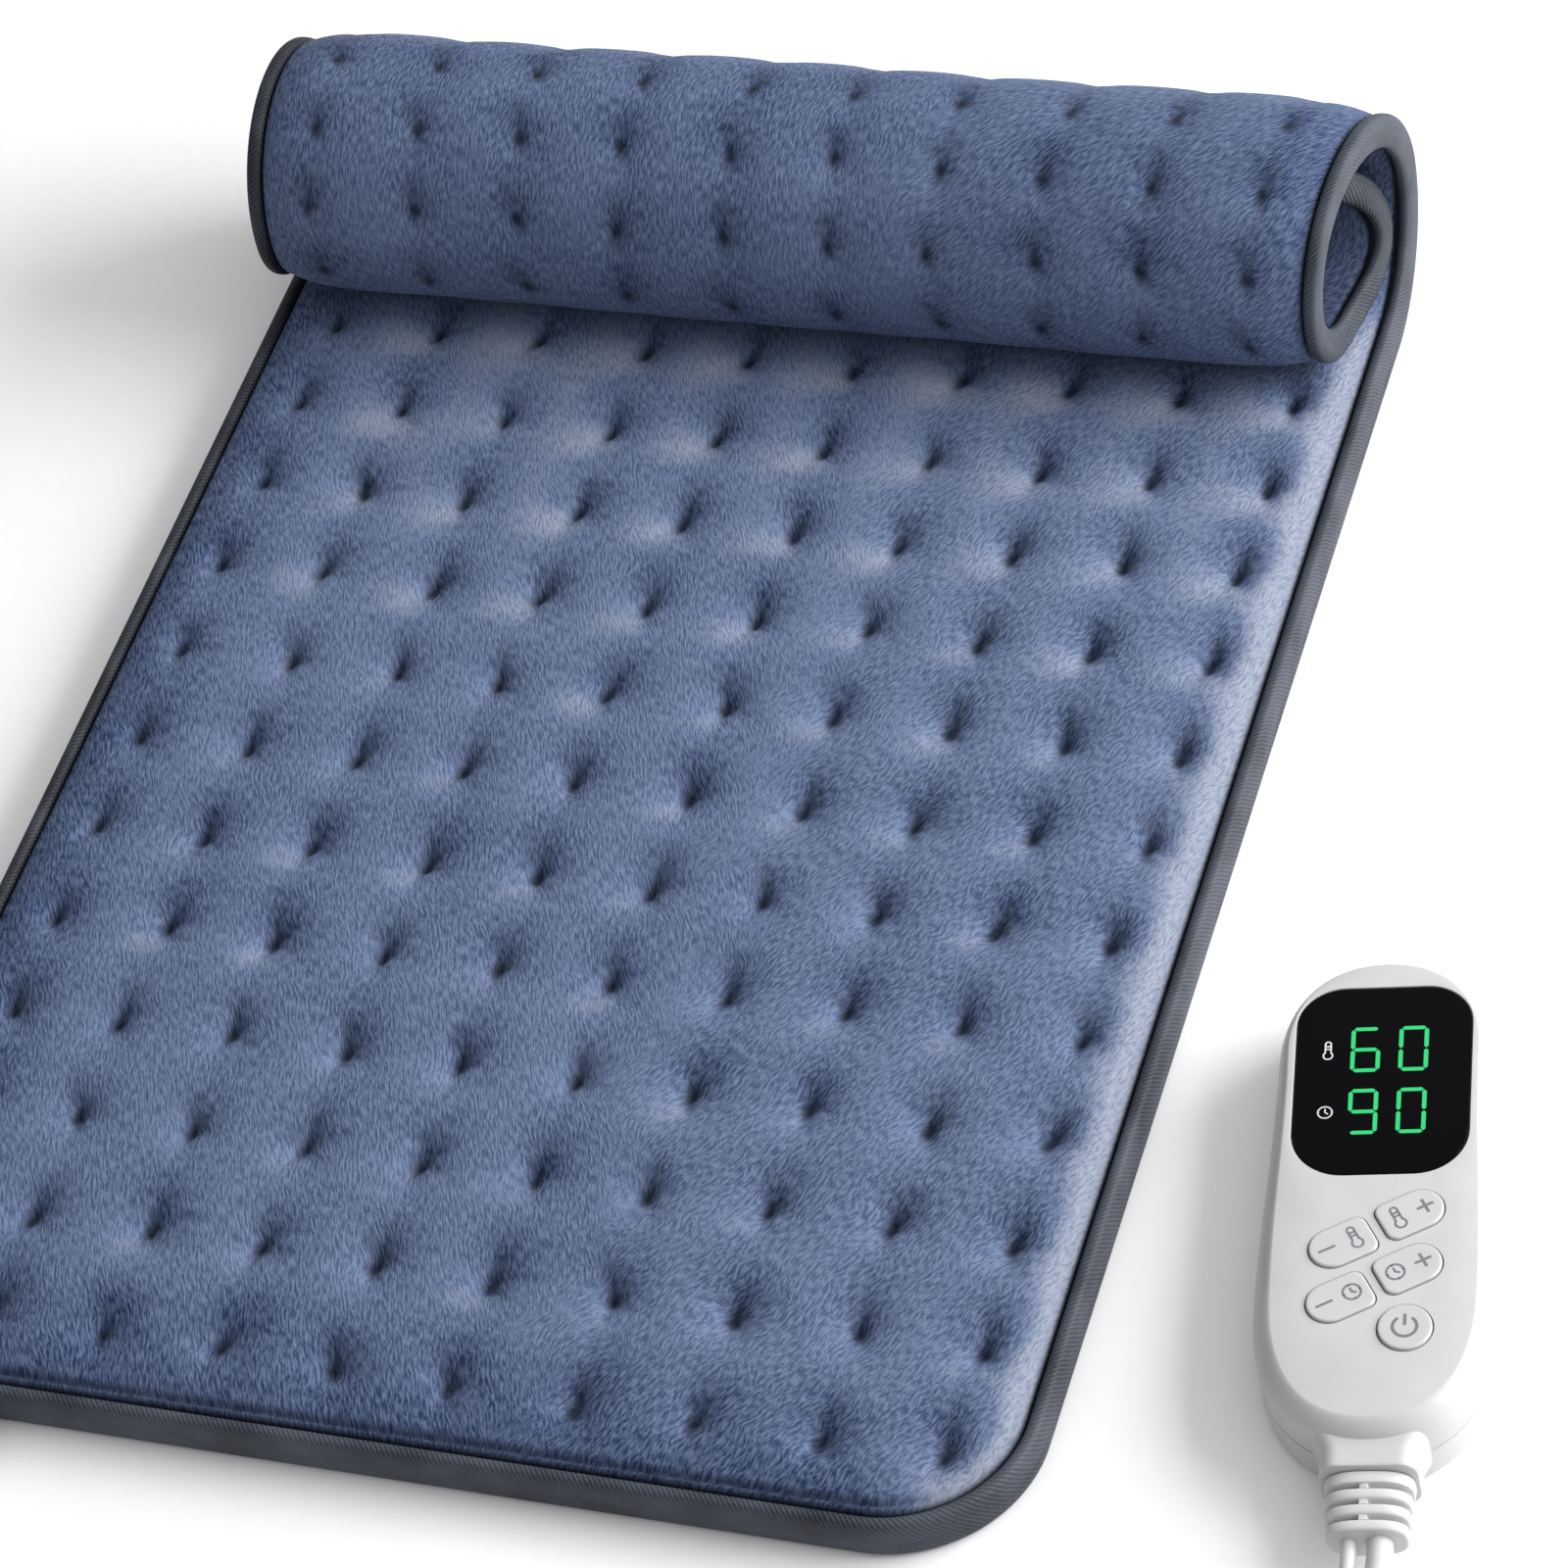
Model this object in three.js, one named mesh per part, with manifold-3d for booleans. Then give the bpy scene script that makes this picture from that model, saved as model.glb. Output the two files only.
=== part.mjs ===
// Heating pad with a corded hand controller: a tufted plush pad, rolled up at its far end, with a
// bound edge and a plug-in lead, and a white controller with a display and five push buttons.
// Millimetres, +Z up. The origin is on the pad's underside, on its centre line, midway between the
// front edge and the back of the roll. The pad's front edge faces -Y and the controller lies at +X.

import * as THREE from 'three';
import { mergeVertices } from 'three/addons/utils/BufferGeometryUtils.js';
import Module from 'manifold-3d';

const wasm = await Module();
wasm.setup();

// General clearances
const GAP = 0.3; // between pieces that seat on each other
const FLOOR_LIFT = 0.05; // keeps loose cord just off the table
const OVERRUN = 1; // how far a cutting tool runs past the face that it cuts

// Pad
const PAD_WIDTH = 305;
const PAD_LENGTH = 610; // along the pad, unrolled
const PAD_THICKNESS = 14;
const PAD_CORNER = 35; // radius of the corners, at the outside of the binding
const BINDING_WIDTH = 4.2;
const BOTTOM_COVER = 5.4; // plush with its foam
const CARRIER = 0.8; // felt sheet that the heating wire is sewn to
const WIRE_DIAMETER = 1.6;
const TUFT_PITCH = 30;
const ROLL_TUFT_PITCH = 22.8; // between the rows seen on the outside of the roll
const ROLL_ROW_BACK = THREE.MathUtils.degToRad(8); // from the top of the roll back to a row
const TUFT_SIDE_MARGIN = 19.5;
const TUFT_END_MARGIN = 21;
const TUFT_DEPTH = 3.4;
const TUFT_SPREAD = 6;
const EDGE_ROUND = 5; // width over which a cover's crown falls to its sewn edge
const EDGE_DROP = 1.2;

// Roll at the pad's far end
const ROLL_RADIUS = 37; // outside of the outer turn
const ROLL_SLACK = 0.5; // between one turn and the next
const END_EASE = 0.9; // extra room inside the binding at the rolled-in end, where it bends most
const OUTER_SWEEP = THREE.MathUtils.degToRad(270);
const CURL_SWEEP = THREE.MathUtils.degToRad(90);
const INNER_SWEEP = THREE.MathUtils.degToRad(172.5);
const TURN_STEP = THREE.MathUtils.degToRad(15);
const RIGHT_DRAW = 0.16; // how far the roll's right end draws in, per mm of depth from its back
const LEFT_DRAW = 0.045;

// Heating wire
const WIRE_RUN_PITCH = 44;
const WIRE_BEND = 8;
const WIRE_MARGIN = 27; // from the pad's edge to the first run
const WIRE_RETURN_MARGIN = 15; // from the pad's edge to the run that comes back
const CUTOUT = new THREE.Vector2(4, 12); // thermal cut-out in its sleeve

// Socket on the pad's front edge, and the connector in it
const SOCKET_FROM_SIDE = 45.5; // from the pad's left edge to the socket's middle
const SOCKET_WIDTH = 21;
const SOCKET_HEIGHT = 11;
const SOCKET_DEPTH = 16;
const SOCKET_WALL = 2.2;
const SOCKET_FLOOR = 5; // solid end that carries the pins
const SOCKET_CORNER = 2;
const MOUTH_CORNER = 1;
const TONGUE_WIDTH = 15;
const TONGUE_REACH = 24; // how far the tongue runs into the pad
const PIN_COUNT = 4;
const PIN_PITCH = 3.6;
const PIN_RADIUS = 0.7;
const PIN_SEAT = 3; // how deep a pin sits in the socket's solid end
const CONNECTOR_BODY = new THREE.Vector3(20, 22, 10.4);
const CONNECTOR_EDGE = new THREE.Vector2(0.6, 0.8); // rounding of its face: across and along
const CONNECTOR_TAPER = 6; // length over which the body narrows to its tail
const CONNECTOR_TAIL = 11;
const CONNECTOR_SLEEVE = new THREE.Vector3(4.4, 2.4, 2); // wider than the lead at root and end, root's length
const NOSE_CORNER = 0.8;
const CONNECTOR_GRIPS = 4;
const GRIP_START = 5; // from the connector's face to its first grip
const GRIP_PITCH = 2.4;
const GRIP = new THREE.Vector2(1.2, 0.6); // width and depth
const LEAD_SEAT = 8; // how deep a cord sits in a moulded end

// Controller housing
const CASE_LENGTH = 134;
const CASE_WIDTH = 54.4;
const CASE_TOP_WIDTH = 49.4;
const CASE_HEIGHT = 21;
const CASE_WALL = 2;
const PANEL = 2.4; // thickness of the front panel
const PARTING = 9.5; // height of the rear shell
const BEVEL_TOP = 2.4; // width of the sloped rim at the display end
const BEVEL_BOTTOM = 5.2; // and at the cord end
const BEVEL_HEIGHT = 6.5;
const NECK = new THREE.Vector3(22, 5.5, 15.5);
const NECK_WALL = 2;
const NECK_CORNER = 4;
const NECK_FLARE = 2.4; // how much the neck widens, each side, as it runs into the shoulders
const BACK_EDGE = [[2.6, 0], [1, 0.7], [0.2, 2.6]]; // rounding of the back: how far in, and how high
const BACK_EDGE_INSIDE = new THREE.Vector2(1.4, 1.6);
const PANEL_EDGE = new THREE.Vector2(0.5, 0.7); // rounding of the front panel's edge: across and down
const CASE_OUTLINE_STEPS = 44;
const SHOULDER = 37; // from the cord end up to the widest place
const DOME = 27; // from the display end down to the straight sides
const DOME_FLAT = 14; // how far the top of the dome runs nearly level, each way
const SHOULDER_EASE = new THREE.Vector2(17, 13); // how the cord end rounds into the sides: across and up
const SIDE_EASE = 25; // length over which the sides blend from one width to the other
const BESIDE_PAD = 61; // from the pad's edge to the controller's centre
const UP_FROM_EDGE = 103; // from the pad's front edge to the controller's centre
const CASE_TURN = THREE.MathUtils.degToRad(11);

// Display
const WINDOW = new THREE.Vector3(40, 53.6, 1.2);
const WINDOW_Y = 30.9;
const WINDOW_TOP_RADIUS = 10.6;
const WINDOW_BOTTOM_RADIUS = 12;
const WINDOW_LEDGE = 2;
const MODULE = new THREE.Vector2(30, 42);

// Buttons and their switches
const BUTTON_LENGTH = 15;
const BUTTON_WIDTH = 10.5;
const BUTTON_CORNER = 2.4;
const POWER_DIAMETER = 12.2;
const BUTTON_TILT = THREE.MathUtils.degToRad(27.5);
const BUTTON_PROUD = 0.6;
const BUTTON_TRAVEL = 0.7;
const BUTTON_EDGE = 0.4;
const BUTTON_FLANGE = new THREE.Vector2(0.9, 1); // how far it reaches out, and its thickness
const STEM_RADIUS = 1.5;
const SWITCH = new THREE.Vector2(6, 3.4); // width and height
const PLUNGER_RADIUS = 1.6;
const PLUNGER_RISE = 1.1; // above the switch body
const PLUNGER_SEAT = 1.8; // inside it
const TEMP_DOWN = new THREE.Vector2(-7.5, -15.6);
const TEMP_UP = new THREE.Vector2(8, -7.3);
const TIMER_DROP = 15; // from a temperature button to the timer button below it
const POWER = new THREE.Vector2(7.5, -38.7);
const BUTTONS = [
  { name: 'temp_down', x: TEMP_DOWN.x, y: TEMP_DOWN.y, tilt: BUTTON_TILT },
  { name: 'temp_up', x: TEMP_UP.x, y: TEMP_UP.y, tilt: BUTTON_TILT + Math.PI },
  { name: 'timer_down', x: TEMP_DOWN.x, y: TEMP_DOWN.y - TIMER_DROP, tilt: BUTTON_TILT },
  { name: 'timer_up', x: TEMP_UP.x, y: TEMP_UP.y - TIMER_DROP, tilt: BUTTON_TILT + Math.PI },
  { name: 'power', x: POWER.x, y: POWER.y, round: true },
];

// Board and what it carries
const BOARD = new THREE.Vector3(32, 104, 1.6);
const UNDER_BOARD = 6.4; // room below the board
const BOARD_POST_RADIUS = 2;
const BOARD_POST = new THREE.Vector2(12, 47);
const FILM_CAPACITOR = new THREE.Vector3(13, 15, 5.2);
const FILM_PLACE = new THREE.Vector2(-7, -30);
const ELECTROLYTIC = new THREE.Vector2(2.7, 12); // radius and length
const ELECTROLYTIC_PLACE = new THREE.Vector2(8, -30);
const FUSE = new THREE.Vector2(2.5, 20);
const FUSE_PLACE = new THREE.Vector2(9, 18);
const TRIAC = new THREE.Vector3(10, 9, 4.2);
const TRIAC_TAB = new THREE.Vector2(6, 1.3);
const TRIAC_HOLE = 1.6;
const TRIAC_Y = -8;

// Case screws
const SCREW_X = 20.3;
const SCREW_UPPER_Y = -2;
const SCREW_LOWER_Y = -44;
const SCREWS = [SCREW_UPPER_Y, SCREW_LOWER_Y].flatMap((y) => [[-SCREW_X, y], [SCREW_X, y]]);
const SCREW_HEAD = new THREE.Vector2(2.3, 1.6); // radius and height
const SCREW_SINK = 0.4; // how far the head lies below the back
const SCREW_SHANK = 1;
const SCREW_LENGTH = 14;
const BOSS_RADIUS = 3.5;

// Strain relief at the controller
const BOOT_FLANGE = new THREE.Vector3(17.4, 2.4, 10.9);
const BOOT_SHANK = new THREE.Vector2(14, 8);
const BOOT_COLLAR = new THREE.Vector3(20.2, 3, 12.6);
const BOOT_EDGE = 0.4; // rounding of the collar's edges
const BOOT_END = new THREE.Vector2(18, 10.6);
const BOOT_RIBS = 3;
const BOOT_RIB = 2.7;
const BOOT_SLOT = 1.2;
const BOOT_GROOVE = 1.2; // depth of the groove between two ribs
const SLOT_WIDTH = 5;

// Cords
const PAD_LEAD = 3.6;
const MAINS_LEAD = 6;
const PAD_LEAD_X = -4.2; // where each cord leaves the strain relief, across the controller
const MAINS_LEAD_X = 2.6;
const LEAD_SIDES = 8;

// Coil of spare mains lead
const COIL_CENTRE = new THREE.Vector2(265, -263);
const COIL_INNER = 27; // radius of the innermost turn
const COIL_LAYERS = 4;
const COIL_LAYER_TURNS = 2.25;
const COIL_PITCH = 6.6; // from turn to turn and from layer to layer
const COIL_STEPS = 24; // per turn
const COIL_SIDES = 6;
const TIE_WIDTH = 11;
const TIE_THICKNESS = 1.2;
const TIE_CORNER = 4;

// Mains plug
const PLUG_PLACE = new THREE.Vector2(325, -262); // where the cord enters it
const PLUG = new THREE.Vector3(26, 25, 17.6);
const PLUG_TAIL = 24;
const PLUG_TAIL_WIDTH = 10;
const PLUG_TAIL_SWELL = 1; // how much the tail widens towards the body, and narrows towards its end
const PLUG_TAIL_RINGS = [0.3, 0.5, 0.7]; // grooves, as shares of the tail's length
const PLUG_RING = new THREE.Vector2(1.6, 0.9); // width and depth of a groove
const PLUG_SHOULDER = [[8, 4, 0], [2, 1, 6], [0, 0, 14]]; // narrower, lower, and how far past the tail
const PLUG_EDGE = new THREE.Vector2(1.6, 1); // rounding of its face: across and along
const BLADE = new THREE.Vector3(1.5, 17, 6.4);
const BLADE_PITCH = 12.7;
const BLADE_SEAT = 9;
const BLADE_CORNER = 2.4;

// Finishes
const finish = (color, roughness, metalness = 0) =>
  new THREE.MeshStandardMaterial({ color, roughness, metalness });
const plush = finish('#4a628f', 0.9);
const twill = finish('#4a4f5a', 0.85);
const felt = finish('#8d8f93', 0.95);
const redWire = finish('#b5473f', 0.5);
const whiteAbs = finish('#e6e5e7', 0.4);
const blackGloss = finish('#060606', 0.08);
const greyModule = finish('#34363a', 0.5);
const greenBoard = finish('#1f6b45', 0.5);
const blackPlastic = finish('#202124', 0.5);
const whiteVinyl = finish('#e9e8e6', 0.45);
const steel = finish('#b9bcc0', 0.3, 1);
const brass = finish('#c9a557', 0.3, 1);
const yellowFilm = finish('#d8b13c', 0.45);
const blueSleeve = finish('#27355f', 0.4);
const glassTube = finish('#dfe6e4', 0.15);

// Solids

// Closes a mesh of points and triangles and turns its faces outwards.
function closedGeometry(points, faces) {
  const volume = faces.reduce(
    (sum, [a, b, c]) => sum + points[a].dot(points[b].clone().cross(points[c])), 0);
  const geometry = new THREE.BufferGeometry().setFromPoints(points);
  geometry.setIndex(faces.flatMap(([a, b, c]) => (volume < 0 ? [a, c, b] : [a, b, c])));
  return geometry;
}

// Fills the strip between two closed loops by always taking the nearer next point.
function stitch(faces, lower, lowerStart, upper, upperStart) {
  let i = 0;
  let j = 0;
  const ahead = (loop, k) => (k + 1 < loop.length ? loop[k + 1].t : 1);
  const at = (loop, start, k) => start + (k % loop.length);
  while (i < lower.length || j < upper.length) {
    const takeLower = i < lower.length
      && (j >= upper.length || ahead(lower, i) <= ahead(upper, j));
    const a = at(lower, lowerStart, i);
    const b = at(upper, upperStart, j);
    if (takeLower) {
      faces.push([a, at(lower, lowerStart, i + 1), b]);
      i += 1;
    } else {
      faces.push([a, at(upper, upperStart, j + 1), b]);
      j += 1;
    }
  }
}

// Caps an end loop, in the plane of its own coordinates.
function capLoop(faces, loop, start, reversed) {
  const contour = loop.map(({ q }) => q);
  const along = Math.sign(THREE.ShapeUtils.area(contour));
  THREE.ShapeUtils.triangulateShape(contour, []).forEach(([a, b, c]) => {
    const turns = Math.sign(THREE.ShapeUtils.area([contour[a], contour[b], contour[c]]));
    const forward = (turns === along) !== reversed;
    faces.push(forward ? [start + a, start + b, start + c] : [start + a, start + c, start + b]);
  });
}

// Skins a row of closed loops. Each loop point has its place p, how far round the loop it lies t
// (from 0 to 1) and its place q in the loop's own plane. A ring joins its last loop to its first.
function skin(loops, ring = false) {
  const points = [];
  const starts = loops.map((loop) => points.push(...loop.map(({ p }) => p)) - loop.length);
  const faces = [];
  const last = loops.length - 1;
  loops.forEach((loop, k) => {
    const next = (k + 1) % loops.length;
    if (ring || k < last) stitch(faces, loop, starts[k], loops[next], starts[next]);
  });
  if (!ring) {
    capLoop(faces, loops[0], starts[0], true);
    capLoop(faces, loops[last], starts[last], false);
  }
  return closedGeometry(points, faces);
}

// A loop of plane points, each put in place by a function.
function planeLoop(contour, place) {
  return contour.map((q, k) => ({ q, t: k / contour.length, p: place(q) }));
}

// Round tube through points, with a section of a few sides carried along without twist.
function sweepTube(path, radius, sides) {
  const tangents = path.map((p, k) => path[Math.min(k + 1, path.length - 1)].clone()
    .sub(path[Math.max(k - 1, 0)]).normalize());
  let side = new THREE.Vector3(0, 0, 1).cross(tangents[0]).normalize();
  const section = Array.from({ length: sides }, (_, k) => {
    const angle = (2 * Math.PI * k) / sides;
    return new THREE.Vector2(Math.cos(angle) * radius, Math.sin(angle) * radius);
  });
  return skin(path.map((p, k) => {
    side = side.clone().addScaledVector(tangents[k], -side.dot(tangents[k])).normalize();
    const up = tangents[k].clone().cross(side);
    return planeLoop(section, (q) => p.clone().addScaledVector(side, q.x).addScaledVector(up, q.y));
  }));
}

// Round tube along a smooth curve through hand-chosen points.
function cordTube(points, diameter, step) {
  const curve = new THREE.CatmullRomCurve3(points, false, 'centripetal');
  const section = new THREE.Shape(Array.from({ length: LEAD_SIDES }, (_, k) => {
    const angle = (2 * Math.PI * k) / LEAD_SIDES;
    return new THREE.Vector2(Math.cos(angle), Math.sin(angle)).multiplyScalar(diameter / 2);
  }));
  const steps = Math.max(2, Math.round(curve.getLength() / step));
  return new THREE.ExtrudeGeometry(section, { steps, extrudePath: curve });
}

function toSolid(geometry) {
  const bare = geometry.clone();
  bare.deleteAttribute('normal');
  bare.deleteAttribute('uv');
  const merged = mergeVertices(bare, 1e-4);
  return new wasm.Manifold(new wasm.Mesh({
    numProp: 3,
    vertProperties: Float32Array.from(merged.attributes.position.array),
    triVerts: Uint32Array.from(merged.index.array),
  }));
}

function toGeometry(body) {
  const mesh = body.getMesh();
  const geometry = new THREE.BufferGeometry();
  geometry.setAttribute('position', new THREE.BufferAttribute(mesh.vertProperties, mesh.numProp));
  geometry.setIndex(new THREE.BufferAttribute(mesh.triVerts, 1));
  return geometry;
}

const join = (...pieces) => toGeometry(pieces.map(toSolid).reduce((a, b) => a.add(b)));
const cut = (piece, ...tools) =>
  toGeometry(tools.map(toSolid).reduce((a, b) => a.subtract(b), toSolid(piece)));
const common = (a, b) => toGeometry(toSolid(a).intersect(toSolid(b)));

// Box from its lowest to its highest corner.
function block(low, high) {
  const size = new THREE.Vector3(...high).sub(new THREE.Vector3(...low));
  const middle = new THREE.Vector3(...high).add(new THREE.Vector3(...low)).divideScalar(2);
  return new THREE.BoxGeometry(size.x, size.y, size.z).translate(middle.x, middle.y, middle.z);
}

// Upright cylinder from one height to another.
function post(radius, x, y, low, high, sides = 12) {
  return new THREE.CylinderGeometry(radius, radius, high - low, sides)
    .rotateX(Math.PI / 2).translate(x, y, (low + high) / 2);
}

// Cylinder along Y.
function rod(radius, x, z, low, high, sides = 12) {
  return new THREE.CylinderGeometry(radius, radius, high - low, sides)
    .translate(x, (low + high) / 2, z);
}

// Rectangle with its own corner radius at the top and at the bottom.
function roundedRectangle(width, height, topRadius, bottomRadius = topRadius) {
  const shape = new THREE.Shape();
  const x = width / 2;
  const y = height / 2;
  shape.absarc(x - bottomRadius, bottomRadius - y, bottomRadius, -Math.PI / 2, 0);
  shape.absarc(x - topRadius, y - topRadius, topRadius, 0, Math.PI / 2);
  shape.absarc(topRadius - x, y - topRadius, topRadius, Math.PI / 2, Math.PI);
  shape.absarc(bottomRadius - x, bottomRadius - y, bottomRadius, Math.PI, 1.5 * Math.PI);
  return shape;
}

// Extrusion of a plan shape from one height to another.
function plate(shape, low, high, curveSegments = 4) {
  return new THREE.ExtrudeGeometry(shape, { depth: high - low, bevelEnabled: false, curveSegments })
    .translate(0, 0, low);
}

// Extrusion along Y of a shape drawn across, with its height as the second coordinate.
function bar(shape, low, high, x, z, curveSegments = 2) {
  return plate(shape, -high, -low, curveSegments).rotateX(Math.PI / 2).translate(x, 0, z);
}

// Flat oval section, as a loop at one place along Y.
function ovalLoop(width, height, y, x, z, steps = 16) {
  const power = 0.72; // below 1 squares the oval off a little
  const soften = (value) => Math.sign(value) * Math.abs(value) ** power;
  return planeLoop(Array.from({ length: steps }, (_, k) => {
    const angle = (2 * Math.PI * k) / steps;
    return new THREE.Vector2(
      (soften(Math.cos(angle)) * width) / 2, (soften(Math.sin(angle)) * height) / 2);
  }), (q) => new THREE.Vector3(x + q.x, y, z + q.y));
}

// Pad: the path of its middle, from the front edge along the table and round the roll

const OUTER_TURN = ROLL_RADIUS - PAD_THICKNESS / 2;
const LAYER = PAD_THICKNESS + ROLL_SLACK;
const INNER_TURN = OUTER_TURN - LAYER;
const ROLL_LENGTH = OUTER_TURN * OUTER_SWEEP + LAYER + INNER_TURN * (CURL_SWEEP + INNER_SWEEP);
const FLAT_RUN = PAD_LENGTH - ROLL_LENGTH;
const FRONT_EDGE = -(FLAT_RUN + ROLL_RADIUS) / 2;
const ROLL_BACK_RUN = FLAT_RUN + OUTER_TURN * (Math.PI / 2);
const CREASE_RUN = FLAT_RUN - OUTER_TURN;
const ROLL_FRONT_RUN = FLAT_RUN + OUTER_TURN * OUTER_SWEEP + INNER_TURN * CURL_SWEEP;

// Stations along the pad: run s, place y and z of the middle, and the slope a.
function padStations() {
  const stations = [{ s: 0, y: FRONT_EDGE, z: PAD_THICKNESS / 2, a: 0 }];
  const go = (length, sweep) => {
    const steps = Math.max(1, Math.round(sweep / TURN_STEP));
    for (let k = 0; k < steps; k += 1) {
      const { s, y, z, a } = stations[stations.length - 1];
      const turn = sweep / steps;
      const radius = sweep ? length / sweep : 0;
      const chord = sweep ? 2 * radius * Math.sin(turn / 2) : length;
      stations.push({
        s: s + length / steps,
        y: y + chord * Math.cos(a + turn / 2),
        z: z + chord * Math.sin(a + turn / 2),
        a: a + turn,
      });
    }
  };
  go(FLAT_RUN, 0);
  go(OUTER_TURN * OUTER_SWEEP, OUTER_SWEEP);
  go(INNER_TURN * CURL_SWEEP, CURL_SWEEP);
  go(LAYER, 0);
  go(INNER_TURN * INNER_SWEEP, INNER_SWEEP);
  return stations;
}

const STATIONS = padStations();
const ROLL_BACK = FRONT_EDGE + FLAT_RUN + OUTER_TURN;

// A point of the pad at a station: x across and n up from the middle. The turns draw in at the ends.
function stationPoint({ s, y, z, a }, x, n) {
  const draw = (x > 0 ? RIGHT_DRAW : LEFT_DRAW) / (PAD_WIDTH / 2);
  const narrow = s > ROLL_BACK_RUN ? 1 - draw * (ROLL_BACK - y) : 1;
  return new THREE.Vector3(x * narrow, y - n * Math.sin(a), z + n * Math.cos(a));
}

// A point of the pad at any run, on the flat stretch between its two stations.
function padPoint(s, x, n) {
  const k = STATIONS.findIndex((station, i) => i > 0 && s <= station.s + 1e-6);
  const next = k < 0 ? STATIONS.length - 1 : k;
  const [from, to] = [STATIONS[next - 1], STATIONS[next]];
  const share = (s - from.s) / (to.s - from.s);
  return stationPoint(from, x, n).lerp(stationPoint(to, x, n), share);
}

// Heights of the layers, from the pad's middle
const UNDERSIDE = -PAD_THICKNESS / 2;
const TOPSIDE = PAD_THICKNESS / 2;
const BOTTOM_INNER = UNDERSIDE + BOTTOM_COVER;
const CARRIER_LOW = BOTTOM_INNER + GAP;
const CARRIER_HIGH = CARRIER_LOW + CARRIER;
const WIRE_LOW = CARRIER_HIGH + GAP;
const WIRE_HIGH = WIRE_LOW + WIRE_DIAMETER;
const TOP_INNER = WIRE_HIGH + GAP;

const COVER_INSET = BINDING_WIDTH + GAP;

// Tuft places, spread evenly between the margins
function tuftPlaces(length, margin, centre) {
  const spaces = Math.max(1, Math.round((length - 2 * margin) / TUFT_PITCH));
  const pitch = (length - 2 * margin) / spaces;
  return Array.from({ length: spaces + 1 }, (_, k) => margin + k * pitch - centre);
}
const TUFT_COLUMNS = tuftPlaces(PAD_WIDTH, TUFT_SIDE_MARGIN, PAD_WIDTH / 2);
const TUFT_ROWS = tuftPlaces(PAD_LENGTH, TUFT_END_MARGIN, 0);

// Rows on the outside of the roll, where the cloth lies further out than the pad's middle
const ROLL_PITCH = (ROLL_TUFT_PITCH * OUTER_TURN) / ROLL_RADIUS;
const ROLL_ROW = FLAT_RUN + OUTER_TURN * (Math.PI - ROLL_ROW_BACK);
const FIRST_ROW = ROLL_ROW - Math.floor((ROLL_ROW - FLAT_RUN) / ROLL_PITCH) * ROLL_PITCH;
const ROLL_ROWS = Array.from(
  { length: Math.ceil((ROLL_FRONT_RUN - FIRST_ROW) / ROLL_PITCH) }, (_, k) => FIRST_ROW + k * ROLL_PITCH);

// Half the width of a layer at a run, inside the pad's rounded corners.
function halfWidth(s, inset) {
  const corner = PAD_CORNER - inset;
  const fromEnd = Math.min(s, PAD_LENGTH - s - END_EASE) - inset;
  const straight = PAD_WIDTH / 2 - PAD_CORNER;
  if (fromEnd >= corner) return straight + corner;
  return straight + Math.sqrt(Math.max(0, corner ** 2 - (corner - fromEnd) ** 2));
}

// Runs of a layer's rows: its two rounded ends, the stations of the roll and any others.
function layerRuns(inset, others) {
  const corner = PAD_CORNER - inset;
  const ends = [0, 0.08, 0.3, 0.62, 1].map((share) => inset + share * corner);
  const farEnds = ends.map((s) => PAD_LENGTH - END_EASE - s);
  const runs = [...ends, ...farEnds, ...STATIONS.map(({ s }) => s), ...others]
    .filter((s) => s >= inset - 1e-6 && s <= PAD_LENGTH - END_EASE - inset + 1e-6)
    .sort((a, b) => a - b);
  const least = 2.5; // rows nearer than this fall together
  const fixed = new Set([runs[0], runs[runs.length - 1], ...STATIONS.map(({ s }) => s)]);
  const kept = [];
  runs.forEach((s) => {
    const last = kept[kept.length - 1];
    const near = kept.length > 0 && s - last < least;
    if (near && (!fixed.has(s) || s - last < 1e-3)) return;
    if (near && !fixed.has(last)) kept.pop();
    kept.push(s);
  });
  return kept;
}

// Cross-wise places of a tufted row: edges, rounded shoulders, tufts and the crowns between them.
function tuftedRow(half) {
  const crowns = TUFT_COLUMNS.slice(1).map((x, k) => (x + TUFT_COLUMNS[k]) / 2);
  const scale = half / (PAD_WIDTH / 2 - COVER_INSET);
  const inner = [...TUFT_COLUMNS, ...crowns].map((x) => x * scale);
  const shoulder = half - EDGE_ROUND;
  return [-half, -shoulder, ...inner.filter((x) => Math.abs(x) < shoulder - 1), shoulder, half]
    .sort((a, b) => a - b);
}

// How far the sewn tufts and the sewn edge pull a cover in, at a run and a place across.
function pullIn(rows, s, x, half) {
  const scale = half / (PAD_WIDTH / 2 - COVER_INSET);
  const tuft = rows.reduce((most, row) => Math.max(most, ...TUFT_COLUMNS.map((column) => {
    const distance = Math.hypot(s - row, x - column * scale);
    return Math.exp(-((distance / TUFT_SPREAD) ** 2));
  })), 0);
  const edge = half - Math.abs(x) < 1e-6 ? EDGE_DROP : 0;
  return Math.max(tuft * TUFT_DEPTH, edge);
}

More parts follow.
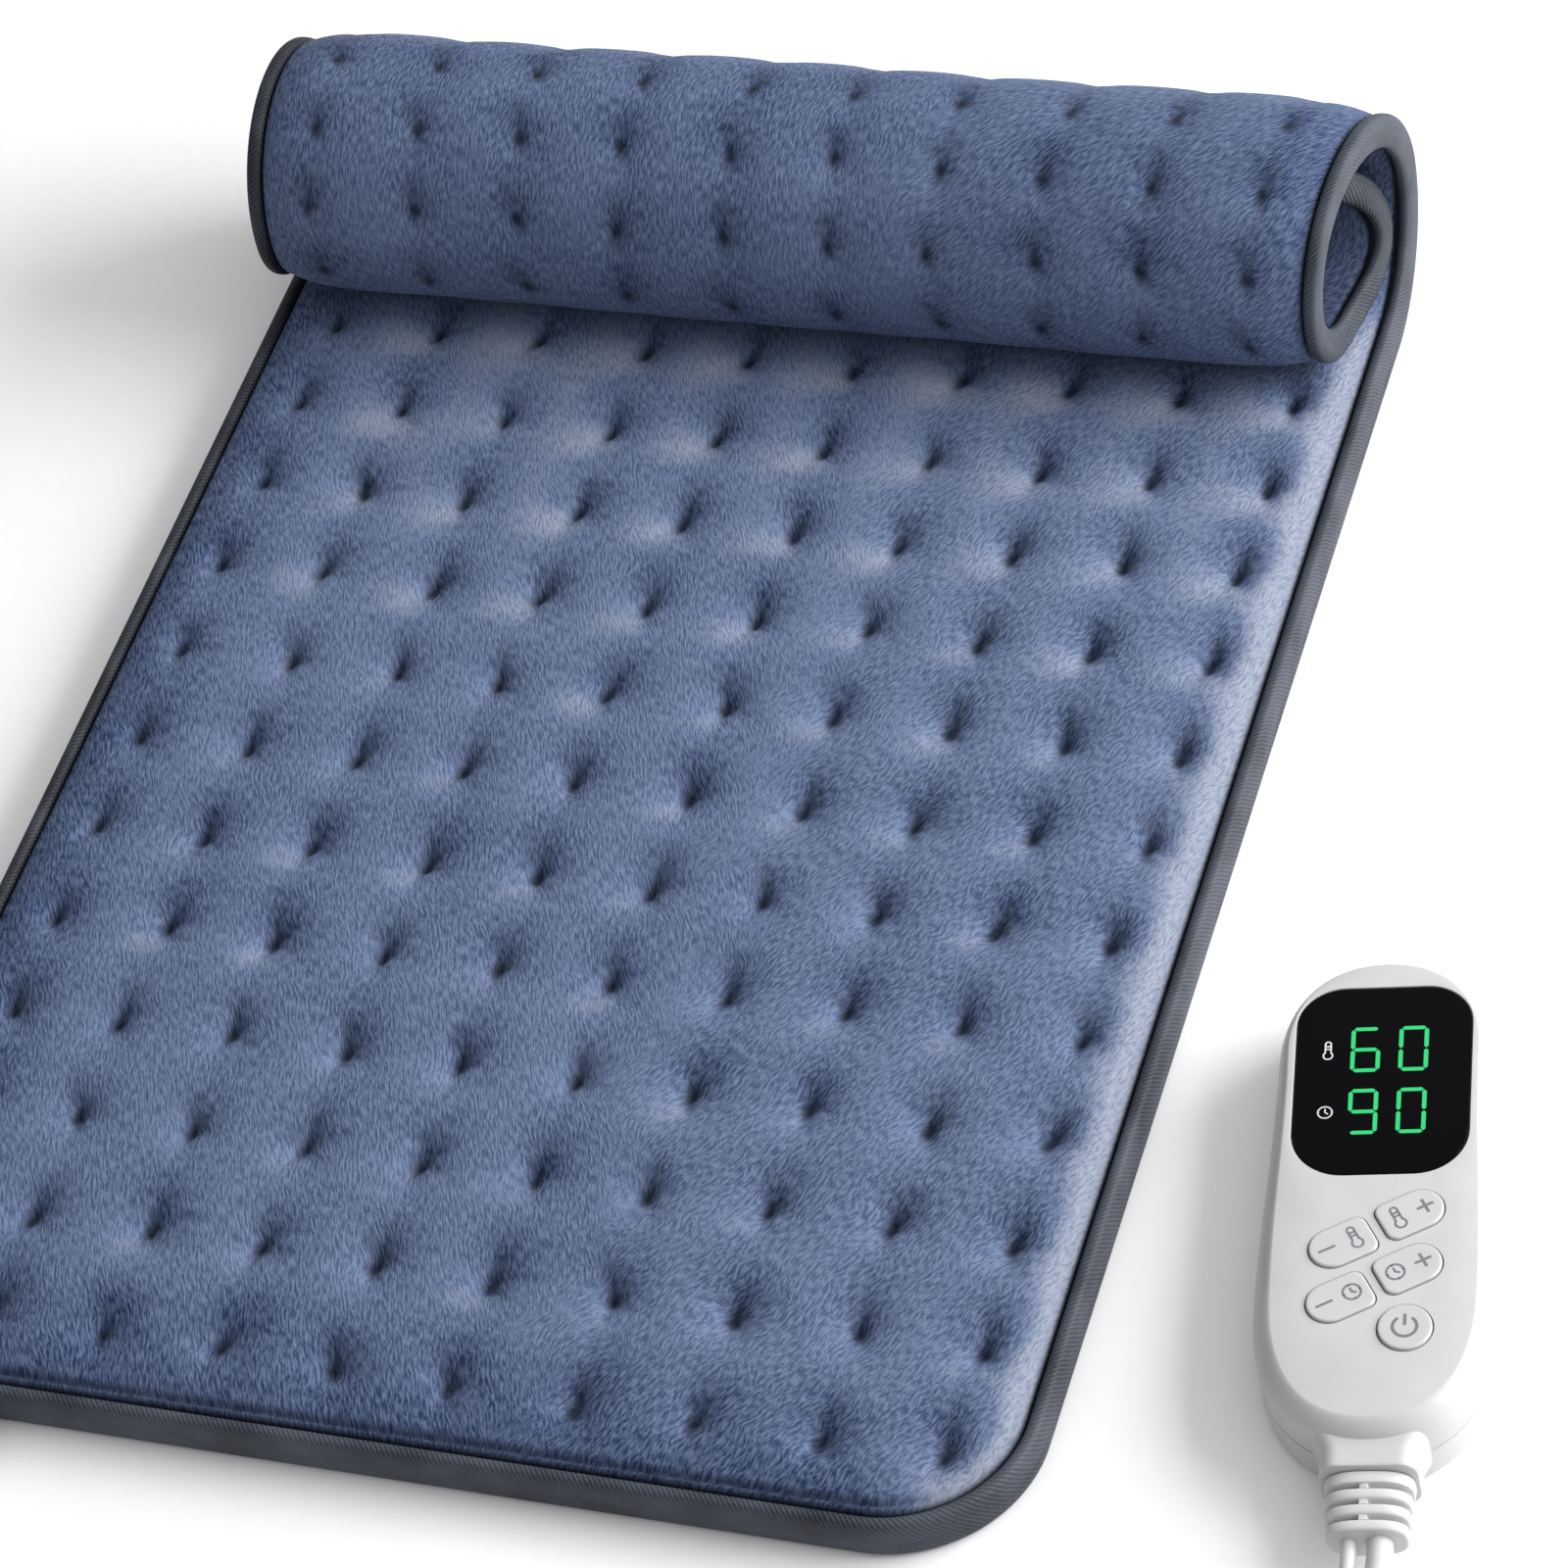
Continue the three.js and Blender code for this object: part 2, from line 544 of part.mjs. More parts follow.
// A cover: plush on foam, smooth inside, and tufted in rows outside between two runs.
function cover(outer, inner, rows, tuftFrom, tuftTo, loopsPerRow) {
  const pitch = rows[1] - rows[0];
  const runs = rows.flatMap((row) =>
    Array.from({ length: loopsPerRow }, (_, i) => row + (i * pitch) / loopsPerRow))
    .filter((s) => s > tuftFrom && s < tuftTo);
  const inwards = Math.sign(inner - outer);
  const loops = layerRuns(COVER_INSET, runs).map((s) => {
    const half = halfWidth(s, COVER_INSET);
    const tufted = s > tuftFrom && s < tuftTo;
    const across = tufted ? tuftedRow(half) : [-half, half];
    const outside = across.map((x) => {
      const n = outer + (tufted ? inwards * pullIn(rows, s, x, half) : 0);
      return { q: new THREE.Vector2(x, n), t: (0.25 * (x + half)) / half, p: padPoint(s, x, n) };
    });
    const inside = [[half, 0.55], [-half, 0.95]].map(([x, t]) =>
      ({ q: new THREE.Vector2(x, inner), t, p: padPoint(s, x, inner) }));
    return [...outside, ...inside];
  });
  return skin(loops);
}

// Felt sheet between the covers
function carrierSheet() {
  return skin(layerRuns(COVER_INSET, []).map((s) => {
    const half = halfWidth(s, COVER_INSET);
    const corners = [[-half, CARRIER_LOW], [half, CARRIER_LOW], [half, CARRIER_HIGH], [-half, CARRIER_HIGH]];
    const contour = corners.map(([x, n]) => new THREE.Vector2(x, n));
    return planeLoop(contour, ({ x, y: n }) => padPoint(s, x, n));
  }));
}

// Section of the binding: out from the covers' edge, and up or down from the pad's middle
const BINDING_SECTION = [
  [0, -0.86], [0.36, -1], [0.82, -0.72], [1, 0], [0.82, 0.72], [0.36, 1], [0, 0.86],
].map(([out, up]) => new THREE.Vector2(out * BINDING_WIDTH, (up * PAD_THICKNESS) / 2));

// Places round the pad's edge, at the inside of the binding, with the way out from each.
function edgePlaces() {
  const corner = PAD_CORNER - BINDING_WIDTH;
  const side = PAD_WIDTH / 2 - BINDING_WIDTH;
  const steps = 7;
  const arc = (x, s, start) => Array.from({ length: steps + 1 }, (_, k) => {
    const angle = start + (k / steps) * (Math.PI / 2);
    const out = new THREE.Vector2(Math.cos(angle), Math.sin(angle));
    return { x: x + corner * out.x, s: s + corner * out.y, out };
  });
  const runs = STATIONS.map(({ s }) => s)
    .filter((s) => s > PAD_CORNER + OVERRUN && s < PAD_LENGTH - PAD_CORNER - OVERRUN);
  const right = runs.map((s) => ({ x: side, s, out: new THREE.Vector2(1, 0) }));
  const left = runs.map((s) => ({ x: -side, s, out: new THREE.Vector2(-1, 0) })).reverse();
  const straight = PAD_WIDTH / 2 - PAD_CORNER;
  const far = PAD_LENGTH - PAD_CORNER;
  const places = [
    ...arc(straight, PAD_CORNER, -Math.PI / 2), ...right,
    ...arc(straight, far, 0), ...arc(-straight, far, Math.PI / 2),
    ...left, ...arc(-straight, PAD_CORNER, Math.PI),
  ];
  return splitAtStations(places, true);
}

// Adds a place wherever a chain of places crosses a station, so that it bends with the roll.
function splitAtStations(places, ring = false) {
  return places.flatMap((from, k) => {
    const to = places[k + 1] ?? (ring ? places[0] : null);
    if (!to) return [from];
    const [low, high] = [Math.min(from.s, to.s), Math.max(from.s, to.s)];
    const between = STATIONS.filter(({ s }) => s > low + 0.2 && s < high - 0.2)
      .map(({ s }) => {
        const share = (s - from.s) / (to.s - from.s);
        const out = from.out && from.out.clone().lerp(to.out, share);
        return { x: THREE.MathUtils.lerp(from.x, to.x, share), s, out };
      });
    return [from, ...(from.s > to.s ? between.reverse() : between)];
  });
}

function edgeBinding() {
  const ring = skin(edgePlaces().map(({ x, s, out }) => planeLoop(BINDING_SECTION, (q) =>
    padPoint(s + out.y * q.x, x + out.x * q.x, q.y))), true);
  return cut(ring, tongueBlock(GAP));
}

// Flat tongue of the socket, which is sewn in between the covers
function tongueBlock(clearance) {
  const middle = PAD_THICKNESS / 2;
  return block(
    [SOCKET_X - TONGUE_WIDTH / 2 - clearance, FRONT_EDGE - SOCKET_SEAT - OVERRUN,
      middle + WIRE_LOW - clearance],
    [SOCKET_X + TONGUE_WIDTH / 2 + clearance, FRONT_EDGE + TONGUE_REACH + clearance,
      middle + WIRE_HIGH + clearance]);
}

// Plan of the heating wire: out from the socket, to and fro across the pad, and back along its edge.
function wirePlan() {
  const reach = PAD_WIDTH / 2 - WIRE_MARGIN;
  const back = PAD_WIDTH / 2 - WIRE_RETURN_MARGIN;
  const start = TONGUE_REACH + GAP;
  const first = start + 2.5 * WIRE_BEND;
  const spaces = Math.max(2, 2 * Math.round((PAD_LENGTH - first - PAD_CORNER) / WIRE_RUN_PITCH / 2));
  const pitch = (PAD_LENGTH - first - PAD_CORNER) / spaces;
  const runs = Array.from({ length: spaces + 1 }, (_, k) => first + k * pitch);
  const half = TONGUE_WIDTH / 4;
  const corners = [[SOCKET_X - half, start]];
  runs.forEach((s, k) => {
    const [from, to] = k % 2 ? [reach, -reach] : [-reach, reach];
    corners.push([k === 0 ? SOCKET_X - half : from, s], [k === spaces ? back : to, s]);
  });
  const home = start + 0.8 * WIRE_BEND;
  corners.push([back, home], [SOCKET_X + half, home], [SOCKET_X + half, start]);
  return corners.map(([x, s]) => new THREE.Vector2(x, s));
}

// Rounds the corners of a plan polyline.
function roundCorners(corners, radius, steps) {
  return corners.flatMap((corner, k) => {
    if (k === 0 || k === corners.length - 1) return [corner];
    const before = corners[k - 1].clone().sub(corner);
    const after = corners[k + 1].clone().sub(corner);
    const trim = Math.min(radius, before.length() / 2.2, after.length() / 2.2);
    const from = corner.clone().addScaledVector(before.normalize(), trim);
    const to = corner.clone().addScaledVector(after.normalize(), trim);
    return Array.from({ length: steps + 1 }, (_, i) =>
      new THREE.QuadraticBezierCurve(from, corner, to).getPoint(i / steps));
  });
}

function heatingWire() {
  const plan = roundCorners(wirePlan(), WIRE_BEND, 2).map(({ x, y }) => ({ x, s: y }));
  const height = (WIRE_LOW + WIRE_HIGH) / 2;
  const path = splitAtStations(plan).map(({ x, s }) => padPoint(s, x, height));
  return sweepTube(path, WIRE_DIAMETER / 2, 4);
}

// Sleeved thermal cut-out, lying on the carrier between two runs of wire
function thermalCutout(s) {
  const [wide, long] = CUTOUT.toArray();
  const middle = PAD_THICKNESS / 2;
  const y = FRONT_EDGE + s;
  return block(
    [-long / 2, y - wide / 2, middle + WIRE_LOW], [long / 2, y + wide / 2, middle + WIRE_HIGH]);
}

// Socket and connector, on one centre line through the pad's middle
const SOCKET_SEAT = GAP;
const SOCKET_X = SOCKET_FROM_SIDE - PAD_WIDTH / 2;
const SOCKET_BACK = FRONT_EDGE - SOCKET_SEAT;
const SOCKET_FACE = SOCKET_BACK - SOCKET_DEPTH;
const SOCKET_Z = PAD_THICKNESS / 2;
const NOSE = new THREE.Vector3(
  SOCKET_WIDTH - 2 * SOCKET_WALL - 2 * GAP, SOCKET_DEPTH - SOCKET_FLOOR - GAP,
  SOCKET_HEIGHT - 2 * SOCKET_WALL - 2 * GAP);
const CONNECTOR_FACE = SOCKET_FACE - GAP;
const CONNECTOR_BACK = CONNECTOR_FACE - CONNECTOR_BODY.y;
const CONNECTOR_END = CONNECTOR_BACK - CONNECTOR_TAIL;
const pinX = (k) => SOCKET_X + (k - (PIN_COUNT - 1) / 2) * PIN_PITCH;

function padSocket() {
  const outline = roundedRectangle(SOCKET_WIDTH, SOCKET_HEIGHT, SOCKET_CORNER);
  const housing = bar(outline, SOCKET_FACE, SOCKET_BACK, SOCKET_X, SOCKET_Z);
  const tongue = common(tongueBlock(0), block(
    [SOCKET_X - PAD_WIDTH, SOCKET_BACK - OVERRUN, 0],
    [SOCKET_X + PAD_WIDTH, FRONT_EDGE + PAD_LENGTH, PAD_THICKNESS]));
  const opening = roundedRectangle(
    SOCKET_WIDTH - 2 * SOCKET_WALL, SOCKET_HEIGHT - 2 * SOCKET_WALL, MOUTH_CORNER);
  const mouth = bar(opening, SOCKET_FACE - OVERRUN, SOCKET_BACK - SOCKET_FLOOR, SOCKET_X, SOCKET_Z);
  const seats = Array.from({ length: PIN_COUNT }, (_, k) => rod(PIN_RADIUS + GAP, pinX(k), SOCKET_Z,
    SOCKET_BACK - SOCKET_FLOOR - OVERRUN, SOCKET_BACK - SOCKET_FLOOR + PIN_SEAT + GAP, 8));
  return cut(join(housing, tongue), mouth, ...seats);
}

function socketPin(k) {
  const mouth = SOCKET_BACK - SOCKET_FLOOR;
  return rod(PIN_RADIUS, pinX(k), SOCKET_Z, mouth - NOSE.y + 2 * GAP, mouth + PIN_SEAT, 8);
}

function leadConnector() {
  const nose = bar(roundedRectangle(NOSE.x, NOSE.z, NOSE_CORNER),
    CONNECTOR_FACE - OVERRUN, CONNECTOR_FACE + NOSE.y, SOCKET_X, SOCKET_Z);
  const { x: wide, z: high } = CONNECTOR_BODY;
  const { x: rootWider, y: endWider, z: rootLength } = CONNECTOR_SLEEVE;
  const loop = (width, height, y) => ovalLoop(width, height, y, SOCKET_X, SOCKET_Z);
  const body = skin([
    loop(wide - 2 * CONNECTOR_EDGE.x, high - 2 * CONNECTOR_EDGE.x, CONNECTOR_FACE),
    loop(wide, high, CONNECTOR_FACE - CONNECTOR_EDGE.y),
    loop(wide, high, CONNECTOR_BACK + CONNECTOR_TAPER),
    loop(0.6 * wide, 0.9 * high, CONNECTOR_BACK),
    loop(PAD_LEAD + rootWider, PAD_LEAD + rootWider, CONNECTOR_BACK - rootLength),
    loop(PAD_LEAD + endWider, PAD_LEAD + endWider, CONNECTOR_END),
  ]);
  const grips = Array.from({ length: CONNECTOR_GRIPS }, (_, k) => {
    const y = CONNECTOR_FACE - GRIP_START - GRIP_PITCH * k;
    return [1, -1].map((side) => block(
      [SOCKET_X - wide / 4, y - GRIP.x / 2, SOCKET_Z + (side * high) / 2 - GRIP.y],
      [SOCKET_X + wide / 4, y + GRIP.x / 2, SOCKET_Z + (side * high) / 2 + GRIP.y]));
  }).flat();
  const holes = Array.from({ length: PIN_COUNT }, (_, k) => rod(PIN_RADIUS + GAP, pinX(k), SOCKET_Z,
    CONNECTOR_FACE, CONNECTOR_FACE + NOSE.y + OVERRUN, 8));
  const bore = rod(PAD_LEAD / 2 + GAP, SOCKET_X, SOCKET_Z,
    CONNECTOR_END - OVERRUN, CONNECTOR_END + LEAD_SEAT, 12);
  return cut(join(body, nose), ...grips, ...holes, bore);
}

// Controller, in its own frame: +y towards the display end, z up from its back

const CASE_BOTTOM = -CASE_LENGTH / 2;
const FRONT_LOW = PARTING + GAP;
const PANEL_INSIDE = CASE_HEIGHT - PANEL;
const NECK_END = CASE_BOTTOM - NECK.y;
const NECK_Z = PARTING + GAP / 2;
const NECK_ROOT = CASE_BOTTOM + 2 * CASE_WALL;

// Outline of the case: a domed display end, sides that widen, and shoulders round to the cord end.
function caseOutline() {
  const side = CASE_WIDTH / 2;
  const topSide = CASE_TOP_WIDTH / 2;
  const top = CASE_LENGTH / 2;
  const widest = CASE_BOTTOM + SHOULDER;
  const dome = top - DOME;
  const low = CASE_BOTTOM + SHOULDER_EASE.y;
  const high = dome + 0.63 * DOME;
  const shape = new THREE.Shape();
  shape.moveTo(0, CASE_BOTTOM);
  shape.bezierCurveTo(SHOULDER_EASE.x, CASE_BOTTOM, side, low, side, widest);
  shape.bezierCurveTo(side, widest + SIDE_EASE, topSide, dome - SIDE_EASE, topSide, dome);
  shape.bezierCurveTo(topSide, high, DOME_FLAT, top, 0, top);
  shape.bezierCurveTo(-DOME_FLAT, top, -topSide, high, -topSide, dome);
  shape.bezierCurveTo(-topSide, dome - SIDE_EASE, -side, widest + SIDE_EASE, -side, widest);
  shape.bezierCurveTo(-side, low, -SHOULDER_EASE.x, CASE_BOTTOM, 0, CASE_BOTTOM);
  shape.closePath();
  return shape.getSpacedPoints(CASE_OUTLINE_STEPS).slice(0, -1);
}
const CASE_OUTLINE = caseOutline();

// The outline drawn in by a width, square to itself, at a height.
function caseLoop(inset, z) {
  const count = CASE_OUTLINE.length;
  const contour = CASE_OUTLINE.map((p, k) => {
    const [before, after] = [CASE_OUTLINE[(k + count - 1) % count], CASE_OUTLINE[(k + 1) % count]];
    const along = after.clone().sub(before).normalize();
    const width = typeof inset === 'function' ? inset(p.y) : inset;
    return new THREE.Vector2(p.x - along.y * width, p.y + along.x * width);
  });
  return planeLoop(contour, (q) => new THREE.Vector3(q.x, q.y, z));
}

// Width of the sloped rim, which grows from the display end to the cord end.
const rim = (share, extra = 0) => (y) => {
  const down = THREE.MathUtils.clamp((CASE_LENGTH / 2 - y) / CASE_LENGTH, 0, 1);
  return share * THREE.MathUtils.lerp(BEVEL_TOP, BEVEL_BOTTOM, down) + extra;
};

const neckShape = (wider, wall) =>
  roundedRectangle(NECK.x + 2 * wider - 2 * wall, NECK.z - 2 * wall, NECK_CORNER - wall);

// Neck: straight at its mouth, then flared into the shoulders.
const neckBody = () => skin([[NECK_END, 0], [CASE_BOTTOM, 0], [NECK_ROOT, NECK_FLARE]].map(([y, wider]) =>
  planeLoop(neckShape(wider, 0).getPoints(2), (q) => new THREE.Vector3(q.x, y, NECK_Z + q.y))));
const neckCavity = () =>
  bar(neckShape(0, NECK_WALL), NECK_END + NECK_WALL, CASE_BOTTOM + 3 * CASE_WALL, 0, NECK_Z);
const everything = (low, high) =>
  block([-CASE_LENGTH, -CASE_LENGTH, low], [CASE_LENGTH, CASE_LENGTH, high]);
const neckHole = () => skin([NECK_END - OVERRUN, NECK_END + NECK_WALL + OVERRUN].map((y) =>
  ovalLoop(BOOT_SHANK.x + 2 * GAP, BOOT_SHANK.y + 2 * GAP, y, 0, NECK_Z)));

function rearShell() {
  const outside = skin([...BACK_EDGE.map(([inset, z]) => caseLoop(inset, z)), caseLoop(0, PARTING)]);
  const neck = common(neckBody(), everything(0, PARTING));
  const inside = skin([
    caseLoop(CASE_WALL + BACK_EDGE_INSIDE.x, CASE_WALL), caseLoop(CASE_WALL, CASE_WALL + BACK_EDGE_INSIDE.y),
    caseLoop(CASE_WALL, PARTING + OVERRUN)]);
  const hollow = cut(join(outside, neck), inside, neckCavity(), neckHole());
  const bosses = SCREWS.map(([x, y]) => post(BOSS_RADIUS, x, y, CASE_WALL / 2, PARTING, 10));
  const rests = [1, -1].flatMap((i) => [1, -1].map((j) =>
    post(BOARD_POST_RADIUS, i * BOARD_POST.x, j * BOARD_POST.y, CASE_WALL / 2, BOARD_LOW - GAP, 8)));
  const sinks = SCREWS.map(([x, y]) =>
    post(SCREW_HEAD.x + GAP, x, y, -OVERRUN, SCREW_SINK + SCREW_HEAD.y + GAP));
  const holes = SCREWS.map(([x, y]) => post(SCREW_SHANK + GAP, x, y, 0, PARTING + OVERRUN));
  return cut(join(hollow, ...bosses, ...rests), ...sinks, ...holes);
}

const windowShape = (margin) => roundedRectangle(WINDOW.x + 2 * margin, WINDOW.y + 2 * margin,
  WINDOW_TOP_RADIUS + margin, WINDOW_BOTTOM_RADIUS + margin);

// Outline of a button, larger by a margin: one end round, the other with small corners.
function buttonShape(button, margin) {
  if (button.round) return new THREE.Shape().absarc(0, 0, POWER_DIAMETER / 2 + margin, 0, 2 * Math.PI);
  const x = BUTTON_LENGTH / 2 + margin;
  const y = BUTTON_WIDTH / 2 + margin;
  const corner = BUTTON_CORNER + margin;
  const shape = new THREE.Shape();
  shape.absarc(x - corner, corner - y, corner, -Math.PI / 2, 0);
  shape.absarc(x - corner, y - corner, corner, 0, Math.PI / 2);
  shape.absarc(y - x, 0, y, Math.PI / 2, 1.5 * Math.PI);
  return shape;
}

const buttonPlate = (button, margin, low, high) =>
  plate(buttonShape(button, margin), low, high, button.round ? 10 : 3)
    .rotateZ(button.tilt ?? 0).translate(button.x, button.y, 0);

function frontShell() {
  const slope = CASE_HEIGHT - BEVEL_HEIGHT;
  const outside = skin([
    caseLoop(0, FRONT_LOW), caseLoop(0, slope), caseLoop(rim(0.3), slope + 0.45 * BEVEL_HEIGHT),
    caseLoop(rim(0.86), CASE_HEIGHT - PANEL_EDGE.y), caseLoop(rim(1, PANEL_EDGE.x), CASE_HEIGHT)]);
  const neck = common(neckBody(), everything(FRONT_LOW, CASE_HEIGHT));
  const inside = skin([caseLoop(CASE_WALL, FRONT_LOW - OVERRUN), caseLoop(CASE_WALL, slope),
    caseLoop(rim(0.8, CASE_WALL), PANEL_INSIDE)]);
  const hollow = cut(join(outside, neck), inside, neckCavity(), neckHole());
  const bosses = SCREWS.map(([x, y]) => post(BOSS_RADIUS, x, y, FRONT_LOW, PANEL_INSIDE + PANEL / 2));
  const ledge = CASE_HEIGHT - WINDOW.z - GAP;
  const windowSeat = plate(windowShape(GAP), ledge, CASE_HEIGHT + OVERRUN).translate(0, WINDOW_Y, 0);
  const windowHole = plate(windowShape(-WINDOW_LEDGE), FRONT_LOW, CASE_HEIGHT).translate(0, WINDOW_Y, 0);
  const buttonHoles = BUTTONS.map((button) =>
    buttonPlate(button, GAP, PANEL_INSIDE - OVERRUN, CASE_HEIGHT + OVERRUN));
  const screwHoles = SCREWS.map(([x, y]) =>
    post(SCREW_SHANK + GAP, x, y, FRONT_LOW - OVERRUN, SCREW_SINK + SCREW_HEAD.y + SCREW_LENGTH + GAP));
  return cut(join(hollow, ...bosses), windowSeat, windowHole, ...buttonHoles, ...screwHoles);
}

const displayWindow = () =>
  plate(windowShape(0), CASE_HEIGHT - WINDOW.z, CASE_HEIGHT).translate(0, WINDOW_Y, 0);

// Heights of the board and of what stands on it
const BOARD_LOW = CASE_WALL + UNDER_BOARD;
const BOARD_HIGH = BOARD_LOW + BOARD.z;
const SWITCH_TOP = BOARD_HIGH + GAP + SWITCH.y;
const STEM_LOW = SWITCH_TOP + PLUNGER_RISE + GAP;

const circuitBoard = () => plate(roundedRectangle(BOARD.x, BOARD.y, 2), BOARD_LOW, BOARD_HIGH, 2);

function displayModule() {
  const top = CASE_HEIGHT - WINDOW.z - 2 * GAP;
  const body = plate(roundedRectangle(MODULE.x, MODULE.y, 1.5), BOARD_HIGH + GAP, top, 2);
  return body.translate(0, WINDOW_Y, 0);
}

function pushButton(button) {
  const flangeTop = PANEL_INSIDE - GAP;
  const flangeLow = flangeTop - BUTTON_FLANGE.y;
  const top = CASE_HEIGHT + BUTTON_PROUD;
  const shoulder = buttonPlate(button, 0, flangeLow, top - BUTTON_EDGE);
  const rings = [[0, top - BUTTON_EDGE - GAP], [0, top - BUTTON_EDGE], [-BUTTON_EDGE, top]];
  const crown = skin(rings.map(([margin, z]) => {
    const points = buttonShape(button, margin).getPoints(button.round ? 10 : 3);
    const closing = points[0].distanceTo(points[points.length - 1]) < 1e-6;
    return planeLoop(closing ? points.slice(0, -1) : points, (q) => new THREE.Vector3(q.x, q.y, z));
  })).rotateZ(button.tilt ?? 0).translate(button.x, button.y, 0);
  const flange = buttonPlate(button, BUTTON_FLANGE.x, flangeLow, flangeTop);
  const stem = post(STEM_RADIUS, button.x, button.y, STEM_LOW, flangeTop, 8);
  return join(shoulder, crown, flange, stem);
}

function switchBody({ x, y }) {
  const half = SWITCH.x / 2;
  const body = block([x - half, y - half, BOARD_HIGH + GAP], [x + half, y + half, SWITCH_TOP]);
  const well = SWITCH_TOP - PLUNGER_SEAT - BUTTON_TRAVEL - GAP;
  return cut(body, post(PLUNGER_RADIUS + GAP, x, y, well, SWITCH_TOP + OVERRUN, 12));
}

const switchPlunger = ({ x, y }) =>
  post(PLUNGER_RADIUS, x, y, SWITCH_TOP - PLUNGER_SEAT, SWITCH_TOP + PLUNGER_RISE, 12);

// Screw, head down, turned from one profile
function caseScrew([x, y]) {
  const { x: head, y: height } = SCREW_HEAD;
  const profile = [[0, 0], [head - 0.4, 0], [head, 0.4], [head, height], [SCREW_SHANK, height],
    [SCREW_SHANK, height + SCREW_LENGTH - 1.2], [0, height + SCREW_LENGTH]];
  return new THREE.LatheGeometry(profile.map(([r, z]) => new THREE.Vector2(r, z)), 10)
    .rotateX(Math.PI / 2).translate(x, y, SCREW_SINK);
}

// Pieces under the board, each hung just below it
function underBoard(size, x, y) {
  const high = BOARD_LOW - GAP;
  return block([x - size.x / 2, y - size.y / 2, high - size.z], [x + size.x / 2, y + size.y / 2, high]);
}

function triac() {
  const body = underBoard(TRIAC, 0, TRIAC_Y);
  const end = TRIAC_Y + TRIAC.y / 2;
  const tab = block([-TRIAC.x / 2, end - OVERRUN, BOARD_LOW - GAP - TRIAC_TAB.y],
    [TRIAC.x / 2, end + TRIAC_TAB.x, BOARD_LOW - GAP]);
  const hole = post(TRIAC_HOLE, 0, end + TRIAC_TAB.x / 2, 0, BOARD_LOW, 10);
  return cut(join(body, tab), hole);
}

const cylinderUnderBoard = (size, x, y) =>
  rod(size.x, x, BOARD_LOW - GAP - size.x, y - size.y / 2, y + size.y / 2, 12);

// Strain relief: a flange and shank held in the neck, a collar, and slotted ribs for the two cords
const BOOT_START = NECK_END - GAP;
const BOOT_LENGTH = BOOT_COLLAR.y + BOOT_RIBS * (BOOT_SLOT + BOOT_RIB);
const BOOT_TIP = BOOT_START - BOOT_LENGTH;

function strainRelief() {
  const loop = (width, height, y) => ovalLoop(width, height, y, 0, NECK_Z);
  const flangeLow = NECK_END + NECK_WALL + GAP;
  const loops = [
    loop(BOOT_FLANGE.x, BOOT_FLANGE.z, flangeLow + BOOT_FLANGE.y),
    loop(BOOT_FLANGE.x, BOOT_FLANGE.z, flangeLow),
    loop(BOOT_SHANK.x, BOOT_SHANK.y, flangeLow),
    loop(BOOT_SHANK.x, BOOT_SHANK.y, BOOT_START),
    loop(BOOT_COLLAR.x - 2 * BOOT_EDGE, BOOT_COLLAR.z - 2 * BOOT_EDGE, BOOT_START),
    loop(BOOT_COLLAR.x, BOOT_COLLAR.z, BOOT_START - BOOT_EDGE),
    loop(BOOT_COLLAR.x, BOOT_COLLAR.z, BOOT_START - BOOT_COLLAR.y + BOOT_EDGE),
  ];
  const slots = [];
  for (let k = 0; k < BOOT_RIBS; k += 1) {
    const share = (k + 1) / BOOT_RIBS;
    const width = THREE.MathUtils.lerp(BOOT_COLLAR.x, BOOT_END.x, share);
    const height = THREE.MathUtils.lerp(BOOT_COLLAR.z, BOOT_END.y, share);
    const groove = BOOT_START - BOOT_COLLAR.y - k * (BOOT_SLOT + BOOT_RIB);
    const rib = groove - BOOT_SLOT;
    loops.push(loop(width - 2 * BOOT_GROOVE, height - 2 * BOOT_GROOVE, groove));
    loops.push(loop(width - 2 * BOOT_GROOVE, height - 2 * BOOT_GROOVE, rib));
    loops.push(loop(width, height, rib - 0.3 * BOOT_RIB), loop(width, height, rib - 0.7 * BOOT_RIB));
    if (k === BOOT_RIBS - 1) loops.push(loop(width - BOOT_GROOVE, height - BOOT_GROOVE, rib - BOOT_RIB));
    slots.push(...[PAD_LEAD_X, MAINS_LEAD_X].map((x) => block(
      [x - SLOT_WIDTH / 2, rib, NECK_Z - BOOT_COLLAR.z],
      [x + SLOT_WIDTH / 2, groove, NECK_Z + BOOT_COLLAR.z])));
  }
  const bores = [[PAD_LEAD_X, PAD_LEAD], [MAINS_LEAD_X, MAINS_LEAD]].map(([x, diameter]) =>
    rod(diameter / 2 + GAP, x, NECK_Z, BOOT_TIP - OVERRUN, CASE_BOTTOM + CASE_WALL, 12));
  return cut(skin(loops), ...slots, ...bores);
}

// Cords

// A point of the controller's frame, in the whole part's frame
const CASE_PLACE = new THREE.Vector3(PAD_WIDTH / 2 + BESIDE_PAD, FRONT_EDGE + UP_FROM_EDGE, 0);
const UPRIGHT = new THREE.Vector3(0, 0, 1);
const fromCase = (x, y, z) =>
  new THREE.Vector3(x, y, z).applyAxisAngle(UPRIGHT, CASE_TURN).add(CASE_PLACE);
const LEAD_START = CASE_BOTTOM + CASE_WALL - NECK.y;

// A cord's first points run straight through the strain relief and a little beyond it.
const leaveCase = (x) => [LEAD_START, BOOT_START - BOOT_LENGTH / 2, BOOT_TIP, BOOT_TIP - MAINS_LEAD]
  .map((y) => fromCase(x, y, NECK_Z));

const PAD_LEAD_Z = PAD_LEAD / 2 + FLOOR_LIFT;
const MAINS_LEAD_Z = MAINS_LEAD / 2 + FLOOR_LIFT;

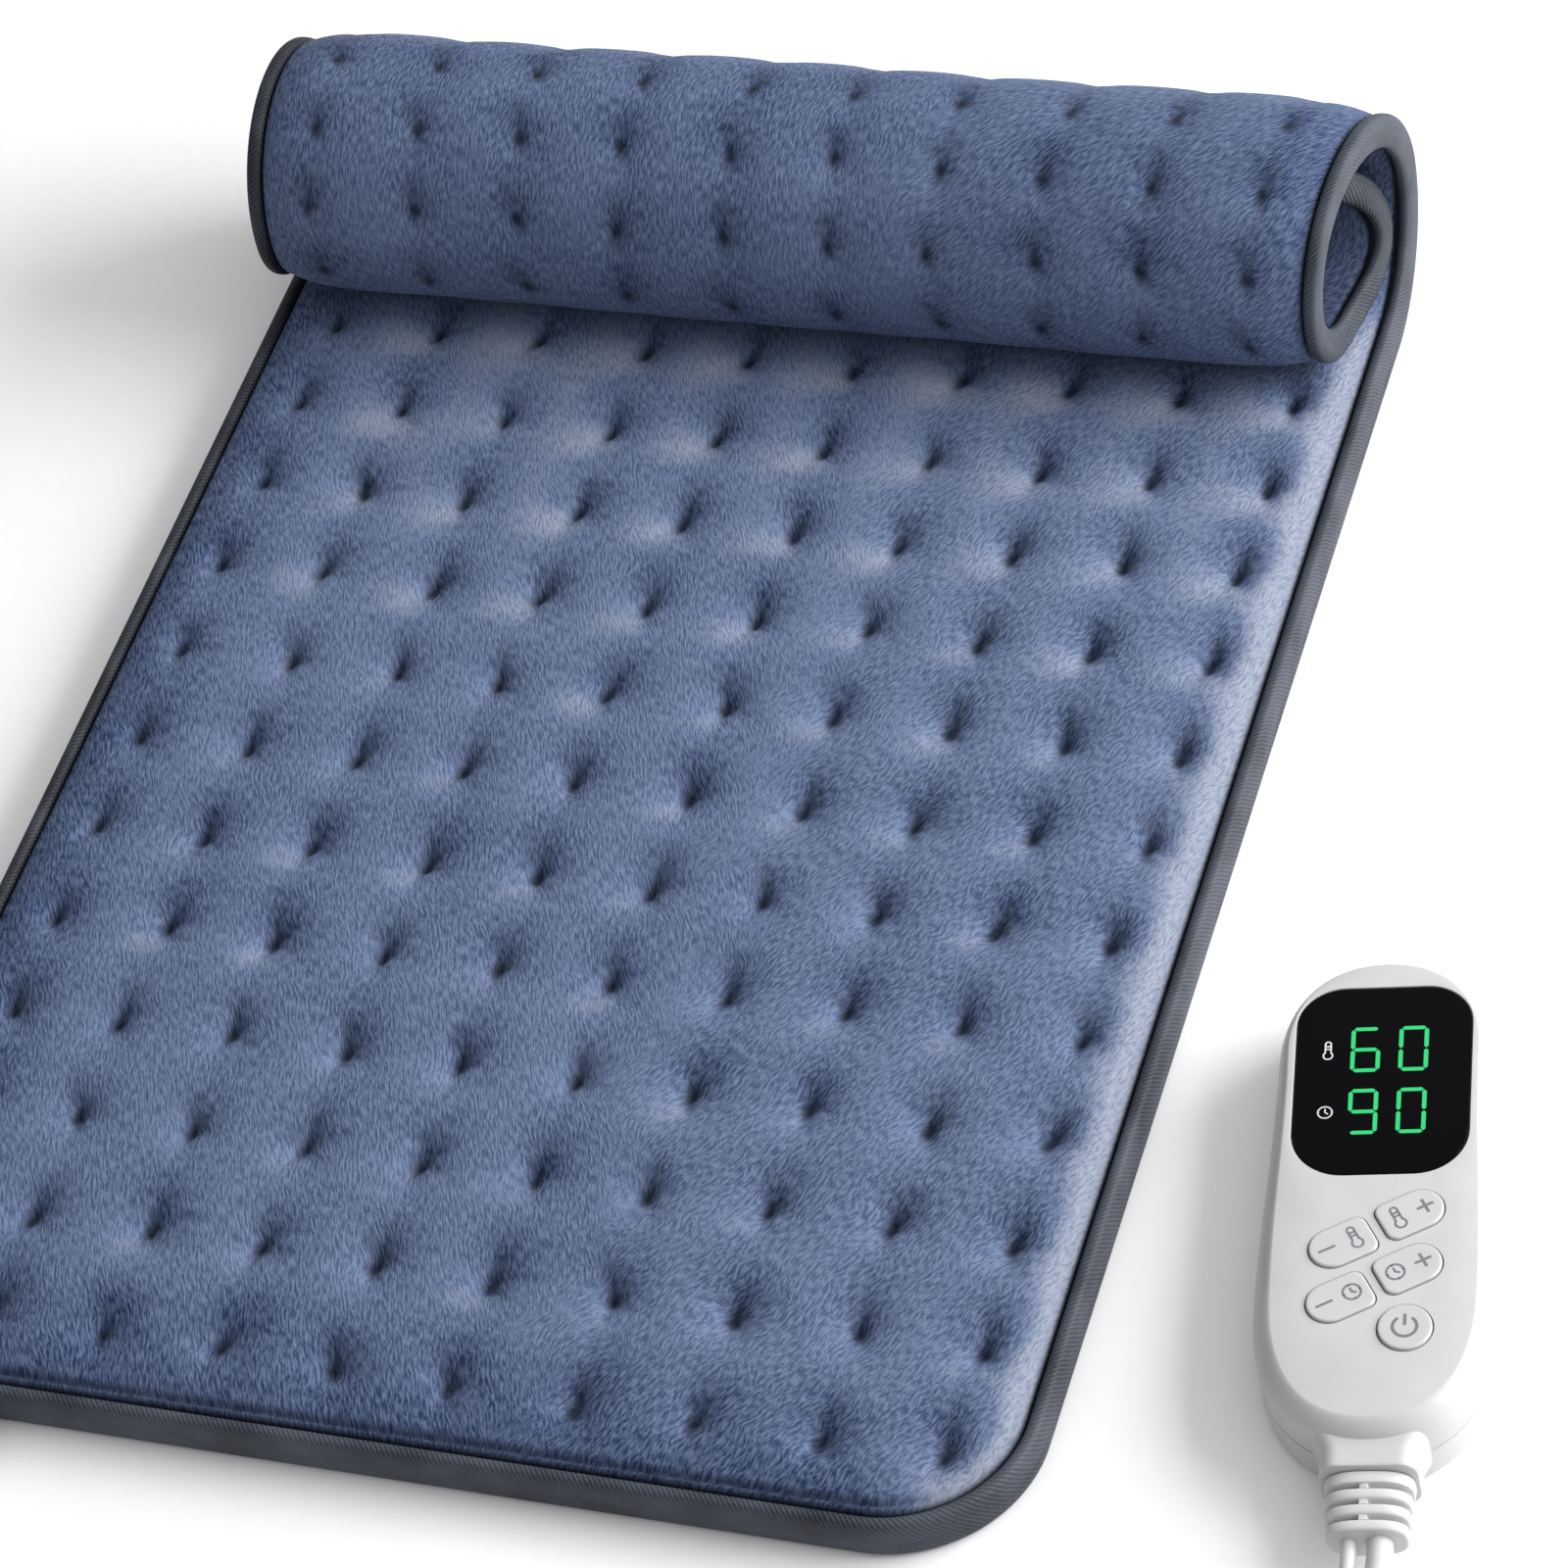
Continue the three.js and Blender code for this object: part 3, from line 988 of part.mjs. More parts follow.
// Pad lead: out of the controller, to the left past the pad's front edge, and up into the connector
const PAD_LEAD_ROUTE = [
  ...leaveCase(PAD_LEAD_X),
  [226.5, -209, 6.4], [222, -222, 3], [212, -233, PAD_LEAD_Z], [197, -239, PAD_LEAD_Z],
  [176, -238, PAD_LEAD_Z], [152, -238, PAD_LEAD_Z], [130, -247, PAD_LEAD_Z], [108, -259, PAD_LEAD_Z],
  [84, -262, PAD_LEAD_Z], [60, -255, PAD_LEAD_Z], [36, -249, PAD_LEAD_Z], [12, -254, PAD_LEAD_Z],
  [-12, -267, PAD_LEAD_Z], [-36, -279, PAD_LEAD_Z], [-60, -289, PAD_LEAD_Z], [-82, -292, 2.4],
  [-98, -286, 4], [-105.5, -274, 6],
].map((point) => (point.isVector3 ? point : new THREE.Vector3(...point)));

function padLeadRoute() {
  const enter = [CONNECTOR_END - 5, CONNECTOR_END + LEAD_SEAT - GAP]
    .map((y) => new THREE.Vector3(SOCKET_X, y, SOCKET_Z));
  return [...PAD_LEAD_ROUTE, ...enter];
}

// Coil: the turns spiral in and out by layers, and climb a layer in the half turn between two layers.
const TIE_LIFT = TIE_THICKNESS + 2 * GAP;
const COIL_LOW = TIE_LIFT + MAINS_LEAD / 2;
const COIL_OUTER = COIL_INNER + COIL_LAYER_TURNS * COIL_PITCH;

function coilPoint(turn) {
  const layer = Math.min(Math.floor(turn / COIL_LAYER_TURNS), COIL_LAYERS - 1);
  const within = turn - layer * COIL_LAYER_TURNS;
  const inwards = layer % 2 === 0;
  const radius = inwards ? COIL_OUTER - within * COIL_PITCH : COIL_INNER + within * COIL_PITCH;
  const climb = Array.from({ length: COIL_LAYERS - 1 }, (_, k) => {
    const reverse = (k + 1) * COIL_LAYER_TURNS;
    return THREE.MathUtils.smoothstep(turn, reverse - 0.25, reverse + 0.25);
  });
  const height = COIL_LOW + COIL_PITCH * climb.reduce((a, b) => a + b, 0);
  const angle = Math.PI + 2 * Math.PI * turn;
  return new THREE.Vector3(
    COIL_CENTRE.x + radius * Math.cos(angle), COIL_CENTRE.y + radius * Math.sin(angle), height);
}

const COIL_TURNS = COIL_LAYERS * COIL_LAYER_TURNS;
const COIL_TOP = COIL_LOW + (COIL_LAYERS - 1) * COIL_PITCH;
const COIL_PATH = Array.from(
  { length: COIL_TURNS * COIL_STEPS + 1 }, (_, k) => coilPoint(k / COIL_STEPS));

// Least gap of the coil to itself, between points at least half a turn apart along it.
function leastGap(path, apart, diameter) {
  let least = Infinity;
  path.forEach((p, i) => path.slice(i + apart).forEach((q) => {
    least = Math.min(least, p.distanceTo(q) - diameter);
  }));
  return least;
}

// Straight ends, one cord diameter long, so that the coil meets its free stretches square.
const beyond = (point, y) => point.clone().add(new THREE.Vector3(0, y, 0));
const COIL_ENTRY = beyond(COIL_PATH[0], MAINS_LEAD);
const COIL_EXIT = beyond(COIL_PATH[COIL_PATH.length - 1], -MAINS_LEAD);
const COIL_ROUTE = [COIL_ENTRY, ...COIL_PATH, COIL_EXIT];

// Mains lead from the controller to the coil
const MAINS_ROUTE = [
  ...leaveCase(MAINS_LEAD_X),
  [232.5, -212, 7.2], [230.5, -226, 5.2], [226.5, -240, COIL_LOW],
  beyond(COIL_ENTRY, MAINS_LEAD), beyond(COIL_ENTRY, GAP),
].map((point) => (point.isVector3 ? point : new THREE.Vector3(...point)));

// Mains lead from the top of the coil, down beside it to the plug
const PLUG_Z = PLUG.z / 2 + FLOOR_LIFT;
const TAIL_DROP = [[226, -290, 0.6], [236, -306, 3.4], [254, -317, 8], [275, -320, 12.6]]; // x, y and fall
const TAIL_ROUTE = [
  beyond(COIL_EXIT, -GAP), beyond(COIL_EXIT, -MAINS_LEAD),
  ...TAIL_DROP.map(([x, y, fall]) => [x, y, COIL_TOP - fall]),
  [296, -313, PLUG_Z], [312, -300, PLUG_Z], [322, -282, PLUG_Z],
  [PLUG_PLACE.x, PLUG_PLACE.y - MAINS_LEAD, PLUG_Z], [PLUG_PLACE.x, PLUG_PLACE.y + LEAD_SEAT - GAP, PLUG_Z],
].map((point) => (point.isVector3 ? point : new THREE.Vector3(...point)));

// Hook-and-loop tie round the coil's turns, on the side away from the controller
function cordTie() {
  const inner = COIL_INNER - MAINS_LEAD / 2 - 2 * GAP;
  const outer = COIL_OUTER + MAINS_LEAD / 2 + 2 * GAP;
  const high = COIL_TOP + MAINS_LEAD / 2 + 2 * GAP;
  const middle = TIE_THICKNESS + FLOOR_LIFT;
  const wide = outer - inner;
  const tall = high - middle;
  const outside = roundedRectangle(wide + 2 * TIE_THICKNESS, tall + 2 * TIE_THICKNESS, TIE_CORNER);
  const inside = roundedRectangle(wide, tall, TIE_CORNER - TIE_THICKNESS);
  const band = cut(
    bar(outside, -TIE_WIDTH / 2, TIE_WIDTH / 2, 0, 0), bar(inside, -TIE_WIDTH, TIE_WIDTH, 0, 0));
  return band.translate(COIL_CENTRE.x + (inner + outer) / 2, COIL_CENTRE.y, middle + tall / 2);
}

function plugBody() {
  const { x, y } = PLUG_PLACE;
  const loop = (width, height, along) => ovalLoop(width, height, y + along, x, PLUG_Z);
  const body = skin([
    loop(PLUG_TAIL_WIDTH - PLUG_TAIL_SWELL, PLUG_TAIL_WIDTH - PLUG_TAIL_SWELL, 0),
    loop(PLUG_TAIL_WIDTH + PLUG_TAIL_SWELL, PLUG_TAIL_WIDTH, PLUG_TAIL - 2 * PLUG_TAIL_SWELL),
    ...PLUG_SHOULDER.map(([narrower, lower, along]) =>
      loop(PLUG.x - narrower, PLUG.z - lower, PLUG_TAIL + along)),
    loop(PLUG.x, PLUG.z, PLUG_TAIL + PLUG.y - PLUG_EDGE.y),
    loop(PLUG.x - PLUG_EDGE.x, PLUG.z - PLUG_EDGE.x, PLUG_TAIL + PLUG.y),
  ]);
  const bore = rod(MAINS_LEAD / 2 + GAP, x, PLUG_Z, y - OVERRUN, y + LEAD_SEAT, 12);
  const rings = PLUG_TAIL_RINGS.map((share) => {
    const middle = y + share * PLUG_TAIL;
    return cut(
      rod(PLUG_TAIL_WIDTH, x, PLUG_Z, middle - PLUG_RING.x / 2, middle + PLUG_RING.x / 2, 16),
      rod(PLUG_TAIL_WIDTH / 2 - PLUG_RING.y, x, PLUG_Z, y, y + PLUG_TAIL, 16));
  });
  return cut(body, bore, ...rings, ...[-1, 1].map((side) => bladeBlock(side, GAP)));
}

function bladeBlock(side, clearance) {
  const x = PLUG_PLACE.x + (side * BLADE_PITCH) / 2;
  const face = PLUG_PLACE.y + PLUG_TAIL + PLUG.y;
  return block([x - BLADE.x / 2 - clearance, face - BLADE_SEAT - clearance, PLUG_Z - BLADE.z / 2 - clearance],
    [x + BLADE.x / 2 + clearance, face + BLADE.y, PLUG_Z + BLADE.z / 2 + clearance]);
}

// Blade with its two front corners cut off
function plugBlade(side) {
  const tip = PLUG_PLACE.y + PLUG_TAIL + PLUG.y + BLADE.y;
  const x = PLUG_PLACE.x + (side * BLADE_PITCH) / 2;
  const corner = (z) => new THREE.BoxGeometry(3 * BLADE.x, BLADE_CORNER, BLADE_CORNER)
    .rotateX(Math.PI / 4).translate(x, tip, z);
  return cut(bladeBlock(side, 0), corner(PLUG_Z + BLADE.z / 2), corner(PLUG_Z - BLADE.z / 2));
}

// Assembly

const heatingPad = new THREE.Group();
const controller = new THREE.Group();
controller.position.copy(CASE_PLACE);
controller.rotation.z = CASE_TURN;
heatingPad.add(controller);

function addPiece(group, name, geometry, material) {
  const mesh = new THREE.Mesh(geometry, material);
  mesh.name = name;
  group.add(mesh);
}

const topCover = cover(TOPSIDE, TOP_INNER, TUFT_ROWS, COVER_INSET + 2, CREASE_RUN, 2);
const bottomCover = cover(UNDERSIDE, BOTTOM_INNER, ROLL_ROWS, FLAT_RUN + 1, ROLL_FRONT_RUN, 3);
addPiece(heatingPad, 'top_cover', topCover, plush);
addPiece(heatingPad, 'bottom_cover', bottomCover, plush);
addPiece(heatingPad, 'edge_binding', edgeBinding(), twill);
addPiece(heatingPad, 'wire_carrier', carrierSheet(), felt);
addPiece(heatingPad, 'heating_wire', heatingWire(), redWire);
[1, 2].forEach((k) => {
  const runs = wirePlan().map(({ y }) => y);
  const between = (runs[2 * k + 1] + runs[2 * k + 3]) / 2;
  addPiece(heatingPad, `thermal_cutout_${k}`, thermalCutout(between), blueSleeve);
});
addPiece(heatingPad, 'pad_socket', padSocket(), blackPlastic);
for (let k = 0; k < PIN_COUNT; k += 1) {
  addPiece(heatingPad, `socket_pin_${k + 1}`, socketPin(k), brass);
}
addPiece(heatingPad, 'lead_connector', leadConnector(), whiteVinyl);

addPiece(controller, 'rear_shell', rearShell(), whiteAbs);
addPiece(controller, 'front_shell', frontShell(), whiteAbs);
addPiece(controller, 'display_window', displayWindow(), blackGloss);
addPiece(controller, 'display_module', displayModule(), greyModule);
addPiece(controller, 'circuit_board', circuitBoard(), greenBoard);
BUTTONS.forEach((button) => {
  addPiece(controller, `${button.name}_button`, pushButton(button), whiteAbs);
  addPiece(controller, `${button.name}_switch`, switchBody(button), blackPlastic);
  addPiece(controller, `${button.name}_plunger`, switchPlunger(button), greyModule);
});
SCREWS.forEach((place, k) => addPiece(controller, `case_screw_${k + 1}`, caseScrew(place), steel));
addPiece(controller, 'triac', triac(), blackPlastic);
addPiece(controller, 'film_capacitor', underBoard(FILM_CAPACITOR, ...FILM_PLACE), yellowFilm);
const electrolytic = cylinderUnderBoard(ELECTROLYTIC, ...ELECTROLYTIC_PLACE);
addPiece(controller, 'electrolytic_capacitor', electrolytic, blueSleeve);
addPiece(controller, 'fuse', cylinderUnderBoard(FUSE, ...FUSE_PLACE), glassTube);
addPiece(controller, 'strain_relief', strainRelief(), whiteVinyl);

addPiece(heatingPad, 'pad_lead', cordTube(padLeadRoute(), PAD_LEAD, 3 * PAD_LEAD), whiteVinyl);
addPiece(heatingPad, 'mains_lead', cordTube(MAINS_ROUTE, MAINS_LEAD, 1.5 * MAINS_LEAD), whiteVinyl);
addPiece(heatingPad, 'mains_coil', sweepTube(COIL_ROUTE, MAINS_LEAD / 2, COIL_SIDES), whiteVinyl);
addPiece(heatingPad, 'mains_tail', cordTube(TAIL_ROUTE, MAINS_LEAD, 2 * MAINS_LEAD), whiteVinyl);
addPiece(heatingPad, 'cord_tie', cordTie(), blackPlastic);
addPiece(heatingPad, 'plug_body', plugBody(), whiteVinyl);
[-1, 1].forEach((side, k) => addPiece(heatingPad, `plug_blade_${k + 1}`, plugBlade(side), brass));

const coilGap = leastGap(COIL_ROUTE, COIL_STEPS / 2, MAINS_LEAD);
console.log(`mains_coil: least gap to itself ${coilGap.toFixed(2)} mm`);

export default heatingPad;
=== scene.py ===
# Heating pad with a corded hand controller: a tufted plush pad, rolled up at its far end, with a
# bound edge and a plug-in lead, and a white controller with a display and five push buttons.
import math
from functools import partial

import bmesh
import bpy
import numpy as np
from bpy.props import FloatProperty, FloatVectorProperty, IntProperty, PointerProperty
from mathutils import Matrix
from mathutils.geometry import delaunay_2d_cdt


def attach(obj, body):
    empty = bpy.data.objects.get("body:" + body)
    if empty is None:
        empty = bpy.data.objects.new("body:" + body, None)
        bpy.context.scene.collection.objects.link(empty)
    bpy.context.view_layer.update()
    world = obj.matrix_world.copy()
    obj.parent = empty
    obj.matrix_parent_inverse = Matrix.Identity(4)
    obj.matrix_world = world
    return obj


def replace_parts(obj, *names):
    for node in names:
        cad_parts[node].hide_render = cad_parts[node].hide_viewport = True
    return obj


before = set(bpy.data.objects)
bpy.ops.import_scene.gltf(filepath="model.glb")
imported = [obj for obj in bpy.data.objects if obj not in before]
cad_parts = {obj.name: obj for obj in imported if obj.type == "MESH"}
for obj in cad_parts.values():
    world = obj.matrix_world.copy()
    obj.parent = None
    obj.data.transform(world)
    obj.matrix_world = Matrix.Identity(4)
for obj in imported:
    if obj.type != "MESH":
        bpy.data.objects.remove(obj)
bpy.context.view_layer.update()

bl_info = {
    "name": "Heating pad with controller",
    "version": (1, 0, 0),
    "blender": (4, 5, 0),
    "location": "View3D > Sidebar > Heating pad",
    "description": "Builds a rolled heating pad, its hand controller and its leads around a packed frame",
    "category": "Object",
}

# Lengths are in millimetres, apart from those of the stage, which are in metres
MM = 0.001
BODY = "pad_and_case"
GAP = 0.3  # between pieces that seat on each other
WELD = 0.002  # between points that become one
SEED = 20
QUARTER = math.pi / 2
CORNER_POINTS = 24


def linear(text):
    """Turns an sRGB hex colour into linear red, green and blue."""
    values = np.array([int(text[k:k + 2], 16) for k in (1, 3, 5)]) / 255
    curve = np.where(values <= 0.04045, values / 12.92, ((values + 0.055) / 1.055) ** 2.4)
    return tuple(float(v) for v in curve)


def rgba(colour):
    """Four channels for a node, from a hex colour or from a setting that is linear already."""
    return (*(linear(colour) if isinstance(colour, str) else colour), 1.0)


def length_property(name, description, millimetres):
    return FloatProperty(name=name, description=description, default=millimetres * MM,
                         min=0, unit="LENGTH", precision=4)


def colour_property(name, description, text):
    return FloatVectorProperty(name=name, description=description, default=linear(text),
                               size=3, min=0, max=1, subtype="COLOR")


class HeatingPadSettings(bpy.types.PropertyGroup):
    """Sizes and colours of the pad."""

    width: length_property("Width", "Across the pad, outside the binding", 305)
    length: length_property("Length", "Along the pad, unrolled", 610)
    thickness: length_property("Thickness", "Through both covers", 14)
    corner: length_property("Corner radius", "At the outside of the binding", 35)
    binding: length_property("Binding width", "How far the tape reaches in over the covers", 4.2)
    roll_radius: length_property("Roll radius", "Outside of the outer turn", 37)
    tuft_pitch: length_property("Tuft pitch", "From one tuft to the next", 30)
    under_pitch: length_property("Underside row pitch", "From one row of tufts to the next, below", 22.8)
    bowl_depth: length_property("Bowl depth", "Depth of the soft bowl round a tuft", 2.5)
    slit_depth: length_property("Slit depth", "Depth of the tuft's own slit below the bowl", 2.2)
    # The nap's two tones, mixed by its grain and random patches, and also by the painted light and shade
    plush_dark: colour_property("Plush, nap away", "Where the nap leans away from the light", "#10244a")
    plush_light: colour_property("Plush, nap towards", "Where the nap leans towards the light", "#677694")
    # Colour of the painted highlight on faces that tip towards the light
    plush_highlight: colour_property("Plush, nap on end", "Where the face tips the way it is combed", "#9a9eaa")
    tape_dark: colour_property("Binding, between ribs", "Shaded side of the twill ribs", "#13171f")
    tape_light: colour_property("Binding, on ribs", "Crown of the twill ribs", "#474c57")


class ControllerSettings(bpy.types.PropertyGroup):
    """Sizes and colours of the hand controller."""

    length: length_property("Length", "From the neck to the display end", 134)
    width: length_property("Width", "At its widest", 54.4)
    top_width: length_property("Display end width", "Across the straight sides of the display", 49.4)
    height: length_property("Height", "From its back to its front panel", 21)
    button_proud: length_property("Button height", "How far a button stands above the panel", 0.6)
    turn: FloatProperty(name="Turn", description="How far the controller lies turned on the table",
                        default=math.radians(11), subtype="ANGLE")
    upper_number: IntProperty(name="Upper number", description="Shown beside the thermometer",
                              default=60, min=0, max=99)
    lower_number: IntProperty(name="Lower number", description="Shown beside the clock",
                              default=90, min=0, max=99)
    shell: colour_property("Shell", "Moulded front and rear shells", "#bcbbbd")
    sign: colour_property("Printed signs", "Signs on the buttons", "#74767a")
    digits: colour_property("Digits", "Lit segments of the display", "#17e27c")


class LeadSettings(bpy.types.PropertyGroup):
    """Sizes and colours of the leads."""

    pad_lead: length_property("Pad lead", "Diameter of the lead to the pad", 3.6)
    mains_lead: length_property("Mains lead", "Diameter of the lead to the plug", 6)
    vinyl: colour_property("Vinyl", "Leads, strain relief, connector and plug", "#c9c8c7")


class StageSettings(bpy.types.PropertyGroup):
    """Light and floor."""

    floor: colour_property("Floor", "Paper under the object", "#f7f7f8")
    key: FloatProperty(name="Key light", description="Power of the window light", default=44,
                       min=0, unit="POWER")
    fill: FloatProperty(name="Surrounding light", description="Strength of the white room",
                        default=0.52, min=0)


# Meshes. Places are worked out in millimetres, and put into the mesh in metres.

def skin(rings, closed=False, capped=True):
    """A skin over rings of points, an array of rings by points by xyz: quads between neighbouring
    points and rings, and a flat cap on the first and last ring unless the row of rings closes."""
    rings = np.asarray(rings, dtype=float)
    rows, columns, _ = rings.shape
    r = np.arange(rows if closed else rows - 1)[:, None]
    c = np.arange(columns)[None, :]
    r2 = (r + 1) % rows
    c2 = (c + 1) % columns
    corners = [r * columns + c, r * columns + c2, r2 * columns + c2, r2 * columns + c]
    faces = np.stack(corners, axis=-1).reshape(-1, 4).tolist()
    if capped and not closed:
        faces.append(list(range(columns))[::-1])
        faces.append(list(range((rows - 1) * columns, rows * columns)))
    return rings.reshape(-1, 3), faces


def wall(rings):
    """A skin that is left open at both ends."""
    return skin(rings, capped=False)


def volume(points, faces):
    """Six times the signed volume inside a closed skin, summed over the fans of its faces."""
    total = 0.0
    for size in {len(f) for f in faces}:
        corners = points[np.array([f for f in faces if len(f) == size])]
        for k in range(1, size - 1):
            total += np.einsum("ij,ij->i", corners[:, 0],
                               np.cross(corners[:, k], corners[:, k + 1])).sum()
    return total


def make_piece(name, skins, material, sharp=None, weld=False, body=BODY):
    """Makes an object at the origin from one or more skins, with faces outwards. Edges that turn by
    more than a number of degrees are sharp, and open skins are welded into one."""
    points, faces = [], []
    count = 0
    for skin_points, skin_faces in skins:
        inside_out = not weld and volume(skin_points, skin_faces) < 0
        faces += [[count + k for k in (f[::-1] if inside_out else f)] for f in skin_faces]
        points.append(skin_points)
        count += len(skin_points)
    mesh = bpy.data.meshes.new(name)
    mesh.from_pydata((np.concatenate(points) * MM).tolist(), [], faces)
    if weld:
        work = bmesh.new()
        work.from_mesh(mesh)
        bmesh.ops.remove_doubles(work, verts=work.verts, dist=WELD * MM)
        bmesh.ops.recalc_face_normals(work, faces=work.faces)
        work.to_mesh(mesh)
        work.free()
    mesh.shade_smooth()
    if sharp is not None:
        mesh.set_sharp_from_angle(angle=math.radians(sharp))
    mesh.materials.append(material)
    piece = bpy.data.objects.new(name, mesh)
    bpy.context.scene.collection.objects.link(piece)
    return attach(piece, body)


def give_uv(piece, uv, period=None):
    """Gives each face corner its point's pair of lengths, in metres. Along a closed direction the
    pair is moved by whole turns, so that no face runs backwards over the join."""
    mesh = piece.data
    corner = np.empty(len(mesh.loops), dtype=np.int32)
    mesh.loops.foreach_get("vertex_index", corner)
    pairs = uv.reshape(-1, 2)[corner]
    if period is not None:
        start, size = np.empty((2, len(mesh.polygons)), dtype=np.int32)
        mesh.polygons.foreach_get("loop_start", start)
        mesh.polygons.foreach_get("loop_total", size)
        first = np.repeat(pairs[start], size, axis=0)
        pairs = pairs - np.round((pairs - first) / period) * period
    layer = mesh.uv_layers.new(name="cloth")
    layer.uv.foreach_set("vector", (pairs * MM).astype(np.float32).ravel())


def give_value(piece, name, values):
    layer = piece.data.attributes.new(name, "FLOAT", "POINT")
    layer.data.foreach_set("value", np.asarray(values, dtype=np.float32).ravel())


# Lines and sections

def signed_power(value, power):
    return np.sign(value) * np.abs(value) ** power


def smooth(low, high, value):
    """Zero up to low and one from high, with an S-shaped rise between: 3 t squared less 2 t cubed."""
    t = np.clip((value - low) / (high - low), 0, 1)
    return t * t * (3 - 2 * t)


def bell(*shares):
    """One in the middle, falling off as a bell curve. A share is a distance over a half width."""
    return np.exp(-sum(share ** 2 for share in shares) / 2)


def arc(radius, start, end, x=0.0, y=0.0, count=48):
    angle = np.linspace(start, end, count)
    return np.stack([x + radius * np.cos(angle), y + radius * np.sin(angle)], axis=-1)


def circle(radius, x=0.0, y=0.0, count=40):
    return arc(radius, 0, 4 * QUARTER, x, y, count + 1)[:-1]


def oval(width, height, count=64, power=0.72):
    """Points of a squared oval: half width times cosine and half height times sine, each raised to
    a power below one."""
    return signed_power(circle(1, count=count), power) * [width / 2, height / 2]


def run_along(points):
    """Length along a line of points, up to each of them."""
    return np.concatenate([[0], np.cumsum(np.linalg.norm(np.diff(points, axis=0), axis=1))])


def even_steps(outline, count):
    """The same closed outline, by a number of even steps."""
    closed = np.concatenate([outline, outline[:1]])
    lengths = run_along(closed)
    at = np.arange(count) * lengths[-1] / count
    return np.stack([np.interp(at, lengths, closed[:, k]) for k in (0, 1)], axis=-1)


def left_of(points, closed=True):
    """The unit way to the left of a line at each of its points: the way from the point before to
    the point after, turned by a quarter."""
    if closed:
        along = np.roll(points, -1, axis=0) - np.roll(points, 1, axis=0)
    else:
        along = np.gradient(points, axis=0)
    along = along / np.linalg.norm(along, axis=1, keepdims=True)
    return np.stack([-along[:, 1], along[:, 0]], axis=-1)


def turned(points, angle):
    """Points turned about the upright axis."""
    c, s = math.cos(angle), math.sin(angle)
    return np.concatenate([points[:, :2] @ np.array([[c, s], [-s, c]]), points[:, 2:]], axis=1)


def at_height(outline, z):
    return np.concatenate([outline, np.full((len(outline), 1), float(z))], axis=1)


def upright(section, y, x, z):
    """A section of x and z, stood up at a place along y."""
    return np.stack([x + section[:, 0], np.full(len(section), y), z + section[:, 1]], axis=-1)


def rounded_rectangle(width, height, top, bottom=None, count=96):
    """Points round a rectangle with rounded corners, by even steps."""
    bottom = top if bottom is None else bottom
    corners = [(1, 1, top), (-1, 1, top), (-1, -1, bottom), (1, -1, bottom)]
    arcs = [arc(radius, k * QUARTER, (k + 1) * QUARTER,
                x * (width / 2 - radius), y * (height / 2 - radius), CORNER_POINTS)
            for k, (x, y, radius) in enumerate(corners)]
    return even_steps(np.concatenate(arcs), count)


# Materials

def feed(node, links):
    """Sets a node's inputs, each to a value or to the output that it takes."""
    for key, value in links.items():
        if isinstance(value, bpy.types.NodeSocket):
            node.id_data.links.new(value, node.inputs[key])
        else:
            node.inputs[key].default_value = value


def add(tree, kind, links=None, out=0, **settings):
    """Adds a node with its settings and links, and gives back one of its outputs."""
    node = tree.nodes.new(kind)
    for key, value in settings.items():
        setattr(node, key, value)
    feed(node, links or {})
    return node.outputs[out]


def new_material(name, **constants):
    """A material with one shader, whose constant values are set on its own sockets."""
    material = bpy.data.materials.new(name)
    material.use_nodes = True
    shader = material.node_tree.nodes["Principled BSDF"]
    feed(shader, {key.replace("_", " "): value for key, value in constants.items()})
    return material, material.node_tree, shader


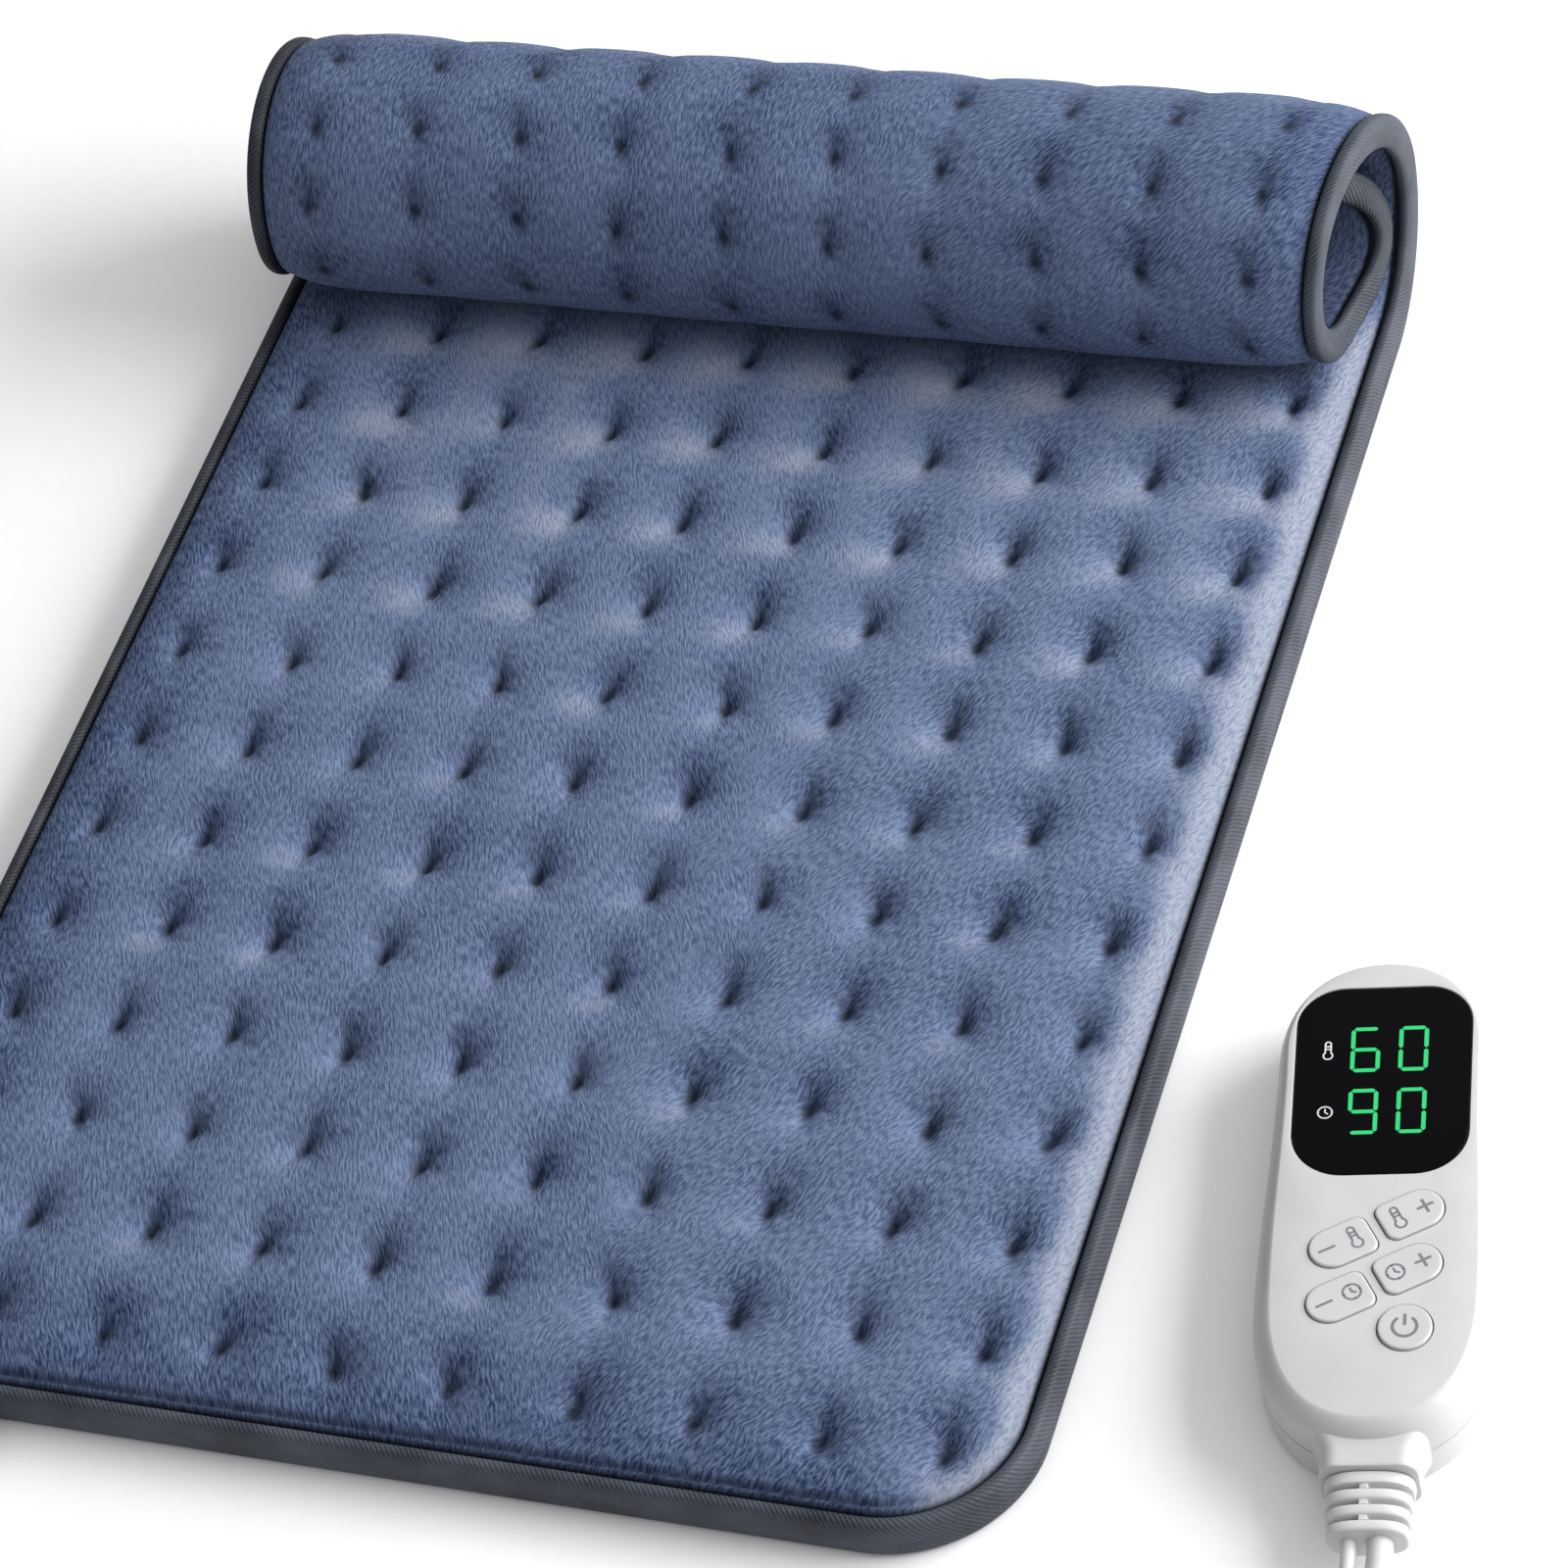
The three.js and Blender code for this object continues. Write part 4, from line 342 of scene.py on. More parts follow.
def velvet(settings):
    """Short-pile polyester velvet: fine leaning strokes of nap, patches where the nap is brushed another way,
    and a pale sheen at glancing light. Its colour also carries painted light and shade by the slope of the
    face and by region, and painted shade in the hollows where the tufts pull it in, along the seams and
    inside the roll."""
    material, tree, shader = new_material(
        "short_pile_velvet", Roughness=0.8, Sheen_Weight=0.06, Sheen_Roughness=0.5,
        Sheen_Tint=rgba("#cfd4e2"), Specular_IOR_Level=0.12)
    cloth = add(tree, "ShaderNodeUVMap", uv_map="cloth")
    # Brushed patches, 12 mm across and less, which also sway the strokes by a mm or two
    brushed = add(tree, "ShaderNodeTexNoise", {
        "Vector": cloth, "Scale": 1 / (24 * MM), "Detail": 3.0, "Roughness": 0.55})
    sway = add(tree, "ShaderNodeVectorMath", {
        0: brushed.node.outputs["Color"], 1: (7 * MM, 7 * MM, 0), 2: cloth}, operation="MULTIPLY_ADD")
    # One stroke of nap is about 0.3 mm wide and 1.5 mm long
    laid = []
    for angle in (0, NAP_SLANT):
        lean = add(tree, "ShaderNodeMapping", {
            "Vector": sway, "Rotation": (0, 0, angle), "Scale": (0.6 * MM, 2.9 * MM, 1)},
            vector_type="TEXTURE")
        laid.append(add(tree, "ShaderNodeTexNoise", {
            "Vector": lean, "Scale": 1.0, "Detail": 2.0, "Roughness": 0.6}))
    # Towards the right more and more patches of strokes slant
    slant = add(tree, "ShaderNodeAttribute", out="Fac", attribute_name="slant")
    slant = add(tree, "ShaderNodeMath", {0: slant, 1: brushed}, operation="ADD")
    slant = add(tree, "ShaderNodeMapRange", {"Value": slant, "From Min": 0.9, "From Max": 1.1})
    strokes = add(tree, "ShaderNodeMix", {0: slant, 2: laid[0], 3: laid[1]})
    painted_shade = add(tree, "ShaderNodeAttribute", out="Fac", attribute_name="painted_shade")
    grain = add(tree, "ShaderNodeMapRange", {"Value": strokes, "From Min": 0.38, "From Max": 0.64})
    patch = add(tree, "ShaderNodeMapRange", {"Value": brushed, "From Min": 0.3, "From Max": 0.7})
    # Painted light and shade: the tone is lighter where the face tips towards the light and darker where it
    # tips away, and lighter or darker by region of the pad
    lit_up = add(tree, "ShaderNodeAttribute", out="Fac", attribute_name="lit_up")
    tone = add(tree, "ShaderNodeMath", {0: grain, 1: 0.66}, operation="MULTIPLY")
    for part, weight in ((patch, 0.18), (lit_up, 0.7)):
        tone = add(tree, "ShaderNodeMath", {0: part, 1: weight, 2: tone}, operation="MULTIPLY_ADD")
    nap = add(tree, "ShaderNodeMix", {
        0: tone, 6: rgba(settings.plush_dark), 7: rgba(settings.plush_light)}, 2, data_type="RGBA")
    # Painted highlight: on the steepest of the faces that tip towards the light the colour turns pale
    pale_highlight = add(tree, "ShaderNodeMapRange", {
        "Value": lit_up, "From Min": 0.56, "From Max": 0.86, "To Max": 0.85})
    tufted = add(tree, "ShaderNodeMapRange", {"Value": grain, "To Min": 0.45})
    pale_highlight = add(tree, "ShaderNodeMath", {0: pale_highlight, 1: tufted}, operation="MULTIPLY")
    nap = add(tree, "ShaderNodeMix", {0: pale_highlight, 6: nap, 7: rgba(settings.plush_highlight)}, 2, data_type="RGBA")
    # Painted shade: near black in the tufts' slits and behind them, along the sewn edge and seam, and inside
    # the roll
    deep = add(tree, "ShaderNodeMath", {0: painted_shade, 1: 0.9}, operation="MULTIPLY")
    colour = add(tree, "ShaderNodeMix", {0: deep, 6: nap, 7: rgba("#0c1220")}, 2, data_type="RGBA")
    bump = add(tree, "ShaderNodeBump", {"Height": strokes, "Strength": 0.7, "Distance": 0.6 * MM})
    feed(shader, {"Base Color": colour, "Normal": bump})
    return material


def twill_tape(settings):
    """Woven polyester tape: fine slanting twill ribs, 1 mm apart, with threads across them."""
    material, tree, shader = new_material(
        "twill_binding_tape", Roughness=0.62, Specular_IOR_Level=0.32)
    cloth = add(tree, "ShaderNodeUVMap", uv_map="cloth")
    # The ribs, and short gathers 1.4 mm apart, which slant the other way where the tape is sewn down.
    # A wave's band repeats every 2 pi / 20 at scale 1
    waves = []
    for slant, spacing, bent, detail in ((38, 1.0, 0.5, 1.5), (-28, 1.4, 1.5, 0.4)):
        laid = add(tree, "ShaderNodeMapping", {
            "Vector": cloth, "Rotation": (0, 0, math.radians(slant)),
            "Scale": (spacing * MM, spacing * MM, 1)}, vector_type="TEXTURE")
        waves.append(add(tree, "ShaderNodeTexWave", {
            "Vector": laid, "Scale": math.pi / 10, "Distortion": bent, "Detail": 1.0,
            "Detail Scale": detail}, 1, bands_direction="X"))
    ribs, gathers = waves
    threads = add(tree, "ShaderNodeTexNoise", {"Vector": cloth, "Scale": 1 / (0.9 * MM), "Detail": 2.0})
    tone = add(tree, "ShaderNodeTexNoise", {"Vector": cloth, "Scale": 1 / (18 * MM), "Detail": 2.0})
    for part, weight in ((ribs, 0.3), (threads, 0.4)):
        tone = add(tree, "ShaderNodeMath", {0: part, 1: weight, 2: tone}, operation="MULTIPLY_ADD")
    tone = add(tree, "ShaderNodeMapRange", {"Value": tone, "From Min": 0.45, "From Max": 1.1})
    # Painted shade on the runs along the pad's left edge and inside the roll
    away = add(tree, "ShaderNodeAttribute", out="Fac", attribute_name="away")
    tone = add(tree, "ShaderNodeMath", {0: away, 1: -0.5, 2: tone}, operation="MULTIPLY_ADD")
    woven = add(tree, "ShaderNodeMix", {
        0: tone, 6: rgba(settings.tape_dark), 7: rgba(settings.tape_light)}, 2, data_type="RGBA")
    # Painted shade along the sewn lips, in the crease against the plush, broken by the gathers
    lip = add(tree, "ShaderNodeAttribute", out="Fac", attribute_name="lip")
    folds = add(tree, "ShaderNodeMath", {0: gathers, 1: lip}, operation="MULTIPLY")
    shade = add(tree, "ShaderNodeMath", {0: lip, 1: folds}, operation="SUBTRACT")
    shade = add(tree, "ShaderNodeMath", {0: shade, 1: 0.75}, operation="MULTIPLY")
    colour = add(tree, "ShaderNodeMix", {0: shade, 6: woven, 7: rgba("#121317")}, 2, data_type="RGBA")
    height = ribs
    for part, weight in ((threads, 0.35), (folds, 3.0)):
        height = add(tree, "ShaderNodeMath", {0: part, 1: weight, 2: height}, operation="MULTIPLY_ADD")
    bump = add(tree, "ShaderNodeBump", {"Height": height, "Strength": 0.5, "Distance": 0.18 * MM})
    feed(shader, {"Base Color": colour, "Normal": bump})
    return material


def moulded(name, light, dark, grain, roughness, relief=0.02, spread=0.08, **constants):
    """Moulded or cast stuff: a fine grain of the given size in mm in its relief and gloss, and a
    faint drift of tone from one colour to the other, thirty grains across."""
    material, tree, shader = new_material(name, **constants)
    place = add(tree, "ShaderNodeTexCoord", out="Object")
    fine, broad = [add(tree, "ShaderNodeTexNoise", {
        "Vector": place, "Scale": 1 / (2 * size * MM), "Detail": 2.0}) for size in (grain, 30 * grain)]
    tone = add(tree, "ShaderNodeMath", {0: fine, 1: 0.4, 2: broad}, operation="MULTIPLY_ADD")
    tone = add(tree, "ShaderNodeMapRange", {"Value": tone, "From Min": 0.45, "From Max": 0.95})
    colour = add(tree, "ShaderNodeMix", {0: tone, 6: rgba(dark), 7: rgba(light)}, 2, data_type="RGBA")
    gloss = add(tree, "ShaderNodeMapRange", {
        "Value": tone, "To Min": roughness - spread / 2, "To Max": roughness + spread / 2})
    bump = add(tree, "ShaderNodeBump", {"Height": fine, "Strength": 0.25, "Distance": relief * MM})
    feed(shader, {"Base Color": colour, "Roughness": gloss, "Normal": bump})
    return material


def lit_segments(settings):
    """Light-emitting segments under smoked glass: a green glow, a little uneven along each bar."""
    material, tree, shader = new_material(
        "lit_display_segments", Roughness=0.3, Base_Color=rgba("#06140d"), Emission_Strength=0.9)
    place = add(tree, "ShaderNodeTexCoord", out="Object")
    uneven = add(tree, "ShaderNodeTexNoise", {"Vector": place, "Scale": 1 / (3 * MM), "Detail": 1.0})
    colour = add(tree, "ShaderNodeMix", {
        0: uneven, 6: rgba(settings.digits), 7: rgba("#2fe98a")}, 2, data_type="RGBA")
    feed(shader, {"Emission Color": colour})
    return material


def circuit_laminate():
    """Glass-fibre laminate under green lacquer: raised copper tracks, 2.5 by 1.25 mm apart."""
    material, tree, shader = new_material("lacquered_circuit_laminate", Roughness=0.35)
    place = add(tree, "ShaderNodeTexCoord", out="Object")
    tracks = add(tree, "ShaderNodeTexBrick", {
        "Vector": place, "Scale": 1 / (5 * MM), "Color1": rgba("#1a6040"), "Color2": rgba("#1f6b48"),
        "Mortar": rgba("#2f8a5e"), "Mortar Size": 0.06}, "Color")
    bump = add(tree, "ShaderNodeBump", {
        "Height": tracks.node.outputs["Fac"], "Strength": 0.3, "Distance": 0.05 * MM})
    feed(shader, {"Base Color": tracks, "Normal": bump})
    return material


_made = {}


def shared(name, maker, *values, **settings):
    """The one material of that name, made on first use."""
    if name not in _made:
        _made[name] = maker(*values, **settings)
    return _made[name]


def vinyl():
    # Soft extruded or moulded vinyl: satin white, with a faint drag of the die
    return shared("vinyl", moulded, "soft_white_vinyl", bpy.context.scene.lead_settings.vinyl, "#c0bebd",
                  0.5, 0.42, relief=0.03, Specular_IOR_Level=0.45)


def abs_shell():
    # Moulded ABS with a fine spark-eroded grain: satin, close to white
    return shared("abs", moulded, "satin_white_abs", bpy.context.scene.controller_settings.shell, "#b7b6b8",
                  0.18, 0.38, relief=0.012, IOR=1.53)


def blue_sleeve():
    # Heat-shrunk sleeve: dark blue, glossy
    return shared("sleeve", moulded, "heat_shrunk_sleeve", "#2c3c6a", "#223056", 0.6, 0.35)


def black_nylon():
    # Moulded glass-filled nylon: black, faintly grainy
    return shared("nylon", moulded, "moulded_black_nylon", "#242528", "#1a1b1d", 0.25, 0.5)


def brass():
    # Stamped brass, bright drawn finish
    return shared("brass", moulded, "bright_brass", "#d0ad60", "#b8934a", 0.4, 0.28,
                  relief=0.01, Metallic=1.0)


def dress(material, *nodes):
    """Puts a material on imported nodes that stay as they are."""
    for name in nodes:
        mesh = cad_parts[name].data
        mesh.materials.clear()
        mesh.materials.append(material)


# Pad

OUTER_SWEEP = math.radians(270)
CURL_SWEEP = math.radians(90)
INNER_SWEEP = math.radians(172.5)
ROLL_SLACK = 0.5  # between two layers of the roll
RIGHT_DRAW = 0.16  # how far the roll's right end draws in, per mm of depth from its back
LEFT_DRAW = 0.045
BOTTOM_INNER = -1.6  # heights of the covers' inner faces, from the pad's middle
TOP_INNER = 1.7
END_EASE = 0.9  # how far the covers stop short at the pad's inner end


class PadPath:
    """The line of the pad's middle: along the table from the front edge, then round the roll."""

    def __init__(self, pad):
        self.width = pad.width / MM
        self.length = pad.length / MM
        self.half = pad.thickness / MM / 2
        outer = pad.roll_radius / MM - self.half
        layer = 2 * self.half + ROLL_SLACK
        inner = outer - layer
        sweeps = np.array([0, OUTER_SWEEP, CURL_SWEEP, 0, INNER_SWEEP])
        lengths = np.array([0, outer * OUTER_SWEEP, inner * CURL_SWEEP, layer, inner * INNER_SWEEP])
        lengths[0] = self.length - lengths.sum()
        self.flat = lengths[0]
        self.front = -(self.flat + pad.roll_radius / MM) / 2
        self.roll_back = self.front + self.flat + outer
        self.roll_back_run = self.flat + outer * QUARTER
        self.crease = self.flat - outer
        self.start = np.concatenate([[0], np.cumsum(lengths)[:-1]])
        self.bend = sweeps / lengths
        self.slope = np.concatenate([[0], np.cumsum(sweeps)[:-1]])
        self.y, self.z = [self.front], [self.half]
        for k in range(len(lengths) - 1):
            y, z = self.along(k, lengths[k])
            self.y.append(y)
            self.z.append(z)
        self.y, self.z = np.array(self.y), np.array(self.z)

    def along(self, k, distance):
        """Place after a distance on stretch k: along its slope, or round its arc, where y grows by
        the change of the slope's sine over the bend, and z by that of its cosine, turned."""
        bend, slope = self.bend[k], self.slope[k]
        turn = slope + bend * distance
        safe = np.where(bend == 0, 1.0, bend)
        y = np.where(bend == 0, distance * np.cos(slope), (np.sin(turn) - np.sin(slope)) / safe)
        z = np.where(bend == 0, distance * np.sin(slope), (np.cos(slope) - np.cos(turn)) / safe)
        return np.asarray(self.y)[k] + y, np.asarray(self.z)[k] + z

    def stretch(self, run):
        """The number of the stretch that each run lies on."""
        return np.clip(np.searchsorted(self.start, run, side="right") - 1, 0, len(self.start) - 1)

    def cloth_run(self, run, up):
        """Length along a face at a height: a stretch counts by one less its bend times the height."""
        share = 1 - up * self.bend
        lengths = np.diff(np.append(self.start, self.length))
        before = np.concatenate([[0], np.cumsum(lengths * share)[:-1]])
        k = self.stretch(run)
        return before[k] + (run - self.start[k]) * share[k]

    def point(self, x, run, up):
        """A point x across, run along and up from the middle, square to it. The turns of the roll
        draw in at their ends in proportion to their depth from its back."""
        x, run, up = np.broadcast_arrays(x, run, up)
        k = self.stretch(run)
        y, z = self.along(k, run - self.start[k])
        slope = self.slope[k] + self.bend[k] * (run - self.start[k])
        draw = np.where(x > 0, RIGHT_DRAW, LEFT_DRAW) / (self.width / 2)
        narrow = np.where(run > self.roll_back_run, 1 - draw * (self.roll_back - y), 1.0)
        return np.stack([x * narrow, y - up * np.sin(slope), z + up * np.cos(slope)], axis=-1)


# Tufts. Sizes are half sizes across and along, and a place is across and along from the tuft.

TUFT_SIDE_MARGIN = 19.5
TUFT_END_MARGIN = 21
UNDER_ROW_AT = 494.2  # along the underside's cloth, a row over the top of the roll
UNDER_ROWS = (-24, 12)  # first row from that one, and the one past the last
UNDER_PULL = 0.36  # how deep the underside's tufts are, beside those on top
STRAY = 0.55  # how far tufts lie from their places, as a spread
SLIT_LEAN = (math.radians(-3), math.radians(8))  # mean and spread
PULL = (0.82, 1.15)  # least and most of a tuft's depth
TUFT_LIGHT_RANGE = (0.2, 1.35)  # least and most of the painted shade and highlight round a tuft
BOWL_HALF = (5.6, 6.4)
HOLLOW_HALF = (3.0, 4.6)
SLIT_HALF = (1.35, 2.3)
HOLLOW_SHARE = 0.45  # of the bowl's depth
CREASES = 5
CREASE_AT = 6
CREASE_HALF = 3
CREASE_DEPTH = 0.14
STREAK = ((0, 4.6), (2.4, 4.4))  # painted shade behind a tuft's slit: place and half sizes
STREAK_SHADE = 0.4
# Painted shade behind a tuft and painted highlight before it: places, half sizes and tone
BEHIND = ((1, 9.5), (7, 7.5))
BEHIND_SHADE = -0.28
BEFORE = ((-2.5, -7.5), (6, 4.2))
BEFORE_HIGHLIGHT = 0.15


def tuft_places(length, margin, pitch):
    spaces = max(1, round((length - 2 * margin) / pitch))
    return margin + np.arange(spaces + 1) * (length - 2 * margin) / spaces


def tuft_drop(x, run, columns, rows, pad, share, way, rng):
    """How far the tufts pull a cover in, how much painted shade lies in and behind their slits, and the
    painted shade and highlight round them: for each of the nine nearest tufts, a bell-shaped bowl, a narrower
    hollow in it, a slit that leans with the nap, and faint creases that run out from it. Shade is painted in
    the slit and for a little way behind it, a painted shade behind the tuft and a painted highlight before
    it."""
    shape = (len(columns), len(rows))
    shift_x, shift_run = rng.normal(0, STRAY, (2, *shape))
    lean = rng.normal(*SLIT_LEAN, shape)
    depth = rng.uniform(*PULL, shape)
    phase = rng.uniform(0, 4 * QUARTER, shape)
    tuft_light_strength = rng.uniform(*TUFT_LIGHT_RANGE, shape)
    near_x = np.clip(np.rint((x - columns[0]) / (columns[1] - columns[0])), 0, shape[0] - 1).astype(int)
    near_run = np.clip(np.rint((run - rows[0]) / (rows[1] - rows[0])), 0, shape[1] - 1).astype(int)
    # Depth, painted shade in and behind the slits, and painted shade and highlight round the tufts
    drop, slits, lie = np.zeros((3, *x.shape))
    for i, j in np.ndindex(3, 3):
        a, b = near_x + i - 1, near_run + j - 1
        real = (a >= 0) & (a < shape[0]) & (b >= 0) & (b < shape[1])
        a, b = np.clip(a, 0, shape[0] - 1), np.clip(b, 0, shape[1] - 1)
        dx = x - columns[a] - shift_x[a, b]
        dr = run - rows[b] - shift_run[a, b]
        across = dx * np.cos(lean[a, b]) + dr * np.sin(lean[a, b])
        along = dr * np.cos(lean[a, b]) - dx * np.sin(lean[a, b])
        bowl, hollow, slit = [bell(across / half[0], along / half[1])
                              for half in (BOWL_HALF, HOLLOW_HALF, SLIT_HALF)]
        creases = bell((np.hypot(dx, dr) - CREASE_AT) / CREASE_HALF)
        creases = creases * np.cos(CREASES * np.arctan2(dr, dx) + phase[a, b])
        soft = ((1 - HOLLOW_SHARE) * bowl + HOLLOW_SHARE * hollow) * pad.bowl_depth
        drop += real * share * (depth[a, b] * (soft + slit * pad.slit_depth) / MM + CREASE_DEPTH * creases)
        streak, behind, before = [
            bell((across - place[0]) / half[0], (way * along - place[1]) / half[1])
            for place, half in (STREAK, BEHIND, BEFORE)]
        slits += real * np.maximum(slit, STREAK_SHADE * streak)
        lie += real * tuft_light_strength[a, b] * (BEFORE_HIGHLIGHT * before + BEHIND_SHADE * behind)
    return drop, np.clip(slits, 0, 1), lie


# Covers. Where a pair of lengths says how far in something reaches, it fades from one to the other.

EDGE_STEPS = np.array([0, 0.35, 0.8, 1.4, 2.0, 2.6, 3.2, 3.9, 4.8, 5.9, 7.1, 8.4,
                       9.8, 11.2, 12.4, 13.4, 14.2])  # in from an edge, closest beside it
ROW_STEP = 2  # of cloth between rows of points, from the outermost tufts to the end edges
EASE = 0.55  # how much closer steps are at the tufts
TOP_STEPS = 22  # from column to column of tufts
UNDER_STEPS = 20
ROW_STEPS = (24, 10)  # from row to row, where they are seen and where they aren't
UNDER_SEEN = (70, 215)  # of cloth past the flat part, where the underside shows on the roll
RULER_POINTS = 6000
INNER_COLUMNS = 9
TOP_EDGE = (15, 3.2)  # how far in its edge begins to fall, and how far it falls
UNDER_EDGE = (22, 3.7)
EDGE_POWER = 2.2
EDGE_ROUND = 1.0
SEAM_AT = 2.2
SEAM_DEPTH = 1.2
SEAM_HALF = 0.5
SEAM_STOP = 6  # in from the sides, where the ends' seam has faded out
SWELL = 0.15
SWELL_WAVES = ((21, 1.3, 47), (27, 0.8, 33))  # length, sway and the sway's length, across and along
EDGE_PULL = 0.35  # the share of a tuft's depth that is left at the edge
LEAST_FOAM = 0.7

# How the nap looks, and the light and shade painted into it
NAP_SLANT = math.radians(-42)
NAP_LEAN = math.tan(math.radians(22))
LIGHT_WAY = (0.75, 0.66)  # which way the painted light comes from, across and along
SLANTED = (-60, 130)  # across, from where no strokes slant to where all do
# Painted shade along the sewn edge, in the seam's groove and inside the roll
SEWN_REACH = 0.7
SEWN_SHADE = 0.5
SEAM_SHADE = 0.7
INSIDE_SHADE = 0.7
INSIDE_TOP = (10, 60)  # past the flat part, where the top cover goes into the roll
INSIDE_UNDER = (150, 190)  # and where the under cover and the tape do
# Painted light and shade in the nap's tone, 0.5 where even: darker inside the roll, over its crest and
# towards the front and left edges, lighter towards the far end
TOP_TONE = 0.5
FAR_TONE = 0.15
FAR_RUN = (150, 350)
ROLL_TONE = -0.45
ROLL_RUN = 30
FRONT_TONE = -0.45
FRONT_REACH = (4, 42)
FRONT_ACROSS = (90, 145)
LEFT_TONE = -0.28
LEFT_REACH = (12, 36)
UNDER_TONE = 0.46
CREST_TONE = -0.16
CREST_HALF = 30
# Painted shade where the underside's edge falls away, and painted light by the slope of the top's edge
UNDER_FALL_TONE = -0.5
PALE_FLANK = 0.12  # how much painted highlight a tuft's flank gains where it tips towards the light
FALL_TONE = 1.7


def between(start, end, step):
    """Places between two others, by even steps of about the given size, without the two."""
    return np.linspace(start, end, max(1, round((end - start) / step)) + 1)[1:-1]


def eased_steps(places, counts):
    """Steps from place to place, closest at the places: t less a share of sin(2 pi t)."""
    steps = []
    for start, end, count in zip(places[:-1], places[1:], counts):
        t = np.arange(count) / count
        steps.append(start + (end - start) * (t - EASE * np.sin(2 * np.pi * t) / (2 * np.pi)))
    return np.concatenate(steps + [places[-1:]])


def edge_distance(x, run, half_width, start, end, corner):
    """Distance in from the edge of a rectangle with rounded corners."""
    qx = np.abs(x) - (half_width - corner)
    qy = np.abs(run - (start + end) / 2) - ((end - start) / 2 - corner)
    outside = np.hypot(np.maximum(qx, 0), np.maximum(qy, 0)) + np.minimum(np.maximum(qx, qy), 0)
    return corner - outside


def cover_rows(path, outer, start, end, tufts, seen):
    """The rows of tufts that lie on a cover, and its rows of points, by the length of cloth on its
    face and by the run of the pad's middle."""
    ruler = np.linspace(start, end, RULER_POINTS)
    cloth_ruler = path.cloth_run(ruler, outer)
    first, last = cloth_ruler[0] + EDGE_STEPS, cloth_ruler[-1] - EDGE_STEPS[::-1]
    rows = tufts[(tufts > first[-1]) & (tufts < last[0])]
    shown = (rows[1:] > seen[0]) & (rows[:-1] < seen[1])
    cloth = np.concatenate([first, between(first[-1], rows[0], ROW_STEP),
                            eased_steps(rows, np.where(shown, *ROW_STEPS)),
                            between(rows[-1], last[0], ROW_STEP), last])[:, None]
    return rows, cloth, np.interp(cloth, cloth_ruler, ruler)


def slow_swell(x, cloth):
    """Two crossed sines, each swaying with the other direction, from 0 to four times their height."""
    waves = [np.sin(u / length + sway * np.sin(v / slow))
             for (u, v), (length, sway, slow) in zip(((x, cloth), (cloth, x)), SWELL_WAVES)]
    return SWELL * (2 + sum(waves))


def painted_region_light(path, way, x, runs, cloth, left_edge, front_edge):
    """Painted light and shade in the tone of a cover's nap, away from its tufts and edges. The roll has
    painted shade, most over its top and inside, and the top has painted shade towards the front and left
    edges and painted light towards the far end."""
    if way < 0:
        return UNDER_TONE + CREST_TONE * np.exp(-((cloth - UNDER_ROW_AT) / CREST_HALF) ** 2)
    front = (1 - smooth(*FRONT_REACH, runs - front_edge)) * (1 - smooth(*FRONT_ACROSS, x))
    left = 1 - smooth(*LEFT_REACH, x - left_edge)
    return (TOP_TONE + FAR_TONE * smooth(*FAR_RUN, runs) + ROLL_TONE * in_roll(path, runs)
            + FRONT_TONE * front + LEFT_TONE * left)


def in_roll(path, runs):
    return smooth(path.crease, path.flat + ROLL_RUN, runs)


